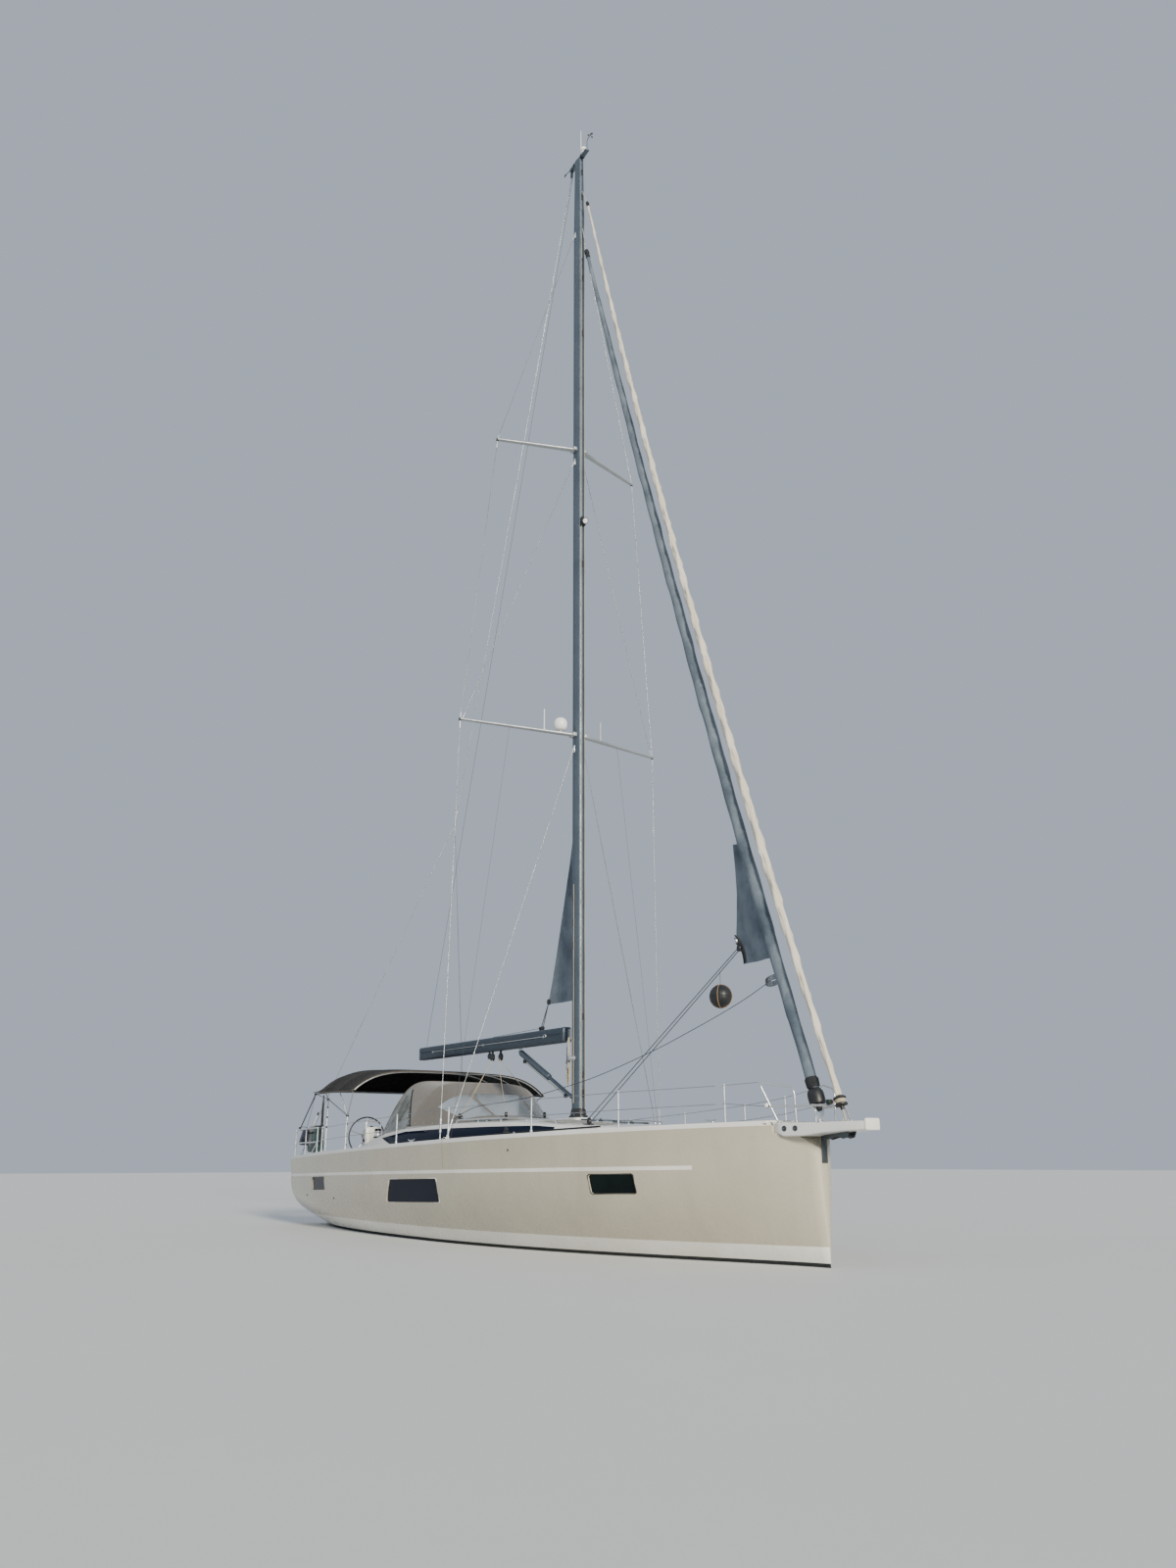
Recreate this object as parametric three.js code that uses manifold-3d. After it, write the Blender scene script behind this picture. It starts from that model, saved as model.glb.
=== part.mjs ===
// Sailing yacht, full size, in millimetres.
// Origin on the waterline at midships on the centreline. +X is the bow, +Y is port, +Z is up.
import * as THREE from "three";
import { mergeVertices } from "three/addons/utils/BufferGeometryUtils.js";
import Module from "manifold-3d";

const wasm = await Module();
wasm.setup();

// Driving dimensions
const GAP = 0.3; // between pieces that rest on each other
const STEM_X = 7420;
const TRANSOM_X = -7350;
const HALF_BEAM = 2500;
const WIDEST_X = -1500;
const CANOE_DRAFT = 630;
const DECK_THICK = 40;
const DRAFT = 2300;
const MAST_X = 1360;
const MAST_TOP = 22450;
const MAST_HALF_LENGTH = 135; // fore and aft
const MAST_HALF_WIDTH = 100;
const MAST_STEP = 1965; // height of the step on the coachroof
const GOOSENECK_X = MAST_X - MAST_HALF_LENGTH - 10;
const WIRE = 6; // radius of the standing wires
const RAIL = 14; // radius of the stainless rails
const STANCHION = 500;
const STERN_RAIL = 560;

const FINISHES = {
  gelcoat: { color: 0xc9c2ad, roughness: 0.3, metalness: 0 },
  deck: { color: 0xe8e8e4, roughness: 0.5, metalness: 0 },
  antifouling: { color: 0x1c2024, roughness: 0.8, metalness: 0 },
  spar: { color: 0x8d9499, roughness: 0.4, metalness: 0.8 },
  steel: { color: 0xc8ccd0, roughness: 0.25, metalness: 1 },
  bronze: { color: 0x9a7440, roughness: 0.35, metalness: 1 },
  glass: { color: 0x10161c, roughness: 0.05, metalness: 0 },
  sail: { color: 0x3d4852, roughness: 0.9, metalness: 0 },
  paleSail: { color: 0xd9d3c4, roughness: 0.8, metalness: 0 },
  canvas: { color: 0x23262a, roughness: 0.95, metalness: 0 },
  hood: { color: 0x6f6a64, roughness: 0.95, metalness: 0 },
  plastic: { color: 0x16181a, roughness: 0.6, metalness: 0 },
  dome: { color: 0xf0f0ee, roughness: 0.4, metalness: 0 },
  engine: { color: 0x4c5a60, roughness: 0.6, metalness: 0.3 },
};

const yacht = new THREE.Group();

// Solids

function closed(geometry) {
  const bare = geometry.index ? geometry.toNonIndexed() : geometry.clone();
  bare.deleteAttribute("normal");
  bare.deleteAttribute("uv");
  const merged = mergeVertices(bare, 1e-3);
  const triVerts = new Uint32Array(merged.index.array);
  const build = () =>
    new wasm.Manifold(
      new wasm.Mesh({
        numProp: 3,
        vertProperties: new Float32Array(merged.attributes.position.array),
        triVerts,
      }),
    );
  const made = build();
  if (made.volume() >= 0) return made;
  for (let i = 0; i < triVerts.length; i += 3) {
    [triVerts[i + 1], triVerts[i + 2]] = [triVerts[i + 2], triVerts[i + 1]];
  }
  return build();
}

function joined(...solids) {
  return solids.reduce((all, next) => all.add(next));
}

function box(x0, x1, y0, y1, z0, z1) {
  const geometry = new THREE.BoxGeometry(x1 - x0, y1 - y0, z1 - z0);
  geometry.translate((x0 + x1) / 2, (y0 + y1) / 2, (z0 + z1) / 2);
  return closed(geometry);
}

// Triangles that fill a ring, in the order of its points.
function capTriangles(ring) {
  const normal = new THREE.Vector3();
  ring.forEach((p, i) => normal.add(p.clone().cross(ring[(i + 1) % ring.length])));
  const turned = new THREE.Quaternion().setFromUnitVectors(normal.normalize(), at(0, 0, 1));
  const flat = ring.map((p) => {
    const { x, y } = p.clone().applyQuaternion(turned);
    return new THREE.Vector2(x, y);
  });
  return THREE.ShapeUtils.triangulateShape(flat, []);
}

// A closed surface through rings with the same number of points, capped at both ends.
function loft(rings) {
  const points = rings.flat();
  const n = rings[0].length;
  const index = [];
  for (let r = 0; r + 1 < rings.length; r += 1) {
    for (let j = 0; j < n; j += 1) {
      const a = r * n + j;
      const b = r * n + ((j + 1) % n);
      index.push(a, b, b + n, a, b + n, a + n);
    }
  }
  const last = (rings.length - 1) * n;
  for (const [a, b, c] of capTriangles(rings[0])) index.push(a, c, b);
  for (const [a, b, c] of capTriangles(rings[rings.length - 1])) {
    index.push(last + a, last + b, last + c);
  }
  const geometry = new THREE.BufferGeometry().setFromPoints(points);
  geometry.setIndex(index);
  return closed(geometry);
}

const at = (x, y, z) => new THREE.Vector3(x, y, z);

function rod(from, to, radius, sides = 8, endRadius = radius) {
  const along = to.clone().sub(from);
  const geometry = new THREE.CylinderGeometry(endRadius, radius, along.length(), sides);
  geometry.rotateX(Math.PI / 2);
  geometry.applyQuaternion(
    new THREE.Quaternion().setFromUnitVectors(at(0, 0, 1), along.clone().normalize()),
  );
  const middle = from.clone().add(to).multiplyScalar(0.5);
  geometry.translate(middle.x, middle.y, middle.z);
  return closed(geometry);
}

function ball(centre, radius, columns = 8, rows = 6) {
  const geometry = new THREE.SphereGeometry(radius, columns, rows);
  geometry.translate(centre.x, centre.y, centre.z);
  return closed(geometry);
}

// A point where a tube ends on a level surface
const level = (x, y, z) => Object.assign(at(x, y, z), { level: true });

// A tube from point to point, mitred at each bend and cut level where an end point asks for it.
function tube(points, radius, sides = 6) {
  const steps = points.slice(1).map((p, i) => p.clone().sub(points[i]).normalize());
  let across = at(0, 0, 1).cross(steps[0]);
  if (across.length() < 0.1) across = at(1, 0, 0);
  const rings = points.map((p, i) => {
    const before = steps[Math.max(0, i - 1)];
    const after = steps[Math.min(steps.length - 1, i)];
    const along = before.clone().add(after).normalize();
    const facing = p.level ? at(0, 0, Math.sign(along.z)) : along;
    across.addScaledVector(facing, -across.dot(facing)).normalize();
    const up = facing.clone().cross(across);
    return Array.from({ length: sides }, (_, k) => {
      const turn = (k / sides) * 2 * Math.PI;
      return p
        .clone()
        .addScaledVector(across, radius * Math.cos(turn))
        .addScaledVector(up, radius * Math.sin(turn));
    });
  });
  return loft(rings);
}

// An outline in the x z plane, given as [x, z] pairs, extruded between two values of y.
function sidePrism(outline, y0, y1) {
  const shape = new THREE.Shape(outline.map(([x, z]) => new THREE.Vector2(x, z)));
  const geometry = new THREE.ExtrudeGeometry(shape, { depth: y1 - y0, bevelEnabled: false });
  geometry.rotateX(Math.PI / 2);
  geometry.translate(0, y1, 0);
  return closed(geometry);
}

// An outline in the x y plane, given as [x, y] pairs, extruded between two heights.
function planPrism(outline, z0, z1) {
  const shape = new THREE.Shape(outline.map(([x, y]) => new THREE.Vector2(x, y)));
  const geometry = new THREE.ExtrudeGeometry(shape, { depth: z1 - z0, bevelEnabled: false });
  geometry.translate(0, 0, z0);
  return closed(geometry);
}

// An outline, turning anticlockwise, with each edge moved outward.
function grown(outline, distance) {
  const n = outline.length;
  const normal = (i) => {
    const [x0, z0] = outline[(i + n) % n];
    const [x1, z1] = outline[(i + 1) % n];
    return new THREE.Vector2(z1 - z0, x0 - x1).normalize();
  };
  return outline.map(([x, z], i) => {
    const miter = normal(i - 1).add(normal(i)).normalize();
    const reach = distance / miter.dot(normal(i));
    return [x + miter.x * reach, z + miter.y * reach];
  });
}

function add(name, solid, finish) {
  const mesh = solid.getMesh();
  const geometry = new THREE.BufferGeometry();
  geometry.setAttribute("position", new THREE.BufferAttribute(mesh.vertProperties, 3));
  geometry.setIndex(new THREE.BufferAttribute(mesh.triVerts, 1));
  geometry.computeVertexNormals();
  const node = new THREE.Mesh(geometry, new THREE.MeshStandardMaterial(FINISHES[finish]));
  node.name = name;
  yacht.add(node);
}

const SIDES = [
  { side: "starboard", sign: -1 },
  { side: "port", sign: 1 },
];

// Hull lines

function sheer(x) {
  return 1515 + 0.0255 * x;
}

function coveHeight(x) {
  return 1120 + 0.0135 * x;
}

function deckHalf(x) {
  if (x < WIDEST_X) return HALF_BEAM - 370 * ((WIDEST_X - x) / 5850) ** 2;
  return HALF_BEAM * (1 - ((x - WIDEST_X) / 9000) ** 2.6) ** 0.85;
}

function coveHalf(x) {
  const flare = 0.015 + 0.05 * (Math.max(0, x) / STEM_X) ** 2;
  return deckHalf(x) * (1 - flare);
}

function keelLine(x) {
  const reach = x > 200 ? 7250 : 7600;
  return -CANOE_DRAFT * (1 - Math.abs((x - 200) / reach) ** 2.2);
}

function fullness(x) {
  return x < 0 ? 2.1 - 0.5 * (x / -TRANSOM_X) : 2.1 - 0.6 * (x / STEM_X);
}

const BILGE_STEPS = 8;

function hullRing(x) {
  const half = [at(x, deckHalf(x), sheer(x))];
  const power = 2 / fullness(x);
  const depth = coveHeight(x) - keelLine(x);
  for (let i = 0; i < BILGE_STEPS; i += 1) {
    const turn = ((i / BILGE_STEPS) * Math.PI) / 2;
    const y = coveHalf(x) * Math.cos(turn) ** power;
    half.push(at(x, y, coveHeight(x) - depth * Math.sin(turn) ** power));
  }
  const mirrored = half.map((p) => at(p.x, -p.y, p.z)).reverse();
  return [...half, at(x, 0, keelLine(x)), ...mirrored];
}

const HULL_STATIONS = [
  -7350, -6900, -6200, -5400, -4500, -3500, -2400, -1300, -200, 900, 2000, 3000, 3900, 4700,
  5400, 6000, 6500, 6900, 7200, 7350, 7420,
];

// Places shared by the hull, the deck and what is fitted to them

const COCKPIT = { aft: -6950, helm: -5300, fore: -2560, bulkhead: -2440 };
const WELL_HALF = 1250;
const FOOTWELL_HALF = 720;
const LINER_HALF = 1400;
const SOLE = 950;
const SEAT = 1380;
const LINER_BOTTOM = 900;
const PLATFORM = { inner: -7290, bottom: 300, top: 1250, half: 1390 };
const STEP = 620;
const SALOON = { aft: -2350, fore: 2700, half: 1150, floor: -150 };
const SPRIT = { aft: 6980, bottom: 1600, top: 1720, tip: 8250, cap: 8320 };
const KEEL_ROOT = { aft: -950, fore: 1450, half: 120, top: -420 };
const DRIVE = { aft: -2760, fore: -2300, half: 110, top: -420, shaft: -880 };
const RUDDER = { x: -6350, stock: 50, trunk: 52, top: 620, blade: -250, tip: -2050 };

function hull() {
  const outside = loft(HULL_STATIONS.map(hullRing));
  const high = 3000; // over the sheer
  const cuts = [
    box(COCKPIT.aft - GAP, COCKPIT.bulkhead + GAP, -LINER_HALF - GAP, LINER_HALF + GAP,
      LINER_BOTTOM - GAP, high),
    box(PLATFORM.inner - 5, COCKPIT.aft, -LINER_HALF, LINER_HALF, STEP, high),
    box(TRANSOM_X - 50, PLATFORM.inner + 5, -LINER_HALF, LINER_HALF, PLATFORM.bottom, high),
    box(SALOON.aft, SALOON.fore, -SALOON.half, SALOON.half, SALOON.floor, high),
    sidePrism(
      [
        [SPRIT.aft, SPRIT.bottom], [7070, SPRIT.bottom], [7200, 1570], [7330, 1500],
        [STEM_X + 10, 1400], [STEM_X + 10, high], [SPRIT.aft, high],
      ],
      -1000,
      1000,
    ),
    box(KEEL_ROOT.aft - GAP, KEEL_ROOT.fore + GAP, -KEEL_ROOT.half - GAP, KEEL_ROOT.half + GAP,
      -3000, KEEL_ROOT.top + GAP),
    box(DRIVE.aft - GAP, DRIVE.fore + GAP, -DRIVE.half - GAP, DRIVE.half + GAP,
      -3000, DRIVE.top + GAP),
    rod(at(RUDDER.x, 0, -3000), at(RUDDER.x, 0, RUDDER.top + GAP), RUDDER.trunk, 24),
  ];
  return cuts.reduce((solid, cut) => solid.subtract(cut), outside);
}

// Deck slab, coachroof and cockpit

const CAMBER = 70;

function deckTop(x, y) {
  const across = Math.min(1, Math.abs(y) / deckHalf(x));
  return sheer(x) + DECK_THICK + CAMBER * (deckHalf(x) / HALF_BEAM) * (1 - across ** 2);
}

function slabRing(x) {
  const half = deckHalf(x);
  const top = [-1, -0.8, -0.5, 0, 0.5, 0.8, 1].map((k) => at(x, k * half, deckTop(x, k * half)));
  return [...top, at(x, half, sheer(x) + GAP), at(x, -half, sheer(x) + GAP)];
}

// Coachroof sections: x, half width at the foot and at the shoulder, shoulder and crown heights
const ROOF = [
  { x: -2440, foot: 1640, shoulder: 1520, edge: 1880, crown: 1960 },
  { x: -1000, foot: 1610, shoulder: 1480, edge: 1900, crown: 1975 },
  { x: 500, foot: 1500, shoulder: 1370, edge: 1895, crown: 1965 },
  { x: 1360, foot: 1400, shoulder: 1280, edge: 1880, crown: 1950 },
  { x: 2500, foot: 1200, shoulder: 1090, edge: 1810, crown: 1865 },
  { x: 3500, foot: 920, shoulder: 830, edge: 1760, crown: 1800 },
  { x: 4100, foot: 700, shoulder: 620, edge: 1725, crown: 1745 },
];
const ROOF_THICK = 60;

function roofRing({ x, foot, shoulder, edge, crown }, inset, bottom) {
  return [
    at(x, -foot + inset, bottom),
    at(x, -shoulder + inset, edge - inset),
    at(x, -shoulder * 0.5, crown - 18 - inset),
    at(x, 0, crown - inset),
    at(x, shoulder * 0.5, crown - 18 - inset),
    at(x, shoulder - inset, edge - inset),
    at(x, foot - inset, bottom),
  ];
}

// Cockpit coaming sections: x, outer foot, top edge, height
const COAMING = [
  { x: -5100, foot: 1620, top: 1480, z: 1500 },
  { x: -4300, foot: 1660, top: 1500, z: 1680 },
  { x: -3430, foot: 1660, top: 1520, z: 1805 },
  { x: COCKPIT.bulkhead - GAP, foot: 1640, top: 1520, z: 1880 },
];

// Side window band, one outline for both sides
const WINDOW_BAND = [
  [-3560, 1704], [-2900, 1555], [-1400, 1578], [-500, 1602], [1700, 1662], [2480, 1742],
  [2490, 1775], [2000, 1808], [800, 1820], [-700, 1824], [-2440, 1805], [-3540, 1712],
];
const WINDOW_HOLE = [
  [-2200, 1640], [1600, 1700], [2150, 1735], [2150, 1762], [1600, 1785], [-2200, 1795],
];

const COMPANIONWAY = { half: 330, sill: 1560, fore: -1700 };
const GARAGE = { fore: -1040, half: 420, top: 1990 };
const WINCH = { x: -4250, y: 1370, seat: 1715 };

// Sections with the first and last moved out, so that the loft through them is longer.
function lengthened(sections, reach) {
  const last = sections.length - 1;
  return sections.map((section, i) => {
    const moved = (i === 0 ? -reach : 0) + (i === last ? reach : 0);
    return { ...section, x: section.x + moved };
  });
}

function roofShell(inset, reach = 0, bedding = GAP) {
  return loft(
    lengthened(ROOF, reach).map((section) => roofRing(section, inset, sheer(section.x) + bedding)),
  );
}

function coamings(inset, reach = 0, bedding = GAP) {
  return joined(
    ...SIDES.map(({ sign }) =>
      loft(
        lengthened(COAMING, reach).map(({ x, foot, top, z }) => [
          at(x, sign * (foot - inset), sheer(x) + bedding),
          at(x, sign * (top - inset), z - inset),
          at(x, sign * (WELL_HALF - 40), z - inset),
          at(x, sign * (WELL_HALF - 40), sheer(x) + bedding),
        ]),
      ),
    ),
  );
}

const OVER_ALL = 3000; // higher than any moulding that a cut goes through

function deck() {
  const slab = loft(HULL_STATIONS.map(slabRing));
  const cuts = [
    box(TRANSOM_X - 50, COCKPIT.bulkhead, -LINER_HALF - GAP, LINER_HALF + GAP, STEP, OVER_ALL),
    roofShell(-GAP, GAP, 0),
    coamings(-GAP, GAP, 0),
    box(SPRIT.aft, STEM_X + 10, -1000, 1000, SPRIT.bottom, OVER_ALL),
  ];
  return cuts.reduce((solid, cut) => solid.subtract(cut), slab);
}

function doorway() {
  const { half, sill, fore } = COMPANIONWAY;
  return box(COCKPIT.fore - 10, fore, -half, half, sill, OVER_ALL);
}

function windowRecess() {
  return windowShell(0, -PANE_THICK - GAP, 1.5);
}

function coachroof() {
  const cavitySections = ROOF.filter(({ x }) => x > -2000 && x < 3000);
  const cavity = loft(
    [{ ...ROOF[0], x: SALOON.aft }, ...cavitySections].map((section) =>
      roofRing({ ...section, foot: section.shoulder }, ROOF_THICK, 1000),
    ),
  );
  const garage = box(COCKPIT.bulkhead, GARAGE.fore, -GARAGE.half, GARAGE.half, 1850, GARAGE.top);
  const mastStep = box(MAST_X - 215, MAST_X + 215, -175, 175, 1850, MAST_STEP);
  const cuts = [
    cavity,
    doorway(),
    ...SIDES.map(({ sign }) =>
      sidePrism(WINDOW_HOLE, Math.min(0, sign * 1800), Math.max(0, sign * 1800)),
    ),
    windowRecess(),
  ];
  return cuts.reduce((solid, cut) => solid.subtract(cut), joined(roofShell(0), garage, mastStep));
}

function cockpit() {
  const fore = COCKPIT.bulkhead - GAP;
  const liner = loft(
    [COCKPIT.aft, fore].map((x) => [
      at(x, -LINER_HALF, LINER_BOTTOM),
      at(x, LINER_HALF, LINER_BOTTOM),
      at(x, LINER_HALF, deckTop(x, LINER_HALF)),
      at(x, -LINER_HALF, deckTop(x, LINER_HALF)),
    ]),
  );
  const bridge = box(COCKPIT.fore, fore, -WELL_HALF, WELL_HALF, SEAT, COMPANIONWAY.sill);
  const pads = SIDES.map(({ sign }) =>
    rod(at(WINCH.x, sign * WINCH.y, 1600), at(WINCH.x, sign * WINCH.y, WINCH.seat), 110, 16),
  );
  const cuts = [
    box(COCKPIT.aft - 10, COCKPIT.fore, -WELL_HALF, WELL_HALF, SEAT, OVER_ALL),
    box(COCKPIT.aft - 10, COCKPIT.helm, -WELL_HALF, WELL_HALF, SOLE, OVER_ALL),
    box(COCKPIT.helm - 10, COCKPIT.fore, -FOOTWELL_HALF, FOOTWELL_HALF, SOLE, OVER_ALL),
    doorway(),
    windowRecess(),
  ];
  const outside = joined(liner, bridge, coamings(0), ...pads);
  return cuts.reduce((solid, cut) => solid.subtract(cut), outside);
}

const PANE_THICK = 14;

// The layer of the side wall that the window band covers, between two depths under its skin.
function windowShell(outer, inner, spread) {
  const overlap = 10;
  const skin = (depth) => joined(roofShell(-depth), coamings(-depth, overlap));
  const outline = grown(WINDOW_BAND, spread);
  const band = joined(sidePrism(outline, -1900, -900), sidePrism(outline, 900, 1900));
  const slack = 8;
  return skin(outer + (outer === 0 ? slack : 0)).subtract(skin(inner)).intersect(band);
}

function cabinWindow(sign) {
  const side = box(-4000, 4000, Math.min(0, sign * 2500), Math.max(0, sign * 2500), 1000, 2500);
  return windowShell(-0.01, -PANE_THICK, 0).intersect(side);
}

add("hull", hull(), "gelcoat");
add("deck", deck(), "deck");
add("coachroof", coachroof(), "deck");
add("cockpit", cockpit(), "deck");
for (const { side, sign } of SIDES) add(`cabin_window_${side}`, cabinWindow(sign), "glass");

// Underwater gear

function foil(x0, x1, halfThick, z) {
  const chord = x1 - x0;
  const upper = [0, 0.08, 0.3, 0.65, 1].map((k, i) => [
    x1 - k * chord,
    halfThick * [0.0, 0.6, 1, 0.7, 0.06][i],
  ]);
  const ring = upper.map(([x, y]) => at(x, y, z));
  const lower = upper.slice(1).map(([x, y]) => at(x, -y, z)).reverse();
  return [...ring, ...lower];
}

function keel() {
  const fin = loft([
    foil(-800, 1300, 110, KEEL_ROOT.top - 40),
    foil(-560, 900, 85, -1500),
    foil(-520, 700, 80, -DRAFT + 60),
  ]);
  const root = box(KEEL_ROOT.aft, KEEL_ROOT.fore, -KEEL_ROOT.half, KEEL_ROOT.half,
    KEEL_ROOT.top - 60, KEEL_ROOT.top);
  // Bulb sections: x, half width; the underside is flat
  const bulb = [
    [-1350, 30], [-900, 150], [-200, 235], [500, 250], [950, 190], [1250, 60],
  ].map(([x, half]) => [
    at(x, -half * 0.5, -DRAFT),
    at(x, half * 0.5, -DRAFT),
    at(x, half, -DRAFT + 0.55 * half),
    at(x, half * 0.7, -DRAFT + 1.15 * half),
    at(x, 0, -DRAFT + 1.35 * half),
    at(x, -half * 0.7, -DRAFT + 1.15 * half),
    at(x, -half, -DRAFT + 0.55 * half),
  ]);
  return joined(fin, root, loft(bulb));
}

function rudder() {
  const { x, stock, top, blade, tip } = RUDDER;
  return joined(
    loft([
      foil(x - 470, x + 210, 55, tip),
      foil(x - 500, x + 240, 68, -1200),
      foil(x - 500, x + 250, 72, blade),
    ]),
    rod(at(x, 0, blade - 300), at(x, 0, top), stock, 24),
  );
}

function driveLeg() {
  const { aft, fore, half, top, shaft } = DRIVE;
  return joined(
    box(aft, fore, -half, half, top - 230, top),
    loft([foil(aft + 60, fore - 60, 60, shaft), foil(aft + 60, fore - 60, 60, top - 200)]),
    rod(at(aft - 40, 0, shaft), at(fore - 20, 0, shaft), 75, 12, 45),
  );
}

function propeller() {
  const { aft, shaft } = DRIVE;
  const front = aft - 40 - GAP - 0.2;
  const hub = rod(at(front, 0, shaft), at(front - 150, 0, shaft), 62, 12, 35);
  const blades = [0, 1, 2].map((i) => {
    const turn = (i * 2 * Math.PI) / 3;
    const blade = new THREE.BoxGeometry(16, 105, 210);
    blade.translate(0, 0, 125);
    blade.rotateZ(0.55);
    blade.rotateX(turn);
    blade.translate(front - 75, 0, shaft);
    return closed(blade);
  });
  return joined(hub, ...blades);
}

add("keel", keel(), "antifouling");
add("rudder", rudder(), "antifouling");
add("saildrive_leg", driveLeg(), "antifouling");
add("propeller", propeller(), "bronze");
add("engine", box(-2200, -1250, -320, 320, SALOON.floor + GAP, 560), "engine");

// Stern platform, bowsprit and rails

function platform() {
  const { inner, bottom, top, half } = PLATFORM;
  return box(TRANSOM_X, inner, -half, half, bottom + 0.5, top);
}

function bowsprit() {
  const plan = [
    [SPRIT.aft + GAP, -430], [7080, -440], [SPRIT.tip, -140], [SPRIT.cap, -95],
    [SPRIT.cap, 95], [SPRIT.tip, 140], [7080, 440], [SPRIT.aft + GAP, 430],
  ];
  const side = [
    [SPRIT.aft + GAP, SPRIT.bottom + GAP], [7425, SPRIT.bottom + GAP], [7425, 1556], [7700, 1590],
    [SPRIT.cap, 1640], [SPRIT.cap, SPRIT.top], [SPRIT.aft + GAP, SPRIT.top],
  ];
  const body = planPrism(plan, 1500, 1900).intersect(sidePrism(side, -600, 600));
  const stemPlate = box(STEM_X + GAP, STEM_X + 10, -45, 45, 1230, 1650);
  return joined(body, stemPlate);
}

function railFoot(x, inset = 70) {
  const y = deckHalf(x) - inset;
  return { y, z: deckTop(x, y - RAIL) + GAP };
}

// Starboard and port halves of the bow rail, joined by a bar over the sprit
const PULPIT = {
  legFoot: { x: 7020, y: 385 },
  legTop: { x: 6840, y: 540, z: 2235 },
  postTop: { x: 7300, y: 345, z: 2150 },
  postFoot: { x: 7300, y: 330 },
  bend: { x: 7550, y: 290, z: 1925 },
  bendFoot: { x: 7660, y: 265 },
  midShare: 0.4, // of the leg's height, where the lower rail starts
};

function pulpit() {
  const halves = SIDES.map(({ sign }) => {
    const place = ({ x, y, z }) => at(x, sign * y, z);
    const foot = ({ x, y }) => level(x, sign * y, SPRIT.top + GAP);
    const legFoot = foot(PULPIT.legFoot);
    const legTop = place(PULPIT.legTop);
    return joined(
      tube([legFoot, legTop, place(PULPIT.postTop), foot(PULPIT.postFoot)], RAIL),
      tube([legFoot.clone().lerp(legTop, PULPIT.midShare), place(PULPIT.bend),
        foot(PULPIT.bendFoot)], RAIL),
    );
  });
  const { x, y, z } = PULPIT.bend;
  return joined(...halves, tube([at(x, -y, z), at(x, y, z)], RAIL));
}

const STANCHION_X = [-4900, -3300, -720, 1200, 3350, 4950, 6420];

function lifeline(sign) {
  const posts = STANCHION_X.map((x) => {
    const { y, z } = railFoot(x);
    return { foot: level(x, sign * y, z), top: at(x, sign * y, z + STANCHION) };
  });
  const wires = [0.97, 0.5].flatMap((share) =>
    posts.slice(1).map(({ foot, top }, i) =>
      tube([posts[i].foot.clone().lerp(posts[i].top, share), foot.clone().lerp(top, share)],
        WIRE),
    ),
  );
  return joined(...posts.map(({ foot, top }) => tube([foot, top], RAIL)), ...wires);
}

function pushpit(sign) {
  const feet = [-5250, -6250, -7270].map((x) => {
    const { y, z } = railFoot(x);
    return level(x, sign * y, z);
  });
  feet.push(level(-7270, sign * 1480, deckTop(-7270, 1480 - RAIL) + GAP));
  const rail = (height) => tube(feet.map((p) => at(p.x, p.y, feet[2].z + height)), RAIL);
  const posts = feet.map((p) => tube([p, at(p.x, p.y, feet[2].z + STERN_RAIL + 10)], RAIL));
  return joined(rail(STERN_RAIL), rail(STERN_RAIL / 2), ...posts);
}

add("swim_platform", platform(), "deck");
add("bowsprit", bowsprit(), "deck");
add("pulpit", pulpit(), "steel");
for (const { side, sign } of SIDES) {
  add(`lifeline_${side}`, lifeline(sign), "steel");
  add(`pushpit_${side}`, pushpit(sign), "steel");
}

// Spars

function ellipseRing(centre, halfLength, halfWidth, sides = 12) {
  return Array.from({ length: sides }, (_, i) => {
    const turn = (i / sides) * 2 * Math.PI;
    return at(
      centre.x + halfLength * Math.cos(turn),
      centre.y + halfWidth * Math.sin(turn),
      centre.z,
    );
  });
}

function mast() {
  const section = (z, share) =>
    ellipseRing(at(MAST_X, 0, z), MAST_HALF_LENGTH * share, MAST_HALF_WIDTH * share);
  const tube = loft([section(MAST_STEP + GAP, 1), section(20500, 1), section(MAST_TOP, 0.82)]);
  const collar = loft([
    ellipseRing(at(MAST_X, 0, MAST_STEP + GAP), 190, 150),
    ellipseRing(at(MAST_X, 0, MAST_STEP + 90), 150, 118),
  ]);
  const slot = box(1100, MAST_X - MAST_HALF_LENGTH + 1, -60, 60, MAST_STEP - 10, MAST_STEP + 400);
  return joined(tube, collar.subtract(slot));
}

const BOOM = { fore: 980, aft: -5300, half: 85, foreZ: 3385, aftZ: 3510, halfDepth: 132 };
const PIN = 9.4;
const VANG = { x: -760, foot: 2270 };

function boomRing(x, z) {
  const { half, halfDepth } = BOOM;
  return [
    at(x, -half, z + halfDepth - 30), at(x, -half + 25, z + halfDepth),
    at(x, half - 25, z + halfDepth), at(x, half, z + halfDepth - 30),
    at(x, half * 0.75, z - halfDepth), at(x, -half * 0.75, z - halfDepth),
  ];
}

function boom() {
  const { fore, aft, foreZ, aftZ } = BOOM;
  return joined(
    loft([boomRing(aft, aftZ), boomRing(fore, foreZ)]),
    box(fore - 20, GOOSENECK_X, -7, 7, foreZ - 90, foreZ + 90),
    rod(at(GOOSENECK_X, 0, foreZ - 130), at(GOOSENECK_X, 0, foreZ + 130), PIN, 12),
  );
}

function boomUnderside(x) {
  const { fore, aft, foreZ, aftZ, halfDepth } = BOOM;
  return foreZ + ((aftZ - foreZ) * (fore - x)) / (fore - aft) - halfDepth;
}

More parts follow.
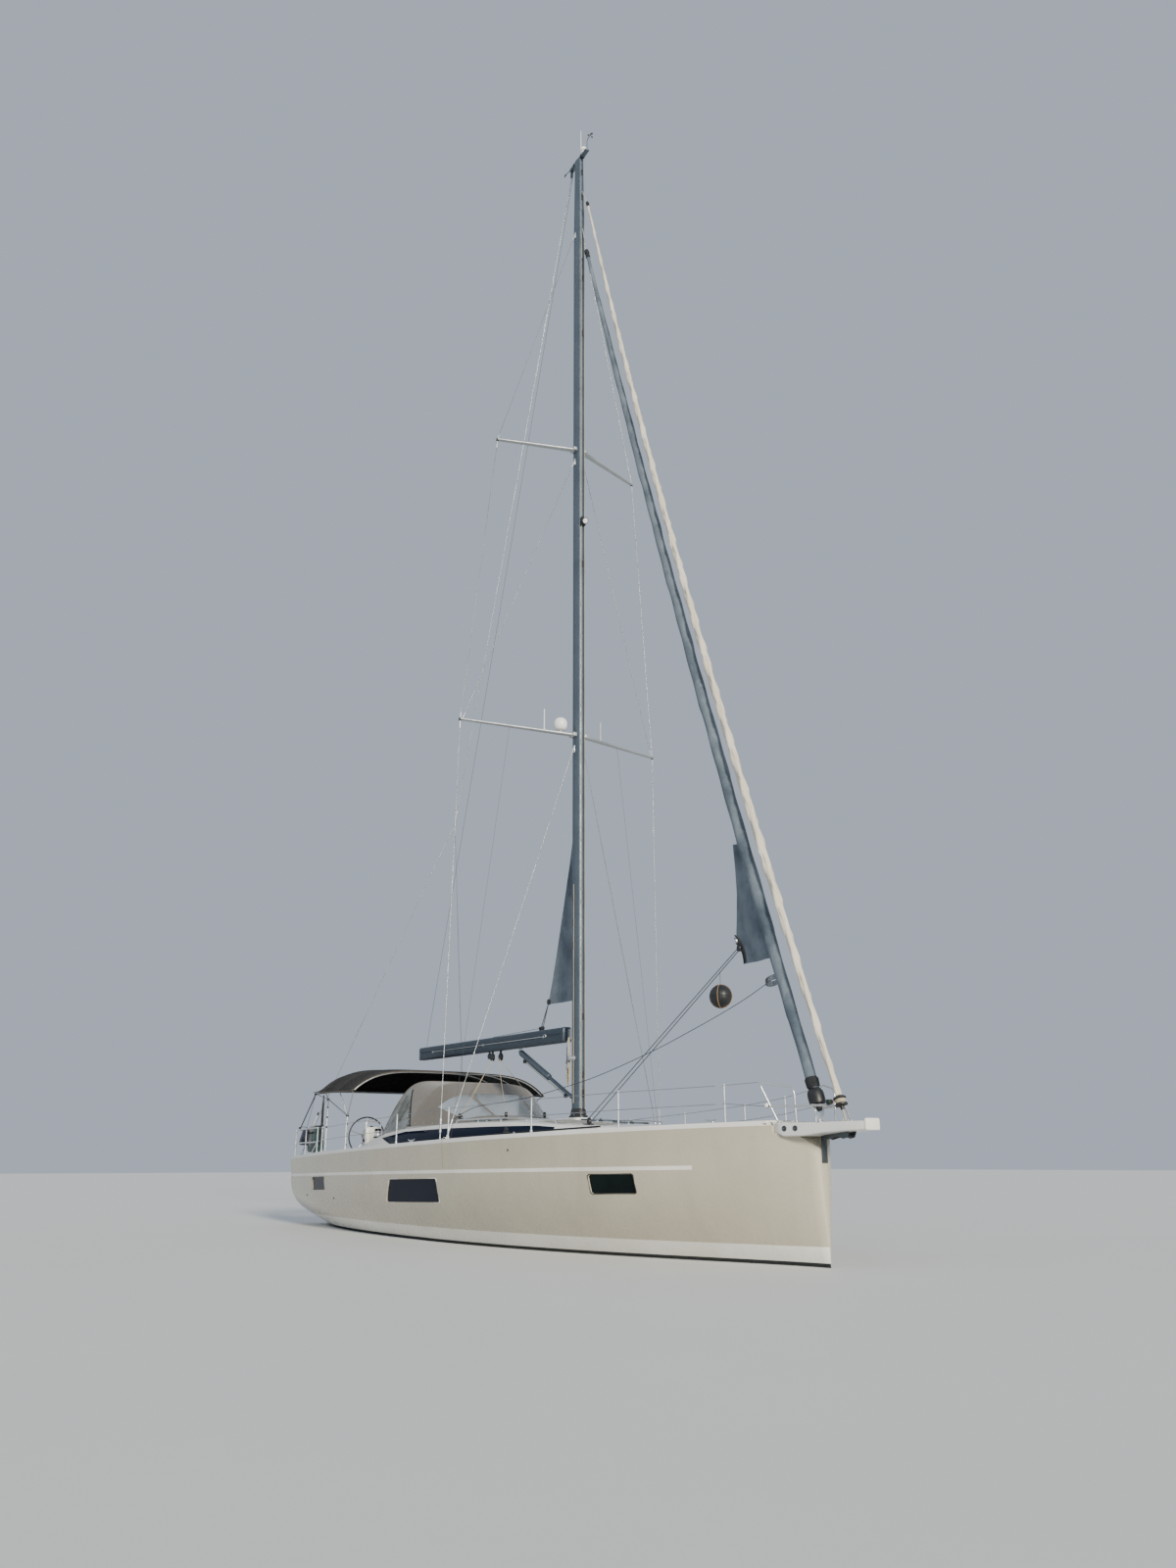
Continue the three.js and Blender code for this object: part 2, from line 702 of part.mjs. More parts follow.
function vang() {
  const top = at(VANG.x, 0, boomUnderside(VANG.x) - 70);
  const foot = at(GOOSENECK_X - 60, 0, VANG.foot + 40);
  return joined(
    rod(foot, top, 42, 10),
    ball(top, 42, 8, 6),
    box(VANG.x - 45, VANG.x + 45, -12, 12, top.z - 20, boomUnderside(VANG.x) - GAP - 2),
    box(GOOSENECK_X - 80, GOOSENECK_X, -7, 7, VANG.foot - 30, VANG.foot + 60),
    rod(at(GOOSENECK_X, 0, VANG.foot - 60), at(GOOSENECK_X, 0, VANG.foot + 90), PIN, 12),
  );
}

const MAIN_LUFF = MAST_X - MAST_HALF_LENGTH - 0.6;

function mainsailClew() {
  return sidePrism(
    [[MAIN_LUFF, 6950], [1150, 6900], [270, 3990], [MAIN_LUFF, 3950]], -3, 3,
  );
}

add("mast", mast(), "spar");
add("boom", boom(), "spar");
add("boom_vang", vang(), "spar");
add("mainsail_clew", mainsailClew(), "sail");

// Spreaders, one row for each pair
const SPREADERS = [
  { level: "lower", z: 8850, tipX: 680, tipY: 2140, tipZ: 9000 },
  { level: "upper", z: 15000, tipX: 870, tipY: 1615, tipZ: 15010 },
];
const SPREADER_ROOT = MAST_HALF_WIDTH + GAP;

function spreader({ z, tipX, tipY, tipZ }, sign) {
  const ring = (x, y, height, chord, thick) =>
    [[0.5, 0], [0.25, 0.5], [-0.3, 0.45], [-0.5, 0], [-0.3, -0.45], [0.25, -0.5]].map(
      ([along, up]) => at(x + along * chord, sign * y, height + up * thick),
    );
  return loft([
    ring(MAST_X, SPREADER_ROOT, z, 130, 60),
    ring(tipX, tipY, tipZ, 85, 38),
  ]);
}

for (const row of SPREADERS) {
  for (const { side, sign } of SIDES) {
    add(`${row.level}_spreader_${side}`, spreader(row, sign), "spar");
  }
}

// Standing rigging. Each wire is named, with its upper and lower end given for port.
const CHAINPLATE = { x: 590, y: 2200 };
const LOWER_PLATE = { x: 660, y: 2130 };
const [LOWER, UPPER] = SPREADERS;
const SIDE_OF_MAST = MAST_HALF_WIDTH + WIRE + 0.5;
const TIP_HALF_THICK = 18.3;
const TIP_INSET = 12;

// Where a wire meets the end of a spreader, on its top (side 1) or its underside (side -1)
function tipSeat({ z, tipX, tipY, tipZ }, side) {
  const slope = (tipZ - z) / (tipY - SPREADER_ROOT);
  const face = TIP_HALF_THICK + WIRE * slope + GAP;
  return level(tipX, tipY - TIP_INSET, tipZ - TIP_INSET * slope + side * face);
}

const chain = ({ x, y }) => level(x, y, deckTop(x, y - WIRE) + GAP);
const SHROUDS = [
  { name: "cap_shroud_upper", from: level(MAST_X, SIDE_OF_MAST, 20400), to: tipSeat(UPPER, 1) },
  { name: "cap_shroud_middle", from: tipSeat(UPPER, -1), to: tipSeat(LOWER, 1) },
  { name: "cap_shroud_lower", from: tipSeat(LOWER, -1), to: chain(CHAINPLATE) },
  {
    name: "intermediate_shroud",
    from: level(MAST_X, SIDE_OF_MAST, 14750),
    to: level(LOWER.tipX + 15, LOWER.tipY - 52, LOWER.tipZ + TIP_HALF_THICK - 3),
  },
  { name: "lower_shroud", from: level(MAST_X, SIDE_OF_MAST, 8600), to: chain(LOWER_PLATE) },
];

for (const { name, from, to } of SHROUDS) {
  for (const { side, sign } of SIDES) {
    const flip = (p) => level(p.x, sign * p.y, p.z);
    add(`${name}_${side}`, tube([flip(from), flip(to)], WIRE), "steel");
  }
}

const SPLIT = at(-4040, 0, 8430);
const CRANE = { aft: 1010, z: 22330 };

function backstay() {
  const shackle = box(SPLIT.x - 30, SPLIT.x + 30, -14, 14, SPLIT.z - 70, SPLIT.z + 60);
  return joined(tube([level(CRANE.aft + 30, 0, CRANE.z - 60 - GAP), SPLIT], WIRE), shackle);
}

function backstayLeg(sign) {
  const x = -7180;
  const y = 1980;
  const foot = level(x, sign * y, deckTop(x, y - WIRE) + GAP);
  return tube([SPLIT.clone().add(at(-20, sign * 20.5, -30)), foot], WIRE);
}

add("backstay", backstay(), "steel");
for (const { side, sign } of SIDES) add(`backstay_leg_${side}`, backstayLeg(sign), "steel");

// Masthead and mast fittings

function masthead() {
  const plate = box(CRANE.aft, 1720, -45, 45, MAST_TOP + GAP, MAST_TOP + 60);
  const tang = box(CRANE.aft, CRANE.aft + 60, -25, 25, CRANE.z - 60, MAST_TOP + 30);
  const lamp = joined(
    rod(at(1560, 0, MAST_TOP + 50), at(1560, 0, MAST_TOP + 160), 70, 12),
    ball(at(1560, 0, MAST_TOP + 160), 85, 12, 8),
  );
  const aerial = rod(at(1440, 0, MAST_TOP + 50), at(1440, 0, MAST_TOP + 800), 8, 6);
  const vane = joined(
    rod(at(1700, 0, MAST_TOP + 50), at(1700, 0, MAST_TOP + 330), 9, 6),
    box(1560, 1900, -6, 6, MAST_TOP + 320, MAST_TOP + 360),
  );
  return joined(plate, tang, lamp, aerial, vane);
}

function spreaderDome() {
  const centre = at(1275, -345, 9051);
  const spreaderTop = 8897.1;
  return joined(
    ball(centre, 130, 12, 8),
    rod(at(centre.x, centre.y, spreaderTop), centre, 20, 8),
  );
}

function deckLight() {
  const face = MAST_X + MAST_HALF_LENGTH + GAP;
  return joined(
    box(face, face + 90, -60, 60, 13230, 13420),
    ball(at(face + 90, 0, 13300), 70, 8, 6),
  );
}

add("masthead_gear", masthead(), "plastic");
add("spreader_dome", spreaderDome(), "dome");
add("deck_light", deckLight(), "plastic");

// Furled headsails

// A tube through points that sag aft between two ends.
function sagging(top, bottom, sag, radii) {
  const steps = radii.length - 1;
  const rings = radii.map((radius, i) => {
    const share = i / steps;
    const centre = top.clone().lerp(bottom, share);
    centre.x -= sag * 4 * share * (1 - share);
    return ellipseRing(centre, radius, radius, 10);
  });
  return loft(rings);
}

const GENOA = { swivel: at(1730, 0, 19580), foot: at(7290, 0, 2160), sag: 130 };
const CODE_ZERO = { swivel: at(1740, 0, 20920), foot: at(7760, 0, 2000), sag: 250 };

function genoa() {
  const { swivel, foot, sag } = GENOA;
  const roll = sagging(swivel, foot, sag, [35, 60, 75, 85, 95, 95, 80]);
  const stay = rod(at(MAST_X + MAST_HALF_LENGTH + 9.6, 0, 20500), swivel, 9, 6);
  const swivelBall = ball(swivel, 55, 8, 6);
  const clewFlap = sidePrism(
    [[6120, 5560], [5820, 4270], [6040, 3960], [6700, 3890]], -6, 6,
  );
  const drum = joined(
    rod(foot.clone().add(at(-20, 0, 40)), foot.clone().add(at(45, 0, -140)), 130, 12),
    tube([foot.clone().add(at(40, 0, -120)), level(7460, 0, SPRIT.top + GAP)], 16, 8),
  );
  return joined(roll, stay, swivelBall, clewFlap, drum);
}

function codeZero() {
  const { swivel, foot, sag } = CODE_ZERO;
  const roll = sagging(swivel, foot, sag, [25, 55, 65, 72, 78, 78, 60]);
  const halyard = rod(at(MAST_X + 143, 0, 21500), swivel, 7, 6);
  const drum = joined(
    rod(foot.clone().add(at(-6, 0, 20)), foot.clone().add(at(35, 0, -110)), 85, 12),
    tube([foot.clone().add(at(30, 0, -100)), level(7850, 0, SPRIT.top + GAP)], 14, 8),
  );
  return joined(roll, halyard, drum);
}

add("genoa_furled", genoa(), "sail");
add("code_zero_furled", codeZero(), "paleSail");

// Sheet that carries the anchor ball
const SHEET = { clew: at(5915, -13.4, 4165), car: level(3000, -800, 1796.3) };
const BALL_SHARE = 0.125;
const BALL_DROP = 345;
const SHEET_CLEARANCE = 11.4; // from the sheet's centre to the end of the hook

function anchorBall() {
  const centre = SHEET.clew.clone().lerp(SHEET.car, BALL_SHARE).add(at(0, 0, -BALL_DROP));
  return joined(
    ball(centre, 175, 12, 8),
    rod(centre, centre.clone().add(at(0, 0, BALL_DROP - SHEET_CLEARANCE)), 5, 6),
  );
}

add("genoa_sheet", tube([SHEET.clew, SHEET.car], 7), "plastic");
add("anchor_ball", anchorBall(), "plastic");

// Canvas

// Bimini bows: x, half width, edge height, crown height
const BIMINI = [
  { x: -6240, half: 2100, edge: 2690, crown: 2715, power: 5 },
  { x: -5850, half: 2120, edge: 2670, crown: 3170, power: 5 },
  { x: -5300, half: 2130, edge: 2650, crown: 3165, power: 5 },
  { x: -4500, half: 2150, edge: 2630, crown: 3110, power: 5 },
  { x: -3700, half: 2170, edge: 2600, crown: 3030, power: 5 },
];
// Sprayhood arches: the same, with x at the foot and the crown a little farther forward
const HOOD = [
  { x: -3720, lean: 700, half: 1495, edge: 1764, crown: 2790, power: 9 },
  { x: -3430, lean: 530, half: 1500, edge: 1805.6, crown: 2785, power: 8 },
  { x: -2440, lean: 240, half: 1460, edge: 1899, crown: 2730, power: 5 },
  { x: -1400, lean: 650, half: 1050, edge: 1943, crown: 2000 },
];
const CANVAS = 12;
const ARCH_STEPS = 10;
const ARCH_POWER = 4; // a high power gives a flat top and round shoulders

function archPoints({ x, half, edge, crown, lean = 0, power = ARCH_POWER }) {
  return Array.from({ length: ARCH_STEPS + 1 }, (_, i) => {
    const across = Math.sin((Math.PI / 2) * ((2 * i) / ARCH_STEPS - 1));
    const rise = 1 - Math.abs(across) ** power;
    return at(x + lean * rise, across * half, edge + (crown - edge) * rise);
  });
}

function clothRing(bow) {
  const { half, crown } = bow;
  const inner = archPoints({ ...bow, half: half - CANVAS, crown: crown - CANVAS });
  return [...archPoints(bow), ...inner.reverse()];
}

// The bow of the bimini at any x, between the rows of its table.
function biminiBow(x) {
  const last = BIMINI.length - 2;
  const i = Math.min(last, Math.max(0, BIMINI.findIndex((bow) => bow.x > x) - 1));
  const [a, b] = [BIMINI[i], BIMINI[i + 1]];
  const share = (x - a.x) / (b.x - a.x);
  const mix = (key) => a[key] + (b[key] - a[key]) * share;
  return { x, half: mix("half"), edge: mix("edge"), crown: mix("crown"), power: mix("power") };
}

const FRAME_RADIUS = 13;

// Frame bows under the cloth: x, how far under its outer face the crown is, and the same for the ends
const BOWS = [
  { x: -6175, drop: 65, sink: 40 },
  { x: -5500, drop: 23.8, sink: 0 },
  { x: -4600, drop: 24.2, sink: 0 },
  { x: -3740, drop: 25, sink: 0 },
];
const BOW_INSET = 42; // from the cloth's edge to the ends of a frame bow

function biminiFrame() {
  const bows = BOWS.map(({ x, drop, sink }) => {
    const bow = biminiBow(x);
    return archPoints({
      ...bow, half: bow.half - BOW_INSET, edge: bow.edge - sink, crown: bow.crown - drop,
    });
  });
  const pieces = bows.map((points) => tube(points, FRAME_RADIUS));
  for (const { sign } of SIDES) {
    const end = (i) => bows[i][sign < 0 ? 0 : ARCH_STEPS];
    const y = 1960;
    const foot = (x) => level(x, sign * y, deckTop(x, y - FRAME_RADIUS) + GAP);
    const [aftKnee, foreKnee] = [at(-5650, sign * y, 2520), at(-4450, sign * y, 2150)];
    pieces.push(
      tube([end(0), aftKnee, foot(-5650)], FRAME_RADIUS),
      tube([end(1), aftKnee], FRAME_RADIUS),
      tube([end(2), foreKnee, foot(-4450)], FRAME_RADIUS),
      tube([end(3), foreKnee, aftKnee], FRAME_RADIUS),
    );
  }
  return joined(...pieces);
}

add("bimini", loft(BIMINI.map(clothRing)), "canvas");
add("bimini_frame", biminiFrame(), "steel");
add("sprayhood", loft(HOOD.map(clothRing)), "hood");

// Cockpit

const HELM = { y: 880, hub: 1790, wheel: 400, face: -6050, plane: -6130 };

function pedestal(sign) {
  const y = sign * HELM.y;
  return loft([
    [at(HELM.face, y - 170, SOLE + GAP), at(HELM.face, y + 170, SOLE + GAP),
      at(-5720, y + 170, SOLE + GAP), at(-5720, y - 170, SOLE + GAP)],
    [at(HELM.face, y - 150, HELM.hub + 90), at(HELM.face, y + 150, HELM.hub + 90),
      at(-5800, y + 150, HELM.hub + 190), at(-5800, y - 150, HELM.hub + 190)],
  ]);
}

function wheel(sign) {
  const y = sign * HELM.y;
  const x = HELM.plane;
  const rim = new THREE.TorusGeometry(HELM.wheel, 16, 6, 28);
  rim.rotateY(Math.PI / 2);
  rim.translate(x, y, HELM.hub);
  const spokes = [0, 1, 2, 3, 4].map((i) => {
    const turn = (i * 2 * Math.PI) / 5 + Math.PI / 2;
    const end = at(x, y + HELM.wheel * Math.cos(turn), HELM.hub + HELM.wheel * Math.sin(turn));
    return rod(at(x, y, HELM.hub), end, 9, 6);
  });
  const hub = rod(at(x - 30, y, HELM.hub), at(HELM.face - GAP, y, HELM.hub), 45, 12);
  return joined(closed(rim), hub, ...spokes);
}

function table() {
  return joined(
    box(-4700, -3400, -380, 380, 1600, 1640),
    box(-4600, -3500, -130, 130, 1250, 1610),
    box(-4500, -4380, -60, 60, SOLE + GAP, 1300),
    box(-3720, -3600, -60, 60, SOLE + GAP, 1300),
  );
}

for (const { side, sign } of SIDES) {
  add(`helm_pedestal_${side}`, pedestal(sign), "deck");
  add(`steering_wheel_${side}`, wheel(sign), "steel");
}
add("cockpit_table", table(), "deck");

// Hatches and winches

function companionwayHatch() {
  const { fore } = COMPANIONWAY;
  const half = GARAGE.half - 20;
  return box(-2480, fore + 60, -half, half, GARAGE.top + GAP, GARAGE.top + 30);
}

const HATCHES = [
  { name: "anchor_locker_lid", aft: 5850, fore: 6600, half: 270, thick: 30 },
  { name: "foredeck_hatch", aft: 4640, fore: 5200, half: 280, thick: 35 },
];

function hatchSeat({ aft, fore }) {
  return Math.max(deckTop(aft, 0), deckTop(fore, 0)) + GAP;
}

for (const hatch of HATCHES) {
  const z = hatchSeat(hatch);
  add(hatch.name, box(hatch.aft, hatch.fore, -hatch.half, hatch.half, z, z + hatch.thick), "deck");
}
add("companionway_hatch", companionwayHatch(), "plastic");

function winch(sign) {
  const drum = (radius, height) =>
    rod(
      at(WINCH.x, sign * WINCH.y, WINCH.seat + GAP),
      at(WINCH.x, sign * WINCH.y, WINCH.seat + height),
      radius,
      16,
    );
  return joined(drum(90, 60), drum(62, 190));
}

for (const { side, sign } of SIDES) add(`winch_${side}`, winch(sign), "steel");

// Bag on the starboard quarter rail
const BAG = { aft: -6260, fore: -5780, outer: -2170.6, inner: -1930, bottom: 1460, top: 2010 };
add("rail_bag", box(BAG.aft, BAG.fore, BAG.outer, BAG.inner, BAG.bottom, BAG.top), "canvas");

export default yacht;
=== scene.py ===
"""A sailing yacht afloat: smooth shapes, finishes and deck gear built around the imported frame."""

import logging
import math
from dataclasses import dataclass
from enum import Enum
from typing import Callable, Iterable, Sequence

import bmesh
import bpy
from mathutils import Matrix, Vector, noise


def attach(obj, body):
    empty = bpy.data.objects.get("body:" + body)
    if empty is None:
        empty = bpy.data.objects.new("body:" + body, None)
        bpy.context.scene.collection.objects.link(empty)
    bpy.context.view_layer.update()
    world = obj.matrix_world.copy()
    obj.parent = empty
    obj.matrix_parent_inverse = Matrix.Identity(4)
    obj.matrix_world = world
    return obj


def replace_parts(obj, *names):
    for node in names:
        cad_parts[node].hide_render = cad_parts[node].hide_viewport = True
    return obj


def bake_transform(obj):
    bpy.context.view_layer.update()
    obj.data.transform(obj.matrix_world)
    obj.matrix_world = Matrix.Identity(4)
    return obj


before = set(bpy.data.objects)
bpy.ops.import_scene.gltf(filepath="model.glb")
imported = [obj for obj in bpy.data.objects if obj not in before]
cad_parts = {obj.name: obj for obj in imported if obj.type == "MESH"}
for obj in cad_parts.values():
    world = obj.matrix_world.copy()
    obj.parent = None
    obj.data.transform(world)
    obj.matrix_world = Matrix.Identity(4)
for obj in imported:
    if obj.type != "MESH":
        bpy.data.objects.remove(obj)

LOG = logging.getLogger("yacht")
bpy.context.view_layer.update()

Point = tuple[float, float, float]
Pair = tuple[float, float]
Obj = bpy.types.Object
SIDES: tuple[tuple[str, int], ...] = (("starboard", -1), ("port", 1))
TAU: float = 2 * math.pi
AHEAD: Point = (1, 0, 0)
ACROSS: Point = (0, 1, 0)
UP: Point = (0, 0, 1)
SEAM: float = 0.0003  # Gap between parts that are set against each other.
CLEAR_HIGH: float = 3.0  # A height that cutters reach to clear the coachroof.


# Finishes


class Grain(Enum):
    """The fine structure of a surface."""

    SMOOTH = "smooth"
    STREAKED = "streaked"
    BRUSHED = "brushed"
    WOVEN = "woven"
    LAID = "laid"
    DIMPLED = "dimpled"
    WOOD = "wood"
    CREASED = "creased"


class Nodes:
    """A short way to write a material's node tree."""

    def __init__(self, name: str) -> None:
        """Starts an empty tree with one shader.

        Args:
            name: Name of the material.
        """
        self.material = bpy.data.materials.new(name)
        self.material.use_nodes = True
        self.tree = self.material.node_tree
        self.tree.nodes.clear()
        output = self.tree.nodes.new("ShaderNodeOutputMaterial")
        self.shader = self.tree.nodes.new("ShaderNodeBsdfPrincipled")
        self.link(self.shader.outputs[0], output.inputs[0])
        self.place = self.tree.nodes.new("ShaderNodeTexCoord").outputs["Object"]

    def link(self, start: bpy.types.NodeSocket, end: bpy.types.NodeSocket) -> None:
        """Joins two sockets."""
        self.tree.links.new(start, end)

    def _feed(self, socket: bpy.types.NodeSocket, value: object) -> None:
        """Gives a socket a link or a plain value.

        Args:
            socket: Socket to set.
            value: Socket to link it to, or a plain value.
        """
        if isinstance(value, bpy.types.NodeSocket):
            self.link(value, socket)
        else:
            socket.default_value = value

    def stretched(self, scale: Point) -> bpy.types.NodeSocket:
        """The place on the object, scaled along each axis.

        Args:
            scale: Factor for each axis.

        Returns:
            The scaled coordinates.
        """
        node = self.tree.nodes.new("ShaderNodeMapping")
        node.inputs["Scale"].default_value = scale
        self.link(self.place, node.inputs["Vector"])
        return node.outputs[0]

    def noise(self, scale: float, detail: float = 3.0, place: object = None) -> bpy.types.NodeSocket:
        """A cloudy value from 0 to 1.

        Args:
            scale: Clouds to the metre.
            detail: Number of finer layers.
            place: Coordinates to read, if not the object's own.

        Returns:
            The value.
        """
        node = self.tree.nodes.new("ShaderNodeTexNoise")
        node.inputs["Scale"].default_value = scale
        node.inputs["Detail"].default_value = detail
        self.link(place or self.place, node.inputs["Vector"])
        return node.outputs["Fac"]

    def wave(self, scale: float, axis: str, distortion: float = 0.0) -> bpy.types.NodeSocket:
        """Even bands across one axis.

        Args:
            scale: Bands to the metre, about.
            axis: X, Y, Z or DIAGONAL.
            distortion: How far the bands wander.

        Returns:
            The value.
        """
        node = self.tree.nodes.new("ShaderNodeTexWave")
        node.bands_direction = axis
        node.inputs["Scale"].default_value = scale
        node.inputs["Distortion"].default_value = distortion
        self.link(self.place, node.inputs["Vector"])
        return node.outputs["Fac"]

    def dots(self, scale: float) -> bpy.types.NodeSocket:
        """Distance to scattered points, for a moulded grip pattern.

        Args:
            scale: Points to the metre, about.

        Returns:
            The distance.
        """
        node = self.tree.nodes.new("ShaderNodeTexVoronoi")
        node.inputs["Scale"].default_value = scale
        node.inputs["Randomness"].default_value = 0.15
        self.link(self.place, node.inputs["Vector"])
        return node.outputs["Distance"]

    def math(self, operation: str, first: object, second: object = 0.0) -> bpy.types.NodeSocket:
        """One sum of two values.

        Args:
            operation: Kind of sum.
            first: First socket or value.
            second: Second socket or value.

        Returns:
            The result.
        """
        node = self.tree.nodes.new("ShaderNodeMath")
        node.operation = operation
        self._feed(node.inputs[0], first)
        self._feed(node.inputs[1], second)
        return node.outputs[0]

    def span(self, value: object, low: float, high: float, to: Pair = (0.0, 1.0)) -> bpy.types.NodeSocket:
        """A value moved from one range to another, held inside it.

        Args:
            value: Socket to read.
            low: Start of its range.
            high: End of its range.
            to: The range that it is moved to.

        Returns:
            The moved value.
        """
        node = self.tree.nodes.new("ShaderNodeMapRange")
        self._feed(node.inputs["Value"], value)
        for key, number in (("From Min", low), ("From Max", high), ("To Min", to[0]), ("To Max", to[1])):
            node.inputs[key].default_value = number
        return node.outputs[0]

    def mix(self, share: object, first: object, second: object) -> bpy.types.NodeSocket:
        """Two colours mixed by a share.

        Args:
            share: Share of the second colour.
            first: First colour.
            second: Second colour.

        Returns:
            The mixed colour.
        """
        node = self.tree.nodes.new("ShaderNodeMix")
        node.data_type = "RGBA"
        self._feed(node.inputs["Factor"], share)
        self._feed(node.inputs[6], first)
        self._feed(node.inputs[7], second)
        return node.outputs[2]

    def bump(self, height: object, depth: float, strength: float = 1.0) -> None:
        """Raises the surface by a height.

        Args:
            height: Socket with a height from 0 to 1.
            depth: Metres that a height of 1 stands proud.
            strength: Share of the effect.
        """
        node = self.tree.nodes.new("ShaderNodeBump")
        node.inputs["Distance"].default_value = depth
        node.inputs["Strength"].default_value = strength
        self._feed(node.inputs["Height"], height)
        before = self.shader.inputs["Normal"].links
        if before:
            self.link(before[0].from_socket, node.inputs["Normal"])
        self.link(node.outputs[0], self.shader.inputs["Normal"])


def rgba(code: str) -> tuple[float, float, float, float]:
    """A colour as the shader wants it.

    Args:
        code: Six hexadecimal digits.

    Returns:
        Linear red, green, blue and 1.
    """
    parts = [int(code[i : i + 2], 16) / 255 for i in (0, 2, 4)]
    linear = [p / 12.92 if p <= 0.04045 else ((p + 0.055) / 1.055) ** 2.4 for p in parts]
    return (linear[0], linear[1], linear[2], 1.0)


@dataclass(frozen=True)
class Finish:
    """One finish of the yacht."""

    name: str
    slot: str
    colour: str
    second: str
    roughness: float = 0.4
    metallic: float = 0.0
    coat: float = 0.0
    sheen: float = 0.0
    glow: float = 0.0
    clear: float = 0.0
    grain: Grain = Grain.SMOOTH
    patch: float = 1.5
    spread: float = 0.5
    gloss: float = 0.5

    def material(self) -> bpy.types.Material:
        """Makes the finish's material once.

        Returns:
            The material.
        """
        found = bpy.data.materials.get(self.name)
        return found if found else self._build()

    def _build(self) -> bpy.types.Material:
        """Builds the node tree.

        Returns:
            The new material.
        """
        n = Nodes(self.name)
        s = n.shader.inputs
        s["Metallic"].default_value = self.metallic
        s["Coat Weight"].default_value = self.coat
        s["Coat Roughness"].default_value = 0.08
        s["Specular IOR Level"].default_value = self.gloss
        s["Sheen Weight"].default_value = self.sheen
        s["Transmission Weight"].default_value = self.clear
        if self.glow:
            s["Emission Color"].default_value = rgba(self.colour)
            s["Emission Strength"].default_value = self.glow
        clouds = n.span(n.noise(self.patch, 5.0), 0.5 - self.spread / 2, 0.5 + self.spread / 2)
        colour = n.mix(clouds, rgba(self.colour), rgba(self.second))
        worn = n.span(n.noise(self.patch * 9, 4.0), 0.3, 0.7, (self.roughness * 0.8, self.roughness * 1.25))
        n.link(worn, s["Roughness"])
        grains = {
            Grain.SMOOTH: self._smooth, Grain.STREAKED: self._streaked, Grain.BRUSHED: self._brushed,
            Grain.WOVEN: self._woven, Grain.LAID: self._laid, Grain.DIMPLED: self._dimpled,
            Grain.WOOD: self._wood, Grain.CREASED: self._creased,
        }
        n.link(grains[self.grain](n, colour), s["Base Color"])
        return n.material

    def _smooth(self, n: Nodes, colour: bpy.types.NodeSocket) -> bpy.types.NodeSocket:
        """A polished or moulded skin with a trace of orange peel."""
        n.bump(n.noise(160.0, 2.0), 0.0004, 0.25)
        return colour

    def _streaked(self, n: Nodes, colour: bpy.types.NodeSocket) -> bpy.types.NodeSocket:
        """Paint with soft runs of dried water down its face and a fairing wave.

        Args:
            n: Tree that it adds to.
            colour: Colour so far.

        Returns:
            The colour that shows.
        """
        runs = n.span(n.noise(1.0, 6.0, n.stretched((5.0, 5.0, 0.35))), 0.5, 0.85, (0.0, 0.22))
        dark = tuple(c * 0.72 for c in rgba(self.second)[:3]) + (1.0,)
        n.bump(n.noise(0.7, 1.0), 0.004, 0.3)
        return n.mix(runs, colour, dark)

    def _brushed(self, n: Nodes, colour: bpy.types.NodeSocket) -> bpy.types.NodeSocket:
        """Drawn metal with fine lines along its length.

        Args:
            n: Tree that it adds to.
            colour: Colour so far.

        Returns:
            The colour that shows.
        """
        lines = n.noise(1.0, 4.0, n.stretched((340.0, 340.0, 9.0)))
        n.bump(lines, 0.0002, 0.25)
        return n.mix(n.span(lines, 0.35, 0.75, (0.0, 0.35)), colour, rgba(self.second))

    def _woven(self, n: Nodes, colour: bpy.types.NodeSocket) -> bpy.types.NodeSocket:
        """Cloth: a weave of crossing threads over soft creases.

        Args:
            n: Tree that it adds to.
            colour: Colour so far.

        Returns:
            The colour that shows.
        """
        warp = n.wave(260.0, "X")
        weft = n.wave(260.0, "Z")
        other = n.wave(260.0, "Y")
        weave = n.math("MULTIPLY", n.math("ADD", warp, n.math("MULTIPLY", weft, other)), 0.5)
        n.bump(n.noise(3.5, 3.0), 0.012, 0.35)
        n.bump(weave, 0.0005, 0.5)
        return n.mix(n.span(weave, 0.2, 0.8, (0.0, 0.3)), colour, rgba(self.second))

    def _laid(self, n: Nodes, colour: bpy.types.NodeSocket) -> bpy.types.NodeSocket:
        """Rope: strands that cross it on the slant.

        Args:
            n: Tree that it adds to.
            colour: Colour so far.

        Returns:
            The colour that shows.
        """
        strands = n.wave(55.0, "DIAGONAL", 1.5)
        n.bump(strands, 0.0012, 0.7)
        return n.mix(n.span(strands, 0.25, 0.6, (0.75, 0.0)), colour, rgba(self.second))

    def _dimpled(self, n: Nodes, colour: bpy.types.NodeSocket) -> bpy.types.NodeSocket:
        """Moulded grip pattern of small raised dots.

        Args:
            n: Tree that it adds to.
            colour: Colour so far.

        Returns:
            The colour that shows.
        """
        dots = n.span(n.dots(150.0), 0.2, 0.5, (1.0, 0.0))
        n.bump(dots, 0.0009, 0.8)
        return n.mix(n.span(dots, 0.0, 1.0, (0.35, 0.0)), colour, rgba(self.second))

    def _wood(self, n: Nodes, colour: bpy.types.NodeSocket) -> bpy.types.NodeSocket:
        """Silvered timber with its grain along the yacht.

        Args:
            n: Tree that it adds to.
            colour: Colour so far.

        Returns:
            The colour that shows.
        """
        rings = n.noise(1.0, 6.0, n.stretched((2.2, 60.0, 60.0)))
        n.bump(rings, 0.0008, 0.6)
        return n.mix(n.span(rings, 0.3, 0.7), colour, rgba(self.second))

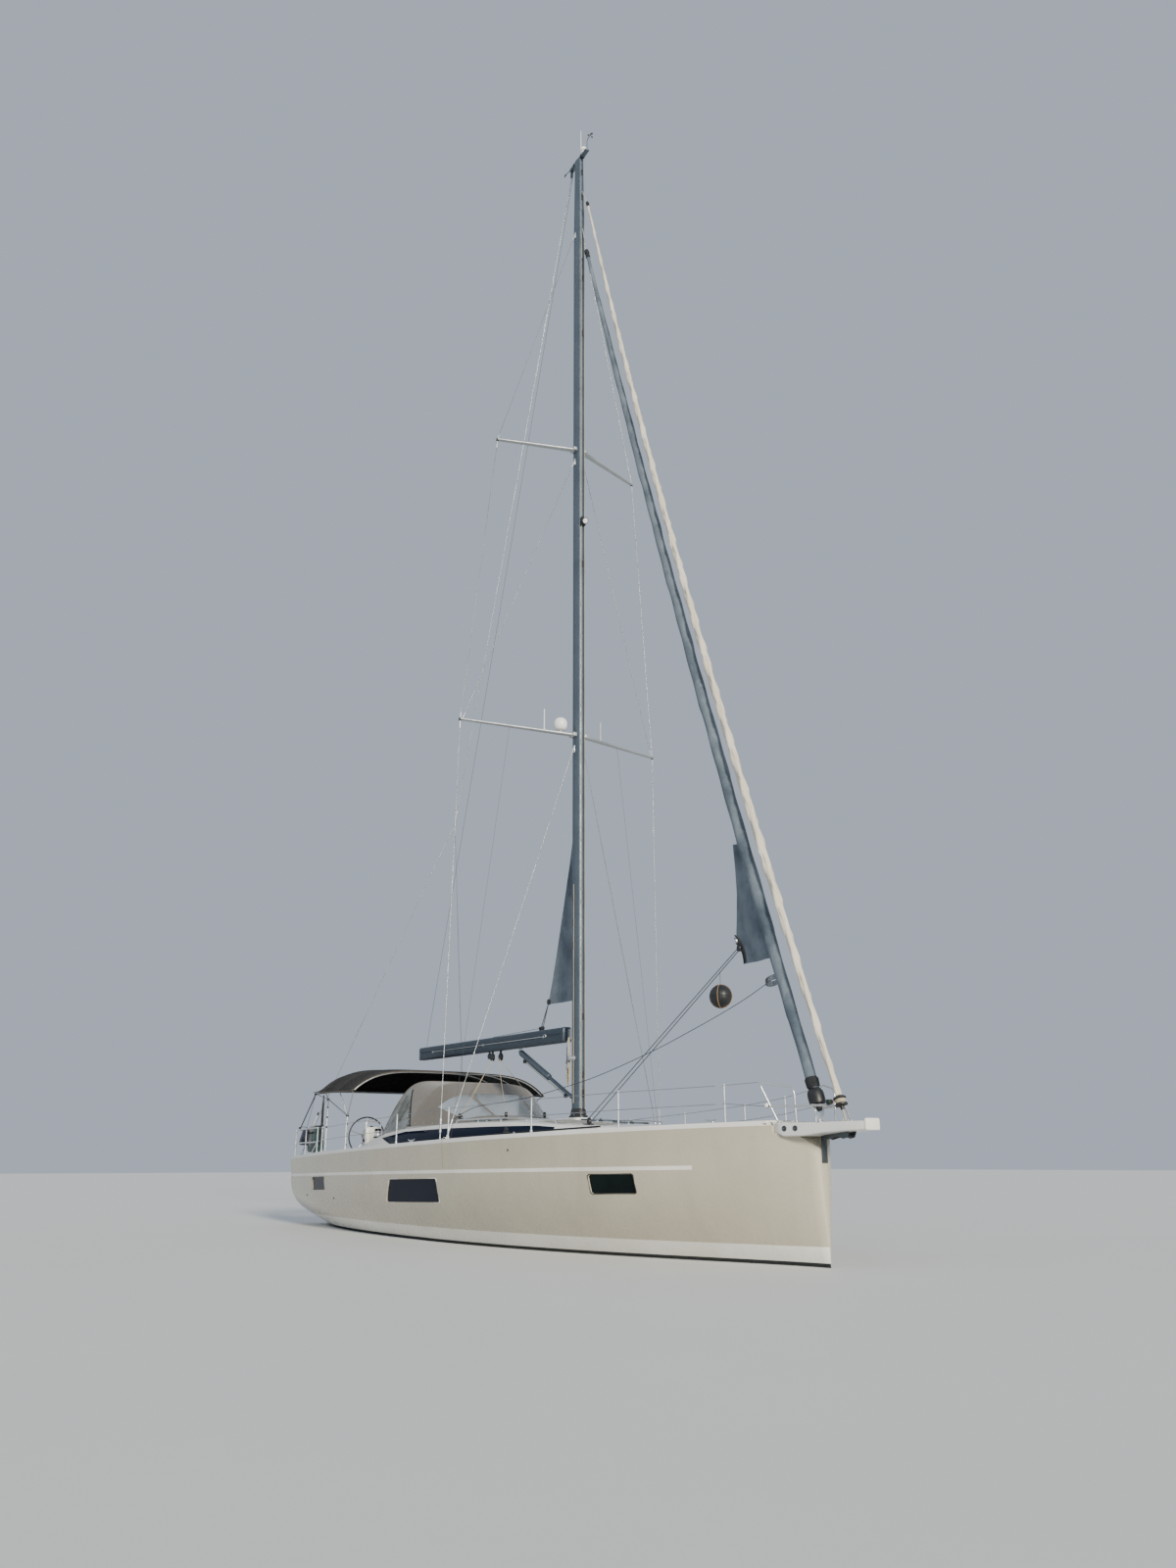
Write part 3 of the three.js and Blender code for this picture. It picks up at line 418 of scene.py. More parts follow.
    def _creased(self, n: Nodes, colour: bpy.types.NodeSocket) -> bpy.types.NodeSocket:
        """Sailcloth: crisp creases, pale where the folds have rubbed.

        Args:
            n: Tree that it adds to.
            colour: Colour so far.

        Returns:
            The colour that shows.
        """
        folds = n.noise(1.0, 4.0, n.stretched((7.0, 7.0, 2.2)))
        fine = n.noise(26.0, 3.0)
        n.bump(folds, 0.02, 0.5)
        n.bump(fine, 0.002, 0.4)
        return n.mix(n.span(folds, 0.56, 0.66, (0.0, 0.55)), colour, rgba(self.second))


class Shades:
    """The finishes of this yacht, by what they are on."""

    TOPSIDES = Finish("topsides_paint", "gelcoat", "b8b19d", "afa894", 0.28, coat=0.5, grain=Grain.STREAKED)
    STRIPE = Finish("stripe_paint", "gelcoat", "eceae2", "dcd9ce", 0.3, coat=0.4, grain=Grain.STREAKED)
    BOTTOM = Finish("antifouling_paint", "antifouling", "1b1f22", "262b2b", 0.85, patch=4.0)
    WHITE = Finish("white_gelcoat", "deck", "e4e3df", "d8d8d4", 0.32, coat=0.4, grain=Grain.STREAKED)
    GRIP = Finish("deck_grip", "deck", "d6d5cf", "c3c2bb", 0.7, grain=Grain.DIMPLED)
    LINING = Finish("cabin_lining", "deck", "d9d2c2", "cfc7b5", 0.6)
    TEAK = Finish("teak", "deck", "a38f6f", "857354", 0.7, grain=Grain.WOOD, patch=3.0)
    CAULK = Finish("deck_caulk", "plastic", "17181a", "202123", 0.6)
    SPAR = Finish("anodised_spar", "spar", "66717a", "58626b", 0.42, 0.8, grain=Grain.BRUSHED)
    SPREADER = Finish("anodised_spreader", "spar", "b6babb", "a0a5a8", 0.42, 0.55, grain=Grain.BRUSHED)
    BOOM = Finish("anodised_boom", "spar", "4d5862", "434d57", 0.45, 0.75, grain=Grain.BRUSHED)
    STEEL = Finish("polished_steel", "steel", "dcdedf", "c6c9cb", 0.33, 0.85, grain=Grain.BRUSHED)
    WIRE = Finish("stranded_wire", "steel", "b9bdc1", "7d8286", 0.35, 0.9, grain=Grain.LAID)
    BRONZE = Finish("bronze_casting", "bronze", "9a7440", "6f5530", 0.38, 1.0, patch=20.0)
    BLACK = Finish("black_fittings", "plastic", "16181a", "202325", 0.45, patch=6.0)
    NAVY_GLASS = Finish("navy_glazing", "glass", "060e20", "09152c", 0.1, gloss=0.07)
    PORT_GLASS = Finish("port_glazing", "glass", "090e10", "121c1c", 0.1, gloss=0.08)
    CLEAR = Finish("clear_vinyl", "glass", "dfe3e0", "e8ebe8", 0.08, clear=0.94, patch=2.0, gloss=0.3)
    SMOKED = Finish("crumpled_vinyl", "glass", "6d7271", "9fa3a0", 0.22, coat=0.5, clear=0.35, patch=5.0)
    CANVAS = Finish("black_canvas", "canvas", "0c0e11", "14171b", 0.88, sheen=0.06, grain=Grain.WOVEN)
    PIPING = Finish("canvas_piping", "canvas", "6a6156", "544d45", 0.7, grain=Grain.WOVEN)
    HOOD = Finish("taupe_canvas", "hood", "635f5a", "57534e", 0.9, sheen=0.3, grain=Grain.WOVEN)
    COVER = Finish("sail_cover_cloth", "sail", "3b4855", "6b7781", 0.85, sheen=0.2, grain=Grain.CREASED,
                   spread=0.3)
    SAIL = Finish("sailcloth", "pale_sail", "dcd6c6", "c5beac", 0.75, sheen=0.1, grain=Grain.CREASED)
    WEB = Finish("webbing", "plastic", "15171a", "26292c", 0.85, grain=Grain.WOVEN)
    CREAM_ROPE = Finish("cream_rope", "pale_sail", "cfc5ac", "8f866f", 0.85, grain=Grain.LAID)
    DARK_ROPE = Finish("dark_rope", "plastic", "22262b", "4a4f55", 0.85, grain=Grain.LAID)
    BLUE_ROPE = Finish("blue_rope", "plastic", "29405f", "c2c4c4", 0.85, grain=Grain.LAID)
    TEAL = Finish("teal_cloth", "canvas", "1e4144", "16292c", 0.9, sheen=0.3, grain=Grain.WOVEN)
    NAVY = Finish("navy_cloth", "canvas", "1c2740", "141b2c", 0.9, sheen=0.3, grain=Grain.WOVEN)
    DOME = Finish("radome_white", "dome", "f0f0ee", "e2e2df", 0.35, coat=0.3)
    LAMP = Finish("lamp_lens", "dome", "f4f4f0", "e9e9e2", 0.12, coat=1.0, glow=0.12)
    TAN = Finish("tan_trim", "canvas", "a88d68", "8f7553", 0.85, grain=Grain.WOVEN)
    ENGINE = Finish("engine_enamel", "engine", "4c5a60", "3d494e", 0.5, 0.2, patch=6.0)
    PLATE = Finish("dull_steel_plate", "steel", "5d6366", "484d50", 0.45, 0.9, grain=Grain.BRUSHED)
    RED = Finish("red_lens", "plastic", "8e1717", "7b1212", 0.2, coat=0.8)
    GREEN = Finish("green_lens", "plastic", "126b38", "0f5c2f", 0.2, coat=0.8)


# Mesh work


class Axis(Enum):
    """The axis that an outline is drawn along."""

    X = "x"
    Y = "y"
    Z = "z"


def place_mesh(name: str, mesh: bpy.types.Mesh, body: str, finishes: Sequence[Finish], angle: float) -> Obj:
    """Puts a finished mesh in the scene, dressed and riding on its body.

    Args:
        name: Name of the piece.
        mesh: Its mesh, in metres.
        body: CAD body it moves with, or an empty text for none.
        finishes: Finish of each material index.
        angle: Edges sharper than this many degrees stay crisp.

    Returns:
        The new object.
    """
    obj = bpy.data.objects.new(name, mesh)
    bpy.context.scene.collection.objects.link(obj)
    if not mesh.materials:
        for finish in finishes:
            mesh.materials.append(finish.material())
    mesh.shade_smooth()
    mesh.set_sharp_from_angle(angle=math.radians(angle))
    if body:
        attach(obj, body)
    LOG.info("made %s", name)
    return obj


class Shape:
    """A mesh in the making: parts are added, then it becomes a piece."""

    def __init__(self) -> None:
        """Starts with nothing."""
        self.bm = bmesh.new()

    def add(self, points: Iterable[Sequence[float]], faces: Iterable[Sequence[int]],
            tone: int = 0) -> "Shape":
        """Adds vertices and faces.

        Args:
            points: Places of the new vertices.
            faces: Faces that count from the first of them.
            tone: Material index of the faces.

        Returns:
            This shape.
        """
        verts = [self.bm.verts.new(p) for p in points]
        for face in faces:
            corners = [verts[i] for i in face]
            if len(set(corners)) > 2:
                made = self.bm.faces.new(corners)
                made.material_index = tone
        return self

    def loft(self, rings: Sequence[Sequence[Sequence[float]]], tone: int = 0, caps: bool = True,
             closed: bool = True, tones: Callable[[int, int], int] | None = None) -> "Shape":
        """Adds a skin through rings with the same number of points.

        Args:
            rings: Rings of points.
            tone: Material index.
            caps: Whether the ends are closed.
            closed: Whether each ring joins up.
            tones: Gives the material index from the ring and the place in it.

        Returns:
            This shape.
        """
        n = len(rings[0])
        verts = [[self.bm.verts.new(p) for p in ring] for ring in rings]
        for r in range(len(rings) - 1):
            for j in range(n if closed else n - 1):
                k = (j + 1) % n
                made = self.bm.faces.new((verts[r][j], verts[r][k], verts[r + 1][k], verts[r + 1][j]))
                made.material_index = tones(r, j) if tones else tone
        if caps:
            for ring in (verts[0][::-1], verts[-1]):
                self.bm.faces.new(ring).material_index = tone
        return self

    def box(self, low: Point, high: Point, bevel: float = 0.0, tone: int = 0,
            turn: Matrix | None = None) -> "Shape":
        """Adds a box with softened edges.

        Args:
            low: Lowest corner.
            high: Highest corner.
            bevel: Width of the softened edges.
            tone: Material index.
            turn: A transform of the finished box.

        Returns:
            This shape.
        """
        part = bmesh.new()
        bmesh.ops.create_cube(part, size=1.0)
        for v in part.verts:
            v.co = Vector([low[i] + (v.co[i] + 0.5) * (high[i] - low[i]) for i in range(3)])
        if bevel:
            bmesh.ops.bevel(part, geom=part.edges[:], offset=bevel, segments=3, profile=0.5, affect="EDGES")
        return self._take(part, tone, turn)

    def brick(self, middle: Pair, half: Pair, level: Pair, bevel: float = 0.0, tone: int = 0) -> "Shape":
        """Adds a box round a middle in plan.

        Args:
            middle: Its middle, along and across.
            half: Half its size, along and across.
            level: Its underside and its top.
            bevel: Width of the softened edges.
            tone: Material index.

        Returns:
            This shape.
        """
        (x, y), (a, b) = middle, half
        return self.box((x - a, y - b, level[0]), (x + a, y + b, level[1]), bevel, tone)

    def side_box(self, sign: int, low: Point, high: Point, bevel: float = 0.0, tone: int = 0) -> "Shape":
        """Adds a box whose place is given for port.

        Args:
            sign: -1 to set it at starboard, 1 at port.
            low: Lowest corner.
            high: Highest corner.
            bevel: Width of the softened edges.
            tone: Material index.

        Returns:
            This shape.
        """
        near, far = sorted((sign * low[1], sign * high[1]))
        return self.box((low[0], near, low[2]), (high[0], far, high[2]), bevel, tone)

    def prism(self, outline: Sequence[Pair], low: float, high: float, axis: Axis = Axis.Z,
              bevel: float = 0.0, tone: int = 0, turn: Matrix | None = None) -> "Shape":
        """Adds an outline drawn out along an axis, with softened edges.

        Args:
            outline: Pairs: x and y for axis Z, x and z for axis Y, y and z for axis X.
            low: Start along the axis.
            high: End along the axis.
            axis: Axis that it is drawn along.
            bevel: Width of the softened edges.
            tone: Material index.
            turn: A transform of the finished prism.

        Returns:
            This shape.
        """
        order = {
            Axis.X: lambda a, b, c: (c, a, b),
            Axis.Y: lambda a, b, c: (a, c, b),
            Axis.Z: lambda a, b, c: (a, b, c),
        }[axis]
        part = bmesh.new()
        rings = [[part.verts.new(order(a, b, c)) for a, b in outline] for c in (low, high)]
        n = len(outline)
        part.faces.new(rings[0][::-1])
        part.faces.new(rings[1])
        for i in range(n):
            k = (i + 1) % n
            part.faces.new((rings[0][i], rings[0][k], rings[1][k], rings[1][i]))
        bmesh.ops.recalc_face_normals(part, faces=part.faces)
        if bevel:
            sharp = [e for e in part.edges if e.calc_face_angle(0.0) > 0.5]
            bmesh.ops.bevel(part, geom=sharp, offset=bevel, segments=2, profile=0.5, affect="EDGES")
        return self._take(part, tone, turn)

    def turned(self, profile: Sequence[Pair], start: Sequence[float], along: Sequence[float],
               sides: int = 24, tone: int = 0) -> "Shape":
        """Adds a shape turned round an axis, as on a lathe.

        Args:
            profile: Pairs of distance along the axis and radius.
            start: Where the axis begins.
            along: Direction of the axis.
            sides: Faces round it.
            tone: Material index.

        Returns:
            This shape.
        """
        axis = Vector(along).normalized()
        side = axis.orthogonal().normalized()
        other = axis.cross(side)
        rings = [[Vector(start) + axis * d + (side * math.cos(i * TAU / sides)
                                              + other * math.sin(i * TAU / sides)) * max(r, 1e-4)
                  for i in range(sides)] for d, r in profile]
        return self.loft(rings, tone)

    def drum(self, halves: Pair, radii: Pair, middle: Sequence[float], along: Sequence[float],
             sides: int = 24, tone: int = 0) -> "Shape":
        """Adds a drum with chamfered rims, as a block's sheave or a knuckle has.

        Args:
            halves: Half its length, and half the length between the chamfers.
            radii: Radius at its ends and between the chamfers.
            middle: Its middle.
            along: Direction of its axis.
            sides: Faces round it.
            tone: Material index.

        Returns:
            This shape.
        """
        (a, b), (small, large) = halves, radii
        return self.turned([(-a, small), (-b, large), (b, large), (a, small)], middle, along, sides, tone)

    def slab(self, x: Pair, half: float, radius: float, levels: Iterable[Pair], tone: int = 0,
             base: float = 0.0, y: float = 0.0) -> "Shape":
        """Adds a block that is a rounded rectangle from above.

        Args:
            x: Aft and fore edge.
            half: Half its width.
            radius: Radius of its corners.
            levels: For each level, how far its edge is drawn in and how high it is.
            tone: Material index.
            base: Height that the levels count from.
            y: Its middle across the yacht.

        Returns:
            This shape.
        """
        return self.loft([plan_ring((x[0] + g, x[1] - g), half - g, radius, (base + z, base + z), y)
                          for g, z in levels], tone)

    def tube(self, path: Sequence[Sequence[float]], radius: float | Sequence[float], sides: int = 8,
             tone: int = 0) -> "Shape":
        """Adds a round tube along a path.

        Args:
            path: Points along its middle.
            radius: Its radius, or one for each point.
            sides: Faces round it.
            tone: Material index.

        Returns:
            This shape.
        """
        points = [Vector(p) for p in path]
        radii = [radius] * len(points) if isinstance(radius, (int, float)) else list(radius)
        steps = [(points[i + 1] - points[i]).normalized() for i in range(len(points) - 1)]
        side = steps[0].orthogonal().normalized()
        rings = []
        for i, p in enumerate(points):
            along = (steps[max(0, i - 1)] + steps[min(len(steps) - 1, i)]).normalized()
            side = (side - along * side.dot(along)).normalized()
            other = along.cross(side)
            rings.append([p + (side * math.cos(k * TAU / sides)
                               + other * math.sin(k * TAU / sides)) * radii[i] for k in range(sides)])
        return self.loft(rings, tone)

    def cloth(self, grid: Sequence[Sequence[Sequence[float]]], thick: float, tone: int = 0) -> "Shape":
        """Adds a sheet with a thickness, given by rows of points.

        Args:
            grid: Rows with the same number of points.
            thick: How thick it is.
            tone: Material index.

        Returns:
            This shape.
        """
        part = bmesh.new()
        verts = [[part.verts.new(p) for p in row] for row in grid]
        for a, b in zip(verts, verts[1:]):
            for j in range(len(a) - 1):
                part.faces.new((a[j], a[j + 1], b[j + 1], b[j]))
        bmesh.ops.solidify(part, geom=part.faces[:], thickness=thick)
        return self._take(part, tone, None)

    def _take(self, part: bmesh.types.BMesh, tone: int, turn: Matrix | None) -> "Shape":
        """Moves another mesh in, with its material index and transform.

        Args:
            part: Mesh to move in.
            tone: Material index.
            turn: Its transform, if any.

        Returns:
            This shape.
        """
        if turn is not None:
            bmesh.ops.transform(part, matrix=turn, verts=part.verts)
        for face in part.faces:
            face.material_index = tone
        bmesh.ops.recalc_face_normals(part, faces=part.faces)
        index = {v: i for i, v in enumerate(part.verts)}
        self.add([v.co for v in part.verts], [[index[v] for v in f.verts] for f in part.faces], tone)
        part.free()
        return self

    def mesh(self, name: str) -> bpy.types.Mesh:
        """Turns what was added into a mesh with faces outward.

        Args:
            name: Name of the mesh.

        Returns:
            The mesh.
        """
        bmesh.ops.recalc_face_normals(self.bm, faces=self.bm.faces)
        made = bpy.data.meshes.new(name)
        self.bm.to_mesh(made)
        self.bm.free()
        return made

    def piece(self, name: str, finishes: Finish | Sequence[Finish], body: str = "hull",
              angle: float = 35.0) -> Obj:
        """Turns what was added into a piece.

        Args:
            name: Name of the piece.
            finishes: Its finish, or one for each material index.
            body: CAD body it moves with.
            angle: Edges sharper than this many degrees stay crisp.

        Returns:
            The new object.
        """
        row = [finishes] if isinstance(finishes, Finish) else list(finishes)
        return place_mesh(name, self.mesh(name), body, row, angle)


def cut(solid: bpy.types.Mesh, cutters: Sequence[Shape], name: str, finishes: Sequence[Finish],
        joins: Sequence[Shape] = ()) -> bpy.types.Mesh:
    """Joins shapes to a closed mesh and then cuts others from it.

    Args:
        solid: Mesh to cut.
        cutters: Closed shapes to take away, whose tones show on the cut faces.
        name: Name of the result.
        finishes: Finish of each material index of the solid and of the cutters.
        joins: Closed shapes that are joined on first.

    Returns:
        The mesh that is left.
    """
    obj = bpy.data.objects.new(name, solid)
    bpy.context.scene.collection.objects.link(obj)
    tools = []
    for finish in finishes:
        solid.materials.append(finish.material())
    for i, cutter in enumerate((*joins, *cutters)):
        tool = bpy.data.objects.new(f"{name}_tool_{i}", cutter.mesh(f"{name}_tool_{i}"))
        for finish in finishes:
            tool.data.materials.append(finish.material())
        bpy.context.scene.collection.objects.link(tool)
        change = obj.modifiers.new("cut", "BOOLEAN")
        change.operation = "UNION" if i < len(joins) else "DIFFERENCE"
        change.solver = "MANIFOLD"
        change.object = tool
        tools.append(tool)
    bpy.context.view_layer.update()
    shown = obj.evaluated_get(bpy.context.evaluated_depsgraph_get())
    made = bpy.data.meshes.new_from_object(shown)
    made.name = name
    for extra in (*tools, obj):
        bpy.data.objects.remove(extra)
    return made


def rounded(path: Sequence[Sequence[float]], radius: float, steps: int = 4) -> list[Vector]:
    """A path whose corners are arcs.

    Args:
        path: Corner points.
        radius: How far before and after a corner its arc starts.
        steps: Points in each arc.

    Returns:
        The points of the smooth path.
    """
    points = [Vector(p) for p in path]
    out = [points[0]]
    for a, b, c in zip(points, points[1:], points[2:]):
        reach = min(radius, (b - a).length * 0.45, (c - b).length * 0.45)
        start, end = b + (a - b).normalized() * reach, b + (c - b).normalized() * reach
        for i in range(steps + 1):
            t = i / steps
            out.append(start * (1 - t) ** 2 + b * 2 * t * (1 - t) + end * t**2)
    return out + [points[-1]]


def smooth_path(path: Sequence[Sequence[float]], steps: int = 8) -> list[Vector]:
    """A flowing curve through points.

    Args:
        path: Points that it passes.
        steps: New points for each stretch.

    Returns:
        The points of the curve.
    """
    p = [Vector(q) for q in path]
    p = [p[0] * 2 - p[1], *p, p[-1] * 2 - p[-2]]
    out = []
    for a, b, c, d in zip(p, p[1:], p[2:], p[3:]):
        for i in range(steps):
            t = i / steps
            square, cube = (a * 2 - b * 5 + c * 4 - d) * t**2, (b * 3 - a - c * 3 + d) * t**3
            out.append(0.5 * (b * 2 + (c - a) * t + square + cube))
    return out + [p[-2]]


def plan_ring(x: Pair, half: float, radius: float, z: Pair, y: float = 0.0) -> list[Point]:
    """A rounded rectangle seen from above, on a plane that may slope along the yacht.

    Args:
        x: Aft and fore edge.
        half: Half its width.
        radius: Radius of its corners.
        z: Height at the aft and at the fore edge.
        y: Its middle across the yacht.

    Returns:
        The points.
    """
    (x0, x1), (z0, z1) = x, z
    out = []
    for cx, cy, turn in ((x1 - radius, half - radius, 0), (x0 + radius, half - radius, 1),
                         (x0 + radius, radius - half, 2), (x1 - radius, radius - half, 3)):
        for i in range(5):
            a = (turn + i / 4) * math.pi / 2
            px = cx + radius * math.cos(a)
            out.append((px, y + cy + radius * math.sin(a), z0 + (z1 - z0) * (px - x0) / (x1 - x0)))
    return out


def around(count: int, last: int = 0) -> list[float]:
    """Even angles of a full turn, with 1 as last also the one that closes it."""
    return [i / count * TAU for i in range(count + last)]


def eased(steps: int) -> list[float]:
    """Values from -1 to 1 that lie closer together towards the ends."""
    return [math.sin(math.pi / 2 * (i / steps - 1)) for i in range(2 * steps + 1)]


def above(height: float) -> Vector:
    """A step straight up."""
    return Vector((0, 0, height))


def mixed(rows: Sequence[Sequence[float]], at: float) -> list[float]:
    """A row of a table between its rows, by the value in the first column.

    Args:
        rows: Rows in rising order of their first number.
        at: Value wanted in the first column.

    Returns:
        The numbers of the other columns.
    """
    i = 0
    while i < len(rows) - 2 and at > rows[i + 1][0]:
        i += 1
    share = (at - rows[i][0]) / (rows[i + 1][0] - rows[i][0])
    return [a + (b - a) * share for a, b in zip(rows[i][1:], rows[i + 1][1:])]


# Hull


@dataclass
class Lines:
    """The lines of the hull and the deck edge."""

    stem: float = 7.42
    transom: float = -7.35
    half_beam: float = 2.5
    widest: float = -1.5
    canoe_draft: float = 0.63
    deck_thick: float = 0.04
    camber: float = 0.07
    stem_round: float = 0.09
    well_half: float = 1.4003

    def sheer(self, x: float) -> float:
        """Height of the hull's top edge."""
        return 1.515 + 0.0255 * x

    def cove(self, x: float) -> float:
        """Height of the knuckle under the topsides' upper strake."""
        return 1.12 + 0.0135 * x

    def deck_half(self, x: float) -> float:
        """Half width at the deck edge.

        Args:
            x: Place along the hull.

        Returns:
            The half width.
        """
        if x < self.widest:
            return self.half_beam - 0.37 * ((self.widest - x) / 5.85) ** 2
        return self.half_beam * (1 - ((x - self.widest) / 9.0) ** 2.6) ** 0.85

    def cove_half(self, x: float) -> float:
        """Half width at the knuckle."""
        return self.deck_half(x) * (1 - 0.015 - 0.05 * (max(0.0, x) / self.stem) ** 2)

    def keel(self, x: float) -> float:
        """Height of the hull's bottom on the centreline."""
        reach = 7.25 if x > 0.2 else 7.6
        return -self.canoe_draft * (1 - abs((x - 0.2) / reach) ** 2.2)

    def fullness(self, x: float) -> float:
        """Power of the section's curve: 2 is an ellipse, more is fuller."""
        return 2.1 - 0.5 * x / 7.35 if x < 0 else 2.1 - 0.6 * x / self.stem

    def half(self, x: float, z: float) -> float:
        """Half width at a height.

        Args:
            x: Place along the hull.
            z: Height.

        Returns:
            The half width, with the stem rounded off.
        """
        cove, bottom = self.cove(x), self.keel(x)
        if z >= cove:
            share = (z - cove) / (self.sheer(x) - cove)
            width = self.cove_half(x) + (self.deck_half(x) - self.cove_half(x)) * share
        else:
            power = self.fullness(x)
            down = min(1.0, (cove - z) / (cove - bottom))
            width = self.cove_half(x) * (1 - down**power) ** (1 / power)
        ahead = max(0.0, (x - self.stem + self.stem_round) / self.stem_round)
        return width * math.sqrt(max(0.0, 1 - (ahead * 0.98) ** 2))

    def deck_top(self, x: float, y: float) -> float:
        """Height of the deck's surface.

        Args:
            x: Place along the hull.
            y: Place across it.

        Returns:
            The height.
        """
        across = min(1.0, abs(y) / self.deck_half(x))
        crown = self.camber * self.deck_half(x) / self.half_beam * (1 - across**2)
        return self.sheer(x) + self.deck_thick + crown

    def stations(self) -> list[float]:
        """Places of the sections, evenly spaced, with more at the rounded stem.

        Returns:
            The places, from the stern forward.
        """
        even = [self.transom + (self.stem - self.stem_round - self.transom) * i / 64 for i in range(65)]
        nose = [self.stem - self.stem_round * (1 - s) for s in (0.3, 0.55, 0.75, 0.9, 1.0)]
        return sorted({round(x, 5) for x in (*even, *nose, 6.0)})


LINES = Lines()
DOOR_HALF: float = 0.33


@dataclass
class Port:
    """One row of the table of windows in the topsides."""

    name: str
    outline: tuple[Pair, ...]
    trim: Finish
    pane: Finish


@dataclass
class Hull:
    """The hull's skin, its stripes and windows, with the notch for the bowsprit cut at the stem."""

    boot_top: float = 0.24
    boot_foot: float = 0.05
    stripe: float = 0.05
    stripe_end: float = 6.0
    side_faces: int = 11
    bilge_faces: int = 14

    def heights(self, x: float) -> list[float]:
        """Heights of a section's rows, from the deck edge down to the waterline.

        Args:
            x: Place along the hull.

        Returns:
            The heights.
        """
        cove, under = LINES.cove(x), LINES.cove(x) - self.stripe
        side = [under + (self.boot_top - under) * i / 6 for i in range(1, 6)]
        return [LINES.sheer(x), (LINES.sheer(x) + cove) / 2, cove, under, *side, self.boot_top, 0.15,
                self.boot_foot]

    def section(self, x: float) -> list[Point]:
        """Points of a section, from the port deck edge round the keel to starboard.

        Args:
            x: Place along the hull.

        Returns:
            The points.
        """
        rows = self.heights(x)
        bottom, steps = LINES.keel(x), self.bilge_faces
        for i in range(1, steps):
            turn = i / steps * math.pi / 2
            rows.append(self.boot_foot - (self.boot_foot - bottom) * math.sin(turn) ** 1.6)
        port = [(x, LINES.half(x, z), z) for z in rows]
        return [*port, (x, 0.0, bottom), *[(a, -b, c) for a, b, c in reversed(port)]]

    def tone(self, ring: int, place: int) -> int:
        """Material index of a face of the skin: 0 paint, 1 stripe, 2 bottom paint, 3 cut faces.

        Args:
            ring: Section that the face starts at.
            place: Its place in the section.

        Returns:
            The index.
        """
        last = 2 * (self.side_faces + self.bilge_faces)
        row = min(place, last - 1 - place)
        if place >= last:
            return 3
        if row == 2 and self._xs[ring] < self.stripe_end:
            return 1
        if row in (9, 10):
            return 1
        return 2 if row > 10 else 0

    def patch(self, outline: Sequence[Pair], sign: int, outer: float, inner: float) -> Shape:
        """A solid that follows the skin under an outline.

        Args:
            outline: Pairs of x and z.
            sign: -1 for starboard, 1 for port.
            outer: How far outside the skin its outer face is.
            inner: How far outside the skin its inner face is.

        Returns:
            The solid, in a new shape.
        """
        fine = []
        for (x0, z0), (x1, z1) in zip(outline, (*outline[1:], outline[0])):
            steps = max(1, round(math.hypot(x1 - x0, z1 - z0) / 0.12))
            fine += [(x0 + (x1 - x0) * i / steps, z0 + (z1 - z0) * i / steps) for i in range(steps)]
        rings = [[(x, sign * (LINES.half(x, z) + depth), z) for x, z in fine] for depth in (inner, outer)]
        return Shape().loft(rings)

    def ports(self) -> list[Port]:
        """The table of windows in the topsides.

        Returns:
            Its rows.
        """
        return [Port("aft", ((-5.33, 0.755), (-5.29, 0.735), (-4.47, 0.755), (-4.45, 0.775), (-4.47, 0.965),
                             (-4.5, 0.98), (-5.28, 0.965), (-5.33, 0.94)), Shades.BLACK, Shades.NAVY_GLASS),
                Port("middle", ((-1.12, 0.62), (-1.06, 0.6), (0.86, 0.64), (0.9, 0.66), (0.9, 0.98),
                                (0.87, 1.0), (-0.84, 0.975), (-0.9, 0.955)), Shades.STRIPE,
                     Shades.NAVY_GLASS), Port("fore", ((4.44, 0.85), (4.47, 0.83), (5.13, 0.845),
                                                       (5.16, 0.865), (5.16, 1.07), (5.13, 1.09),
                                                       (4.47, 1.08), (4.44, 1.06)), Shades.BLACK,
                                              Shades.PORT_GLASS),]

    def build_skin(self) -> Obj:
        """Makes the skin with its recesses cut.

        Returns:
            The piece.
        """
        self._xs = LINES.stations()
        skin = Shape().loft([self.section(x) for x in self._xs], tones=self.tone).mesh("hull_skin")
        high, well = CLEAR_HIGH, LINES.well_half
        notch = smooth_path([(6.9797, 0, 1.6), (7.07, 0, 1.598), (7.16, 0, 1.585), (7.25, 0, 1.55),
                             (7.33, 0, 1.49), (7.385, 0, 1.43), (7.44, 0, 1.36)], 3)
        cutters = [
            Shape().box((-6.9503, -well, 0.8997), (-2.4397, well, high), 0.0, 4),
            Shape().box((-7.295, -1.4, 0.62), (-6.93, 1.4, high), 0.0, 4),
            Shape().box((-7.45, -1.4, 0.3), (-7.285, 1.4, high), 0.0, 4),
            Shape().box((-2.35, -1.15, -0.15), (2.7, 1.15, high), 0.0, 3),
            Shape().prism([(p.x, p.z) for p in notch] + [(7.44, high), (6.9797, high)], -1.0, 1.0, Axis.Y),
            *[self.patch(port.outline, sign, 0.2, -0.03) for port in self.ports() for _, sign in SIDES],
        ]
        finishes = [Shades.TOPSIDES, Shades.STRIPE, Shades.BOTTOM, Shades.LINING, Shades.WHITE]
        made = cut(skin, cutters, "hull_skin", finishes)
        skin_piece = place_mesh("hull_skin", made, "hull", finishes, 28.0)
        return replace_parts(skin_piece, "hull")

    def build_ports(self) -> None:
        """Makes the panes and frames of the windows in the topsides."""
        for port in self.ports():
            for side, sign in SIDES:
                self.patch(port.outline, sign, -0.017, -0.029).piece(f"hull_pane_{port.name}_{side}",
                                                                     port.pane)
                self._frame(port, sign).piece(f"hull_frame_{port.name}_{side}", port.trim)

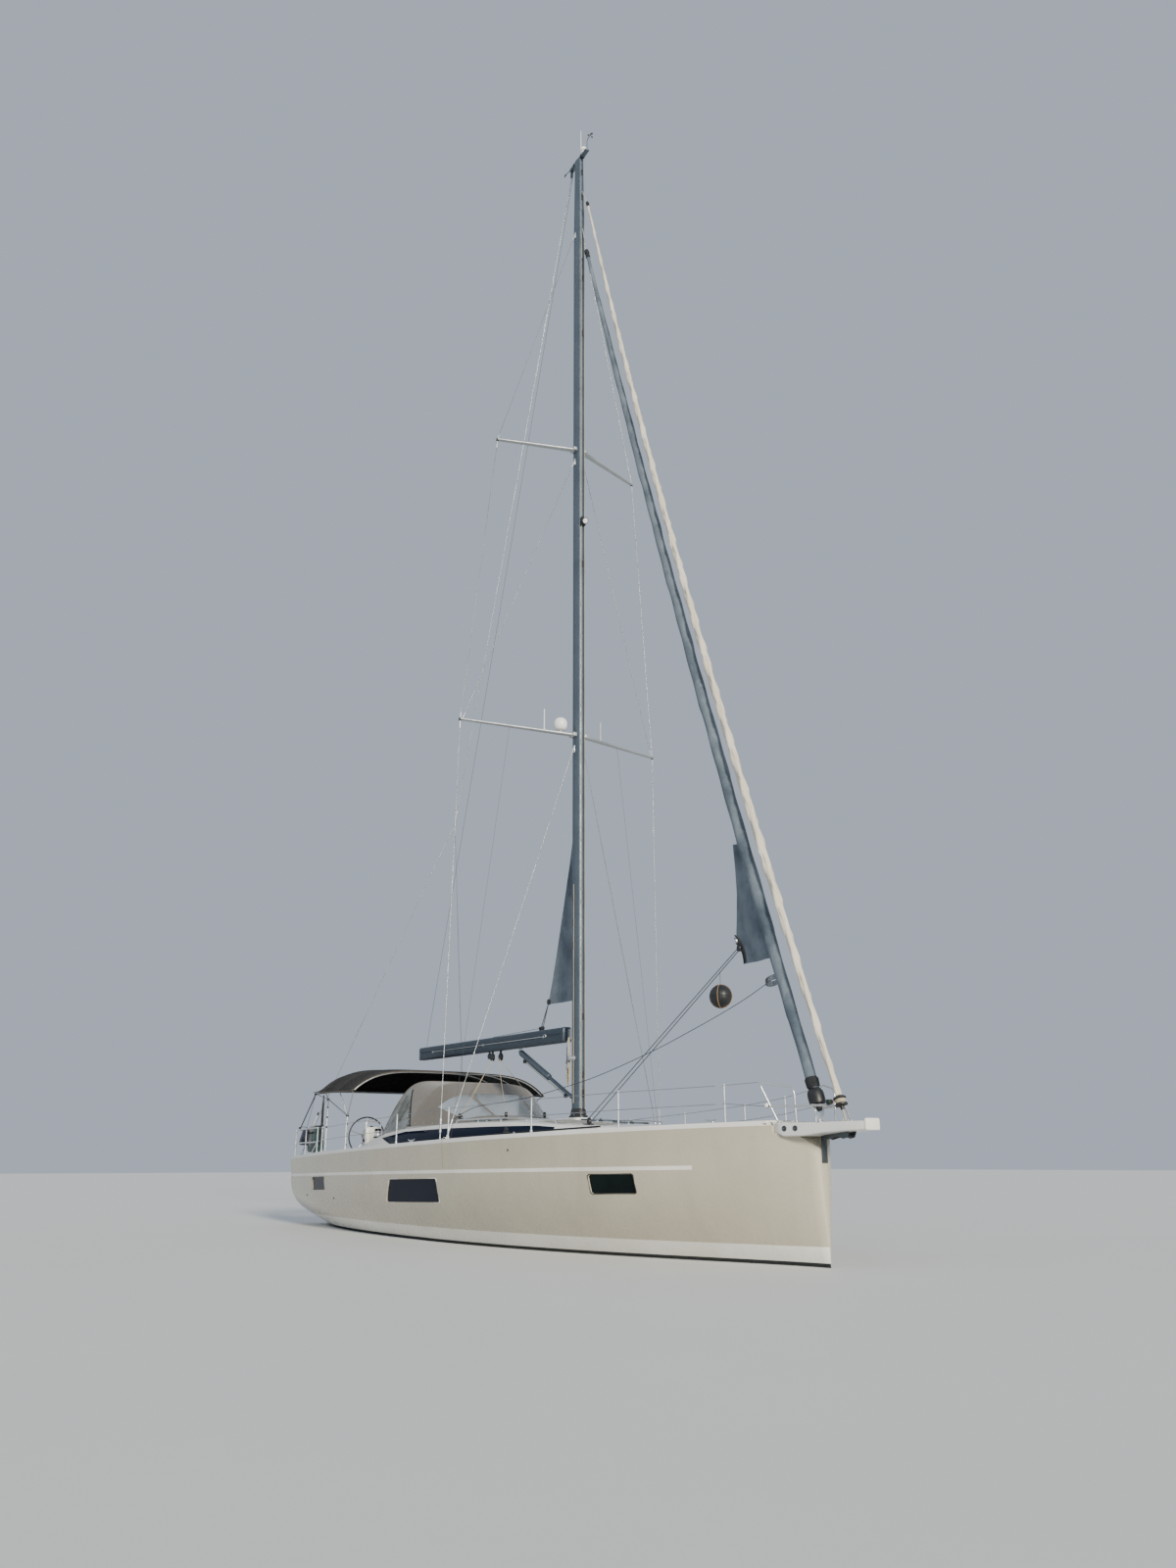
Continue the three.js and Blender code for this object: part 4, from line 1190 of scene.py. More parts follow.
    def _frame(self, port: Port, sign: int) -> Shape:
        """A thin raised rim round a window.

        Args:
            port: The window.
            sign: -1 for starboard, 1 for port.

        Returns:
            The rim, in a new shape.
        """
        middle = (sum(x for x, _ in port.outline) / len(port.outline),
                  sum(z for _, z in port.outline) / len(port.outline))
        rings = []
        for grow, depth in ((0.012, 0.001), (0.009, 0.006), (-0.002, 0.006), (-0.006, -0.018)):
            ring = []
            for x, z in port.outline:
                dx, dz = x - middle[0], z - middle[1]
                x2, z2 = x + math.copysign(grow, dx), z + math.copysign(grow, dz)
                ring.append((x2, sign * (LINES.half(x2, z2) + depth), z2))
            rings.append(ring)
        shape = Shape()
        rings.append(rings[0])
        for a, b in zip(rings, rings[1:]):
            shape.loft([a, b], caps=False)
        bmesh.ops.remove_doubles(shape.bm, verts=shape.bm.verts, dist=1e-5)
        return shape

    def build(self) -> None:
        """Makes everything that belongs to the hull."""
        self.build_skin()
        self.build_ports()


# Deck


@dataclass
class Deck:
    """The deck's slab and its toe rails."""

    rows: tuple[float, ...] = (-1.0, -0.985, -0.93, -0.8, -0.6, -0.4, -0.2, 0.0, 0.2, 0.4, 0.6, 0.8, 0.93,
                               0.985, 1.0)

    def section(self, x: float) -> list[Point]:
        """Points of the slab's section, over the top and back underneath.

        Args:
            x: Place along the hull.

        Returns:
            The points.
        """
        half = max(0.012, LINES.half(x, LINES.sheer(x)))
        top = [(x, k * half, LINES.deck_top(x, k * half)) for k in self.rows]
        low = LINES.sheer(x) + SEAM
        return [*top, (x, half, low), (x, -half, low)]

    def build_slab(self) -> Obj:
        """Makes the slab with the openings for roof, cockpit and bowsprit.

        Returns:
            The piece.
        """
        xs = [x for x in LINES.stations() if x < 7.0]
        last = len(self.rows) - 1
        slab = Shape().loft([self.section(x) for x in xs], tones=lambda r, j: 0 if 2 <= j < last - 2 else 1)
        inside = [(-2.43, 1.55), (-1.0, 1.51), (0.5, 1.41), (1.36, 1.31), (2.5, 1.1)]
        roof = inside + [(x, -y) for x, y in reversed(inside)]
        finishes = [Shades.GRIP, Shades.WHITE]
        mesh = cut(slab.mesh("deck_slab"), [
            Shape().box((-7.4, -LINES.well_half, 0.6), (-2.44, LINES.well_half, CLEAR_HIGH), 0.0, 1),
            Shape().prism(roof, 0.6, CLEAR_HIGH, Axis.Z, 0.0, 1),
            Shape().box((6.98, -1.0, 1.5), (7.5, 1.0, CLEAR_HIGH), 0.0, 1),
        ], "deck_slab", finishes)
        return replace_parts(place_mesh("deck_slab", mesh, "hull", finishes, 30.0), "deck")

    def edge(self, sign: int, inset: float, rise: float, fore: float = 6.93) -> list[Point]:
        """Points along the deck's edge.

        Args:
            sign: -1 for starboard, 1 for port.
            inset: How far inside the edge.
            rise: How far over the deck.
            fore: Where the line stops.

        Returns:
            The points, from the stern forward.
        """
        out = []
        for x in [x for x in LINES.stations() if -7.33 < x < fore] + [fore]:
            y = LINES.half(x, LINES.sheer(x)) - inset
            out.append((x, sign * y, LINES.deck_top(x, y) + rise))
        return out

    def build_rails(self) -> None:
        """Makes the toe rails: a moulded upstand."""
        for side, sign in SIDES:
            corners = ((0.004, -0.012), (0.004, 0.014), (0.009, 0.019), (0.03, 0.019), (0.036, 0.013),
                       (0.042, -0.012))
            columns = [self.edge(sign, inset, rise) for inset, rise in corners]
            rings = [[column[i] for column in columns] for i in range(len(columns[0]))]
            Shape().loft(rings).piece(f"toe_rail_{side}", Shades.WHITE, angle=50.0)

    def build(self) -> None:
        """Makes everything that belongs to the deck."""
        self.build_slab()
        self.build_rails()


# Rig


@dataclass
class Mast:
    """The mast, its spreaders, wires and the gear on it."""

    x: float = 1.36
    half_length: float = 0.135
    half_width: float = 0.1
    step: float = 1.9653
    taper: float = 20.5
    top: float = 22.45
    wire: float = 0.006
    spreaders: tuple[tuple[str, float, float, float, float], ...] = (
        ("lower", 8.85, 0.68, 2.14, 9.0),
        ("upper", 15.0, 0.87, 1.615, 15.01),
    )

    def ring(self, z: float, share: float, sides: int = 36) -> list[Point]:
        """A section of the tube: an oval, a little flat along its sides.

        Args:
            z: Height.
            share: Share of the full size.
            sides: Points of the section.

        Returns:
            The points.
        """
        out = []
        for turn in around(sides):
            c, s = math.cos(turn), math.sin(turn)
            x = math.copysign(abs(c) ** 0.92, c) * self.half_length * share
            y = math.copysign(abs(s) ** 0.92, s) * self.half_width * share
            out.append((self.x + x, y, z))
        return out

    def build_tube(self) -> None:
        """Makes the tube with its furling slot, step and collar."""
        heights = [(self.step, 1.0), (4.0, 1.0), (8.0, 1.0), (12.0, 1.0), (16.0, 1.0), (self.taper, 1.0),
                   (self.top, 0.82)]
        tube = Shape().loft([self.ring(z, k) for z, k in heights])
        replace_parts(tube.piece("mast_tube", Shades.SPAR), "mast")
        aft = self.x - self.half_length
        slot = Shape().box((aft - 0.0035, -0.016, 3.0), (aft + 0.01, 0.016, 20.3), 0.003)
        for sign in (-1, 1):
            slot.box((aft - 0.002, sign * 0.022 - 0.004, 2.6), (aft + 0.012, sign * 0.022 + 0.004, 20.4),
                     0.002, 1)
        slot.piece("mast_furling_slot", [Shades.BLACK, Shades.SPAR])
        collar = Shape()
        sizes = ((0.0, 0.19, 0.15), (0.03, 0.188, 0.148), (0.05, 0.162, 0.128), (0.13, 0.15, 0.116),
                 (0.15, 0.139, 0.104))
        collar.loft([[(self.x + a * math.cos(t), b * math.sin(t), self.step + up)
                      for t in around(32)] for up, a, b in sizes])
        for turn in range(8):
            angle = (turn + 0.5) * TAU / 8
            foot = (self.x + 0.172 * math.cos(angle), 0.136 * math.sin(angle), self.step + 0.02)
            collar.turned([(0, 0.009), (0.022, 0.009), (0.027, 0.004)], foot, UP, 6, 1)
        collar.piece("mast_collar", [Shades.BLACK, Shades.STEEL])

    def build_fittings(self) -> None:
        """Makes sheave boxes, tangs, a winch, cleats and steaming gear on the tube."""
        gear = Shape()
        for z in (12.4, 17.8, 19.2, 20.95, 21.35, 22.05):
            face = self.x + self.half_length * (1.0 if z < 20.5 else 0.9)
            gear.box((face - 0.02, -0.02, z - 0.07), (face + 0.006, 0.02, z + 0.07), 0.004)
        for z in (4.9, 5.3, 5.75):
            gear.box((self.x - 0.03, -0.106, z - 0.07), (self.x + 0.03, -0.09, z + 0.07), 0.006)
        for sign in (-1, 1):
            for z in (8.6, 14.75, 20.4):
                gear.side_box(sign, (self.x - 0.028, 0.09, z - 0.09), (self.x + 0.028, 0.108, z + 0.05),
                              0.006, 1)
        gear.box((self.x + 0.13, -0.03, 2.3), (self.x + 0.15, 0.03, 2.42), 0.005)
        gear.turned([(0, 0.045), (0.02, 0.045), (0.03, 0.034), (0.09, 0.034), (0.1, 0.045), (0.112, 0.03)],
                    (self.x + 0.02, -0.098, 2.95), (0, -1, 0), 20, 1)
        for z in (2.62, 3.6):
            gear.tube(rounded([(self.x + 0.13, 0, z), (self.x + 0.17, 0, z + 0.02),
                               (self.x + 0.18, 0, z + 0.12)], 0.02), 0.008)
        gear.piece("mast_fittings", [Shades.BLACK, Shades.STEEL])

    def spreader(self, row: tuple[str, float, float, float, float], sign: int) -> Shape:
        """One spreader: a tapered wing with a round tip.

        Args:
            row: Row of the table of spreaders.
            sign: -1 for starboard, 1 for port.

        Returns:
            The wing, in a new shape.
        """
        _, z, tip_x, tip_y, tip_z = row
        rings = []
        for share in (0.0, 0.03, 0.06, 0.35, 0.7, 0.97, 1.0):
            chord = 0.13 + (0.085 - 0.13) * share
            thick = 0.06 + (0.037 - 0.06) * share
            x, y = self.x + (tip_x - self.x) * share, 0.1003 + (tip_y - 0.1003) * share
            h = z + (tip_z - z) * share
            rings.append([(x + chord / 2 * math.cos(t), sign * y,
                           h + thick / 2 * math.copysign(abs(math.sin(t)) ** 0.8, math.sin(t)))
                          for t in around(20)])
        return Shape().loft(rings)

    def build_spreaders(self) -> None:
        """Makes the two pairs of spreaders with their roots and tip boots."""
        for row in self.spreaders:
            name, z, tip_x, tip_y, tip_z = row
            for side, sign in SIDES:
                shape = self.spreader(row, sign)
                shape.turned([(0, 0.02), (0.01, 0.026), (0.05, 0.026), (0.06, 0.02)],
                             (tip_x, sign * (tip_y - 0.012), tip_z - 0.03), UP, 14, 1)
                shape.side_box(sign, (self.x - 0.09, 0.085, z - 0.036), (self.x + 0.09, 0.16, z + 0.036),
                               0.012)
                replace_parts(shape.piece(f"{name}_spreader_wing_{side}", [Shades.SPREADER, Shades.BLACK]),
                            f"{name}_spreader_{side}")

    def build_rods(self) -> None:
        """Makes the two short rods that stand on the lower spreaders."""
        rods = Shape()
        for foot, high in (((1.183, -0.643, 8.9), 0.43), ((1.204, 0.58, 8.895), 0.39)):
            rods.turned([(0.0, 0.016), (0.05, 0.016), (0.06, 0.011), (high - 0.02, 0.011), (high, 0.006)],
                        foot, UP, 14)
        rods.piece("spreader_rods", Shades.STRIPE)

    def wires(self) -> list[tuple[str, Point, Point]]:
        """The table of side wires: name, upper end and lower end for port.

        Returns:
            Its rows.
        """
        lower, upper = self.spreaders
        out = 0.1065
        plate, inner = (0.59, 2.2), (0.66, 2.13)
        deck = LINES.deck_top
        return [("cap_shroud_upper", (self.x, out, 20.4), (upper[2], upper[3] - 0.012, upper[4] + 0.018)),
                ("cap_shroud_middle", (upper[2], upper[3] - 0.012, upper[4] - 0.018),
                 (lower[2], lower[3] - 0.012, lower[4] + 0.018)),
                ("cap_shroud_lower", (lower[2], lower[3] - 0.012, lower[4] - 0.018),
                 (*plate, deck(*plate))), ("intermediate_shroud", (self.x, out, 14.75),
                                           (lower[2] + 0.015, lower[3] - 0.052, lower[4] + 0.016)),
                ("lower_shroud", (self.x, out, 8.6), (*inner, deck(*inner))),]

    def build_wires(self) -> None:
        """Makes the side wires with their end fittings and turnbuckles."""
        for name, top, foot in self.wires():
            for side, sign in SIDES:
                a, b = Vector((top[0], sign * top[1], top[2])), Vector((foot[0], sign * foot[1], foot[2]))
                along = (b - a).normalized()
                shape = Shape().tube([a, b], self.wire, 8)
                shape.turned([(0, 0.008), (0.02, 0.012), (0.12, 0.01), (0.16, 0.0065)], a, along, 10, 1)
                if name in ("cap_shroud_lower", "lower_shroud"):
                    self.turnbuckle(shape, b, -along)
                else:
                    shape.turned([(0, 0.008), (0.1, 0.01), (0.13, 0.0065)], b, -along, 10, 1)
                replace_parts(shape.piece(f"{name}_wire_{side}", [Shades.WIRE, Shades.STEEL]),
                            f"{name}_{side}")

    def turnbuckle(self, shape: Shape, foot: Vector, along: Vector) -> None:
        """Adds a turnbuckle and its chainplate at a wire's foot.

        Args:
            shape: Shape that it is added to.
            foot: The wire's foot.
            along: Direction from the foot up the wire.
        """
        shape.turned([(0.0, 0.012), (0.04, 0.012), (0.05, 0.009), (0.12, 0.009), (0.13, 0.018),
                      (0.17, 0.019), (0.33, 0.019), (0.36, 0.017), (0.37, 0.009), (0.46, 0.009),
                      (0.47, 0.011), (0.6, 0.008)], foot, along, 14, 1)
        shape.brick((foot.x, foot.y), (0.022, 0.005), (foot.z - 0.008, foot.z + 0.055), 0.003, 1)
        shape.brick((foot.x, foot.y), (0.06, 0.028), (foot.z - 0.006, foot.z + 0.006), 0.003, 1)

    def build_backstay(self) -> None:
        """Makes the backstay, its bridle and tensioner."""
        split = Vector((-4.04, 0, 8.43))
        top = Vector((1.04, 0, 22.27))
        along = (split - top).normalized()
        shape = Shape().tube([top, split], self.wire, 8)
        shape.turned([(0, 0.009), (0.03, 0.013), (0.15, 0.01), (0.2, 0.0065)], top, along, 10, 1)
        shape.turned([(-0.32, 0.008), (-0.3, 0.016), (-0.08, 0.018), (-0.05, 0.012), (0.0, 0.014)], split,
                     along, 12, 1)
        shape.box((split.x - 0.03, -0.014, split.z - 0.07), (split.x + 0.03, 0.014, split.z + 0.06), 0.006,
                  1)
        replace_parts(shape.piece("backstay_wire", [Shades.WIRE, Shades.STEEL]), "backstay")
        for side, sign in SIDES:
            foot = Vector((-7.18, sign * 1.98, LINES.deck_top(-7.18, 1.98)))
            start = split + Vector((-0.02, sign * 0.0205, -0.03))
            leg = Shape().tube([start, foot], self.wire, 8)
            up = (start - foot).normalized()
            self.turnbuckle(leg, foot, up)
            leg.turned([(0, 0.01), (0.12, 0.009), (0.16, 0.0065)], start, -up, 10, 1)
            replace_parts(leg.piece(f"backstay_bridle_{side}", [Shades.WIRE, Shades.STEEL]),
                        f"backstay_leg_{side}")

    def build_masthead(self) -> None:
        """Makes the crane, lamp, aerial and wind sensors."""
        top = self.top + SEAM
        crane = Shape().prism([(1.01, top + 0.03), (1.04, top + 0.055), (1.7, top + 0.06),
                               (1.72, top + 0.045), (1.72, top + 0.01), (1.5, top), (1.2, top),
                               (1.02, top - 0.02)], -0.045, 0.045, Axis.Y, 0.006)
        crane.box((1.012, -0.022, 22.27), (1.068, 0.022, top + 0.02), 0.006)
        for x in (1.2, 1.5):
            crane.drum((0.05, 0.046), (0.03, 0.034), (x, 0, top + 0.03), ACROSS, 18, 1)
        crane.piece("masthead_crane", [Shades.SPAR, Shades.BLACK])
        lamp = Shape().turned([(0.05, 0.03), (0.06, 0.05), (0.09, 0.052), (0.1, 0.07), (0.115, 0.086),
                               (0.15, 0.086), (0.165, 0.08), (0.2, 0.062), (0.235, 0.034), (0.245, 0.0)],
                              (1.56, 0, top), UP, 28)
        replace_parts(lamp.piece("masthead_lamp", Shades.LAMP), "masthead_gear")
        aerial = Shape().turned([(0.05, 0.018), (0.12, 0.018), (0.13, 0.009), (0.8, 0.006), (0.802, 0.0)],
                                (1.44, 0, top), UP, 12)
        aerial.piece("masthead_aerial", Shades.DOME)
        sensors = Shape().tube(rounded([(1.7, 0, top + 0.05), (1.7, 0, top + 0.3), (1.86, 0, top + 0.34)],
                                       0.04), 0.007, 8)
        sensors.tube([(1.05, 0, top + 0.04), (0.84, 0, top + 0.12)], 0.006, 8)
        for turn in range(3):
            angle = turn * TAU / 3
            cup = Vector((1.86 + 0.055 * math.cos(angle), 0.055 * math.sin(angle), top + 0.3))
            sensors.tube([(1.86, 0, top + 0.3), cup], 0.003, 6)
            sensors.turned([(-0.018, 0.006), (-0.008, 0.017), (0.01, 0.02)], cup,
                           (-math.sin(angle), math.cos(angle), 0), 10)
        sensors.turned([(-0.05, 0.01), (0.0, 0.012), (0.02, 0.004)], (1.86, 0, top + 0.35), UP, 10)
        sensors.prism([(0.72, top + 0.09), (0.83, top + 0.11), (0.83, top + 0.13), (0.72, top + 0.17)],
                      -0.002, 0.002, Axis.Y)
        sensors.tube([(0.72, 0, top + 0.12), (1.0, 0, top + 0.12)], 0.003, 6)
        sensors.piece("masthead_wind_sensors", Shades.BLACK)

    def build_lamps(self) -> None:
        """Makes the satellite dome on the spreader and the deck light."""
        dome = Shape().turned([(-0.152, 0.02), (-0.125, 0.02), (-0.12, 0.075), (-0.1, 0.105),
                               (-0.05, 0.125), (0.0, 0.13), (0.05, 0.122), (0.09, 0.1), (0.118, 0.06),
                               (0.13, 0.0)], (1.275, -0.345, 9.051), UP, 32)
        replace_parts(dome.piece("spreader_satellite_dome", Shades.DOME), "spreader_dome")
        face = self.x + self.half_length + SEAM
        light = Shape().box((face, -0.05, 13.23), (face + 0.05, 0.05, 13.42), 0.012)
        light.turned([(0.0, 0.058), (0.05, 0.066), (0.075, 0.066), (0.08, 0.06)], (face + 0.05, 0, 13.34),
                     (0.8, 0, -0.6), 22)
        light.turned([(0.07, 0.06), (0.088, 0.045), (0.094, 0.0)], (face + 0.05, 0, 13.34), (0.8, 0, -0.6),
                     22, 1)
        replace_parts(light.piece("mast_deck_light", [Shades.BLACK, Shades.LAMP]), "deck_light")

    def build_halyards(self) -> None:
        """Makes the halyards and flag lines that lie along the mast."""
        front = self.x + self.half_length + 0.02
        lines = Shape()
        lines.tube([(front, -0.03, 2.1), (front, -0.03, 20.3)], 0.005, 6)
        lines.tube([(front + 0.004, 0.035, 2.1), (front + 0.004, 0.035, 21.2)], 0.005, 6)
        lines.tube([(self.x + 0.02, -0.112, 2.2), (self.x + 0.02, -0.112, 6.0)], 0.006, 6)
        lines.piece("mast_halyards", Shades.CREAM_ROPE)
        flags = Shape()
        for sign, x, y in ((-1, 0.95, 1.25), (1, 0.98, 1.1)):
            top = (x, sign * y, 8.85 + 0.06)
            flags.tube([top, (0.75, sign * 2.08, LINES.deck_top(0.75, 2.08) + 0.02)], 0.0022, 5)
        flags.piece("flag_lines", Shades.DARK_ROPE)

    def build_tails(self) -> None:
        """Makes the coiled halyard tails that hang at the gooseneck."""
        shape = Shape()
        for i, (y, low, finish) in enumerate(((-0.115, 2.62, 0), (-0.13, 2.78, 1), (-0.112, 2.5, 0))):
            top = Vector((1.24, y, 3.32 - 0.05 * i))
            path = [top]
            for turn in range(3):
                spread = 0.025 + 0.012 * turn
                path += [Vector((1.24 - spread, y - 0.012 * turn, low + 0.15)),
                         Vector((1.24, y - 0.02, low + 0.02 * turn)),
                         Vector((1.24 + spread * 0.6, y - 0.012 * turn, low + 0.2)),
                         top + Vector((0, -0.01 * turn, -0.02))]
            shape.tube(smooth_path(path, 6), 0.0065, 6, finish)
        shape.piece("halyard_tails", [Shades.CREAM_ROPE, Shades.BLUE_ROPE])

    def build(self) -> None:
        """Makes everything on the mast."""
        self.build_tube()
        self.build_fittings()
        self.build_spreaders()
        self.build_rods()
        self.build_wires()
        self.build_backstay()
        self.build_masthead()
        self.build_lamps()
        self.build_halyards()
        self.build_tails()


@dataclass
class Headsails:
    """The furled genoa and code zero, their drums, clew and sheets."""

    clew: Point = (5.915, -0.0134, 4.165)
    car: Point = (3.0, -0.8, 1.7963)
    ball_share: float = 0.125
    ball_drop: float = 0.345
    ball: float = 0.166

    @staticmethod
    def roll(top: Point, foot: Point, sag: float, radii: Sequence[float], lobes: int, pitch: float,
             depth: float) -> Shape:
        """A sail rolled on its stay.

        Args:
            top: Upper end.
            foot: Lower end.
            sag: How far its middle hangs aft.
            radii: Radii at even steps from the top.
            lobes: Edges that wind round it.
            pitch: Metres for one turn of an edge.
            depth: How deep the edges are, as a share of the radius.

        Returns:
            The rolled sail.
        """
        a, b = Vector(top), Vector(foot)
        length = (b - a).length
        count, sides = int(length / 0.11), 24
        rings = []
        for i in range(count + 1):
            share = i / count
            place = share * (len(radii) - 1)
            k = min(len(radii) - 2, int(place))
            radius = radii[k] + (radii[k + 1] - radii[k]) * (place - k)
            centre = a.lerp(b, share) - Vector((sag * 4 * share * (1 - share), 0, 0))
            wind = share * length / pitch * TAU
            ring = []
            for turn in around(sides):
                phase = ((turn * lobes - wind) / TAU) % 1.0
                rise = 1 - depth * phase + depth * 0.35 * math.sin(3 * turn + 7 * share * length)
                ring.append(centre + Vector((math.cos(turn), math.sin(turn), 0)) * radius * rise)
            rings.append(ring)
        return Shape().loft(rings)

    def build_genoa(self) -> None:
        """Makes the rolled genoa with its foil, swivel and drum."""
        swivel, foot = (1.73, 0.0, 19.58), (7.29, 0.0, 2.16)
        roll = self.roll(swivel, foot, 0.13, (0.035, 0.06, 0.075, 0.085, 0.095, 0.095, 0.08), 1, 2.6, 0.12)
        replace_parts(roll.piece("genoa_roll", Shades.COVER, angle=60.0), "genoa_furled")
        gear = Shape().tube([(1.51, 0, 20.48), swivel], 0.011, 10)
        along = (Vector(foot) - Vector(swivel)).normalized()
        gear.turned([(-0.22, 0.02), (-0.2, 0.05), (-0.12, 0.055), (-0.1, 0.035), (-0.04, 0.035),
                     (-0.02, 0.052), (0.04, 0.045)], swivel, along, 20, 1)
        drum = Vector(foot) + along * 0.14
        gear.turned([(-0.13, 0.055), (-0.12, 0.075), (-0.09, 0.1), (-0.05, 0.108), (0.0, 0.11),
                     (0.05, 0.108), (0.08, 0.1), (0.09, 0.06), (0.12, 0.045), (0.17, 0.03)], drum, along,
                    32, 1)
        gear.turned([(0.095, 0.05), (0.1, 0.08), (0.108, 0.085), (0.116, 0.08), (0.12, 0.045)], drum, along,
                    28)
        end = drum + along * 0.15
        gear.tube([end, (7.46, 0, 1.722)], 0.014, 10)
        gear.piece("genoa_furler", [Shades.STEEL, Shades.BLACK, Shades.DARK_ROPE])
        collar = Shape().turned([(-0.13, 0.08), (-0.11, 0.092), (-0.02, 0.088), (0.0, 0.08), (0.02, 0.06)],
                                foot, along, 22)
        collar.piece("genoa_tack_webbing", Shades.WEB)

    def build_flap(self) -> None:
        """Makes the part of the genoa that stands off the roll, with its clew."""
        rows = ((5.72, 5.86, 6.04), (5.4, 5.855, 6.13), (5.0, 5.845, 6.25), (4.6, 5.83, 6.37),
                (4.28, 5.81, 6.47), (4.2, 5.86, 6.5), (4.12, 5.93, 6.52), (4.02, 5.98, 6.56),
                (3.94, 6.0, 6.585))
        across = 12
        faces = [[], []]
        for z, x0, x1 in rows:
            for k, face in enumerate(faces):
                line = []
                for j in range(across + 1):
                    t = j / across
                    wave = 0.03 * math.sin(t * 3.1 + z * 1.7) * (1 - t) + 0.012 * math.sin(t * 9 + z * 4)
                    line.append((x0 + (x1 - x0) * t, -0.01 + wave + (0.003 if k else -0.003), z))
                face.append(line)
        shape = Shape().loft([a + b[::-1] for a, b in zip(*faces)])
        flap = shape.piece("genoa_clew_flap", Shades.COVER, angle=60.0)
        web = Shape()
        for path in (((5.812, -0.02, 4.34), (5.83, -0.02, 4.27), (5.9, -0.015, 4.2), (5.96, -0.01, 4.1),
                      (5.985, -0.01, 4.0), (5.99, -0.01, 3.94)), ((5.815, -0.02, 4.38), (5.87, -0.02, 4.32),
                                                                  (5.95, -0.012, 4.22), (6.01, -0.01, 4.08),
                                                                  (6.03, -0.01, 3.96))):
            web.tube(smooth_path(path, 4), 0.011, 6)
        web.drum((0.025, 0.015), (0.03, 0.036), (5.845, -0.02, 4.29), ACROSS, 18, 1)
        web.piece("genoa_clew_webbing", [Shades.WEB, Shades.STEEL])

    def build_code_zero(self) -> None:
        """Makes the rolled code zero with its cable, swivel and drum."""
        swivel, foot = (1.74, 0.0, 20.92), (7.76, 0.0, 2.0)
        roll = self.roll(swivel, foot, 0.25, (0.022, 0.045, 0.056, 0.064, 0.07, 0.072, 0.045), 2, 0.47, 0.4)
        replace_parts(roll.piece("code_zero_roll", Shades.SAIL, angle=70.0), "code_zero_furled")
        along = (Vector(foot) - Vector(swivel)).normalized()
        gear = Shape().tube([(1.505, 0, 21.5), swivel], 0.007, 8)
        gear.turned([(-0.14, 0.015), (-0.12, 0.034), (-0.03, 0.036), (-0.02, 0.02), (0.02, 0.025)], swivel,
                    along, 18, 1)
        gear.turned([(-0.05, 0.02), (-0.03, 0.06), (-0.015, 0.082), (0.0, 0.084), (0.01, 0.05),
                     (0.06, 0.05), (0.07, 0.084), (0.085, 0.082), (0.1, 0.03), (0.14, 0.022)], foot, along,
                    24, 1)
        gear.turned([(0.005, 0.058), (0.01, 0.07), (0.055, 0.07), (0.06, 0.058)], foot, along, 20, 2)
        gear.tube([Vector(foot) + along * 0.12, (7.85, 0, 1.722)], 0.012, 8)
        gear.piece("code_zero_furler", [Shades.CREAM_ROPE, Shades.BLACK, Shades.CREAM_ROPE])

    def build_sheets(self) -> None:
        """Makes the doubled genoa sheet, its block and car."""
        a, b = Vector(self.clew), Vector(self.car)
        sheet = Shape().tube([a, b], 0.007, 8)
        sheet.tube([a + Vector((0.0, 0.0, 0.045)), b + Vector((-0.03, 0.0, 0.075))], 0.007, 8)
        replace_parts(sheet.piece("genoa_sheet_lines", Shades.DARK_ROPE), "genoa_sheet")
        along = (b - a).normalized()
        block = Shape().turned([(-0.022, 0.02), (-0.02, 0.046), (-0.006, 0.05), (0.006, 0.05),
                                (0.02, 0.046), (0.022, 0.02)], a + Vector((-0.02, 0, 0.015)), (0.15, 1, 0),
                               22)
        block.tube([a + Vector((-0.02, 0, 0.015)), (5.845, -0.015, 4.29)], 0.012, 8)
        block.drum((0.024, 0.02), (0.03, 0.055), b - along * 0.02 + above(0.04), (0.2, 1, 0), 22)
        block.box((2.89, -0.835, 1.785), (3.11, -0.765, 1.815), 0.008)
        block.piece("genoa_sheet_blocks", Shades.BLACK)

    def build_slack_line(self) -> None:
        """Makes the slack second sheet, from the genoa's roll past the mast to a block on the roof."""
        path = ((6.66, -0.085, 3.62), (6.193, -0.19, 3.406), (5.711, -0.291, 3.226), (5.093, -0.416, 3.021),
                (4.56, -0.517, 2.857), (3.732, -0.666, 2.641), (2.976, -0.792, 2.478), (2.2, -0.915, 2.36),
                (1.625, -0.997, 2.285), (0.925, -1.093, 2.23), (-0.239, -1.19, 2.165), (-1.22, -1.2, 1.95))
        fine = smooth_path(path, 6)
        line = Shape().tube(fine, 0.006, 8).piece("genoa_slack_sheet", Shades.DARK_ROPE)
        turns = Shape()
        for k in range(5):
            turns.tube([(6.585 + 0.092 * math.cos(t), 0.1 * math.sin(t),
                         3.66 - 0.015 * k + 0.04 * math.cos(t)) for t in around(24, 1)], 0.006, 6)
        turns.piece("genoa_roll_turns", Shades.DARK_ROPE)
        block = Shape().drum((0.02, 0.016), (0.02, 0.034), (-1.235, -1.2, 1.925), ACROSS, 20)
        block.tube([(-1.235, -1.2, 1.925), (-1.26, -1.2, 1.84)], 0.008, 8)
        block.piece("slack_sheet_block", Shades.BLACK)

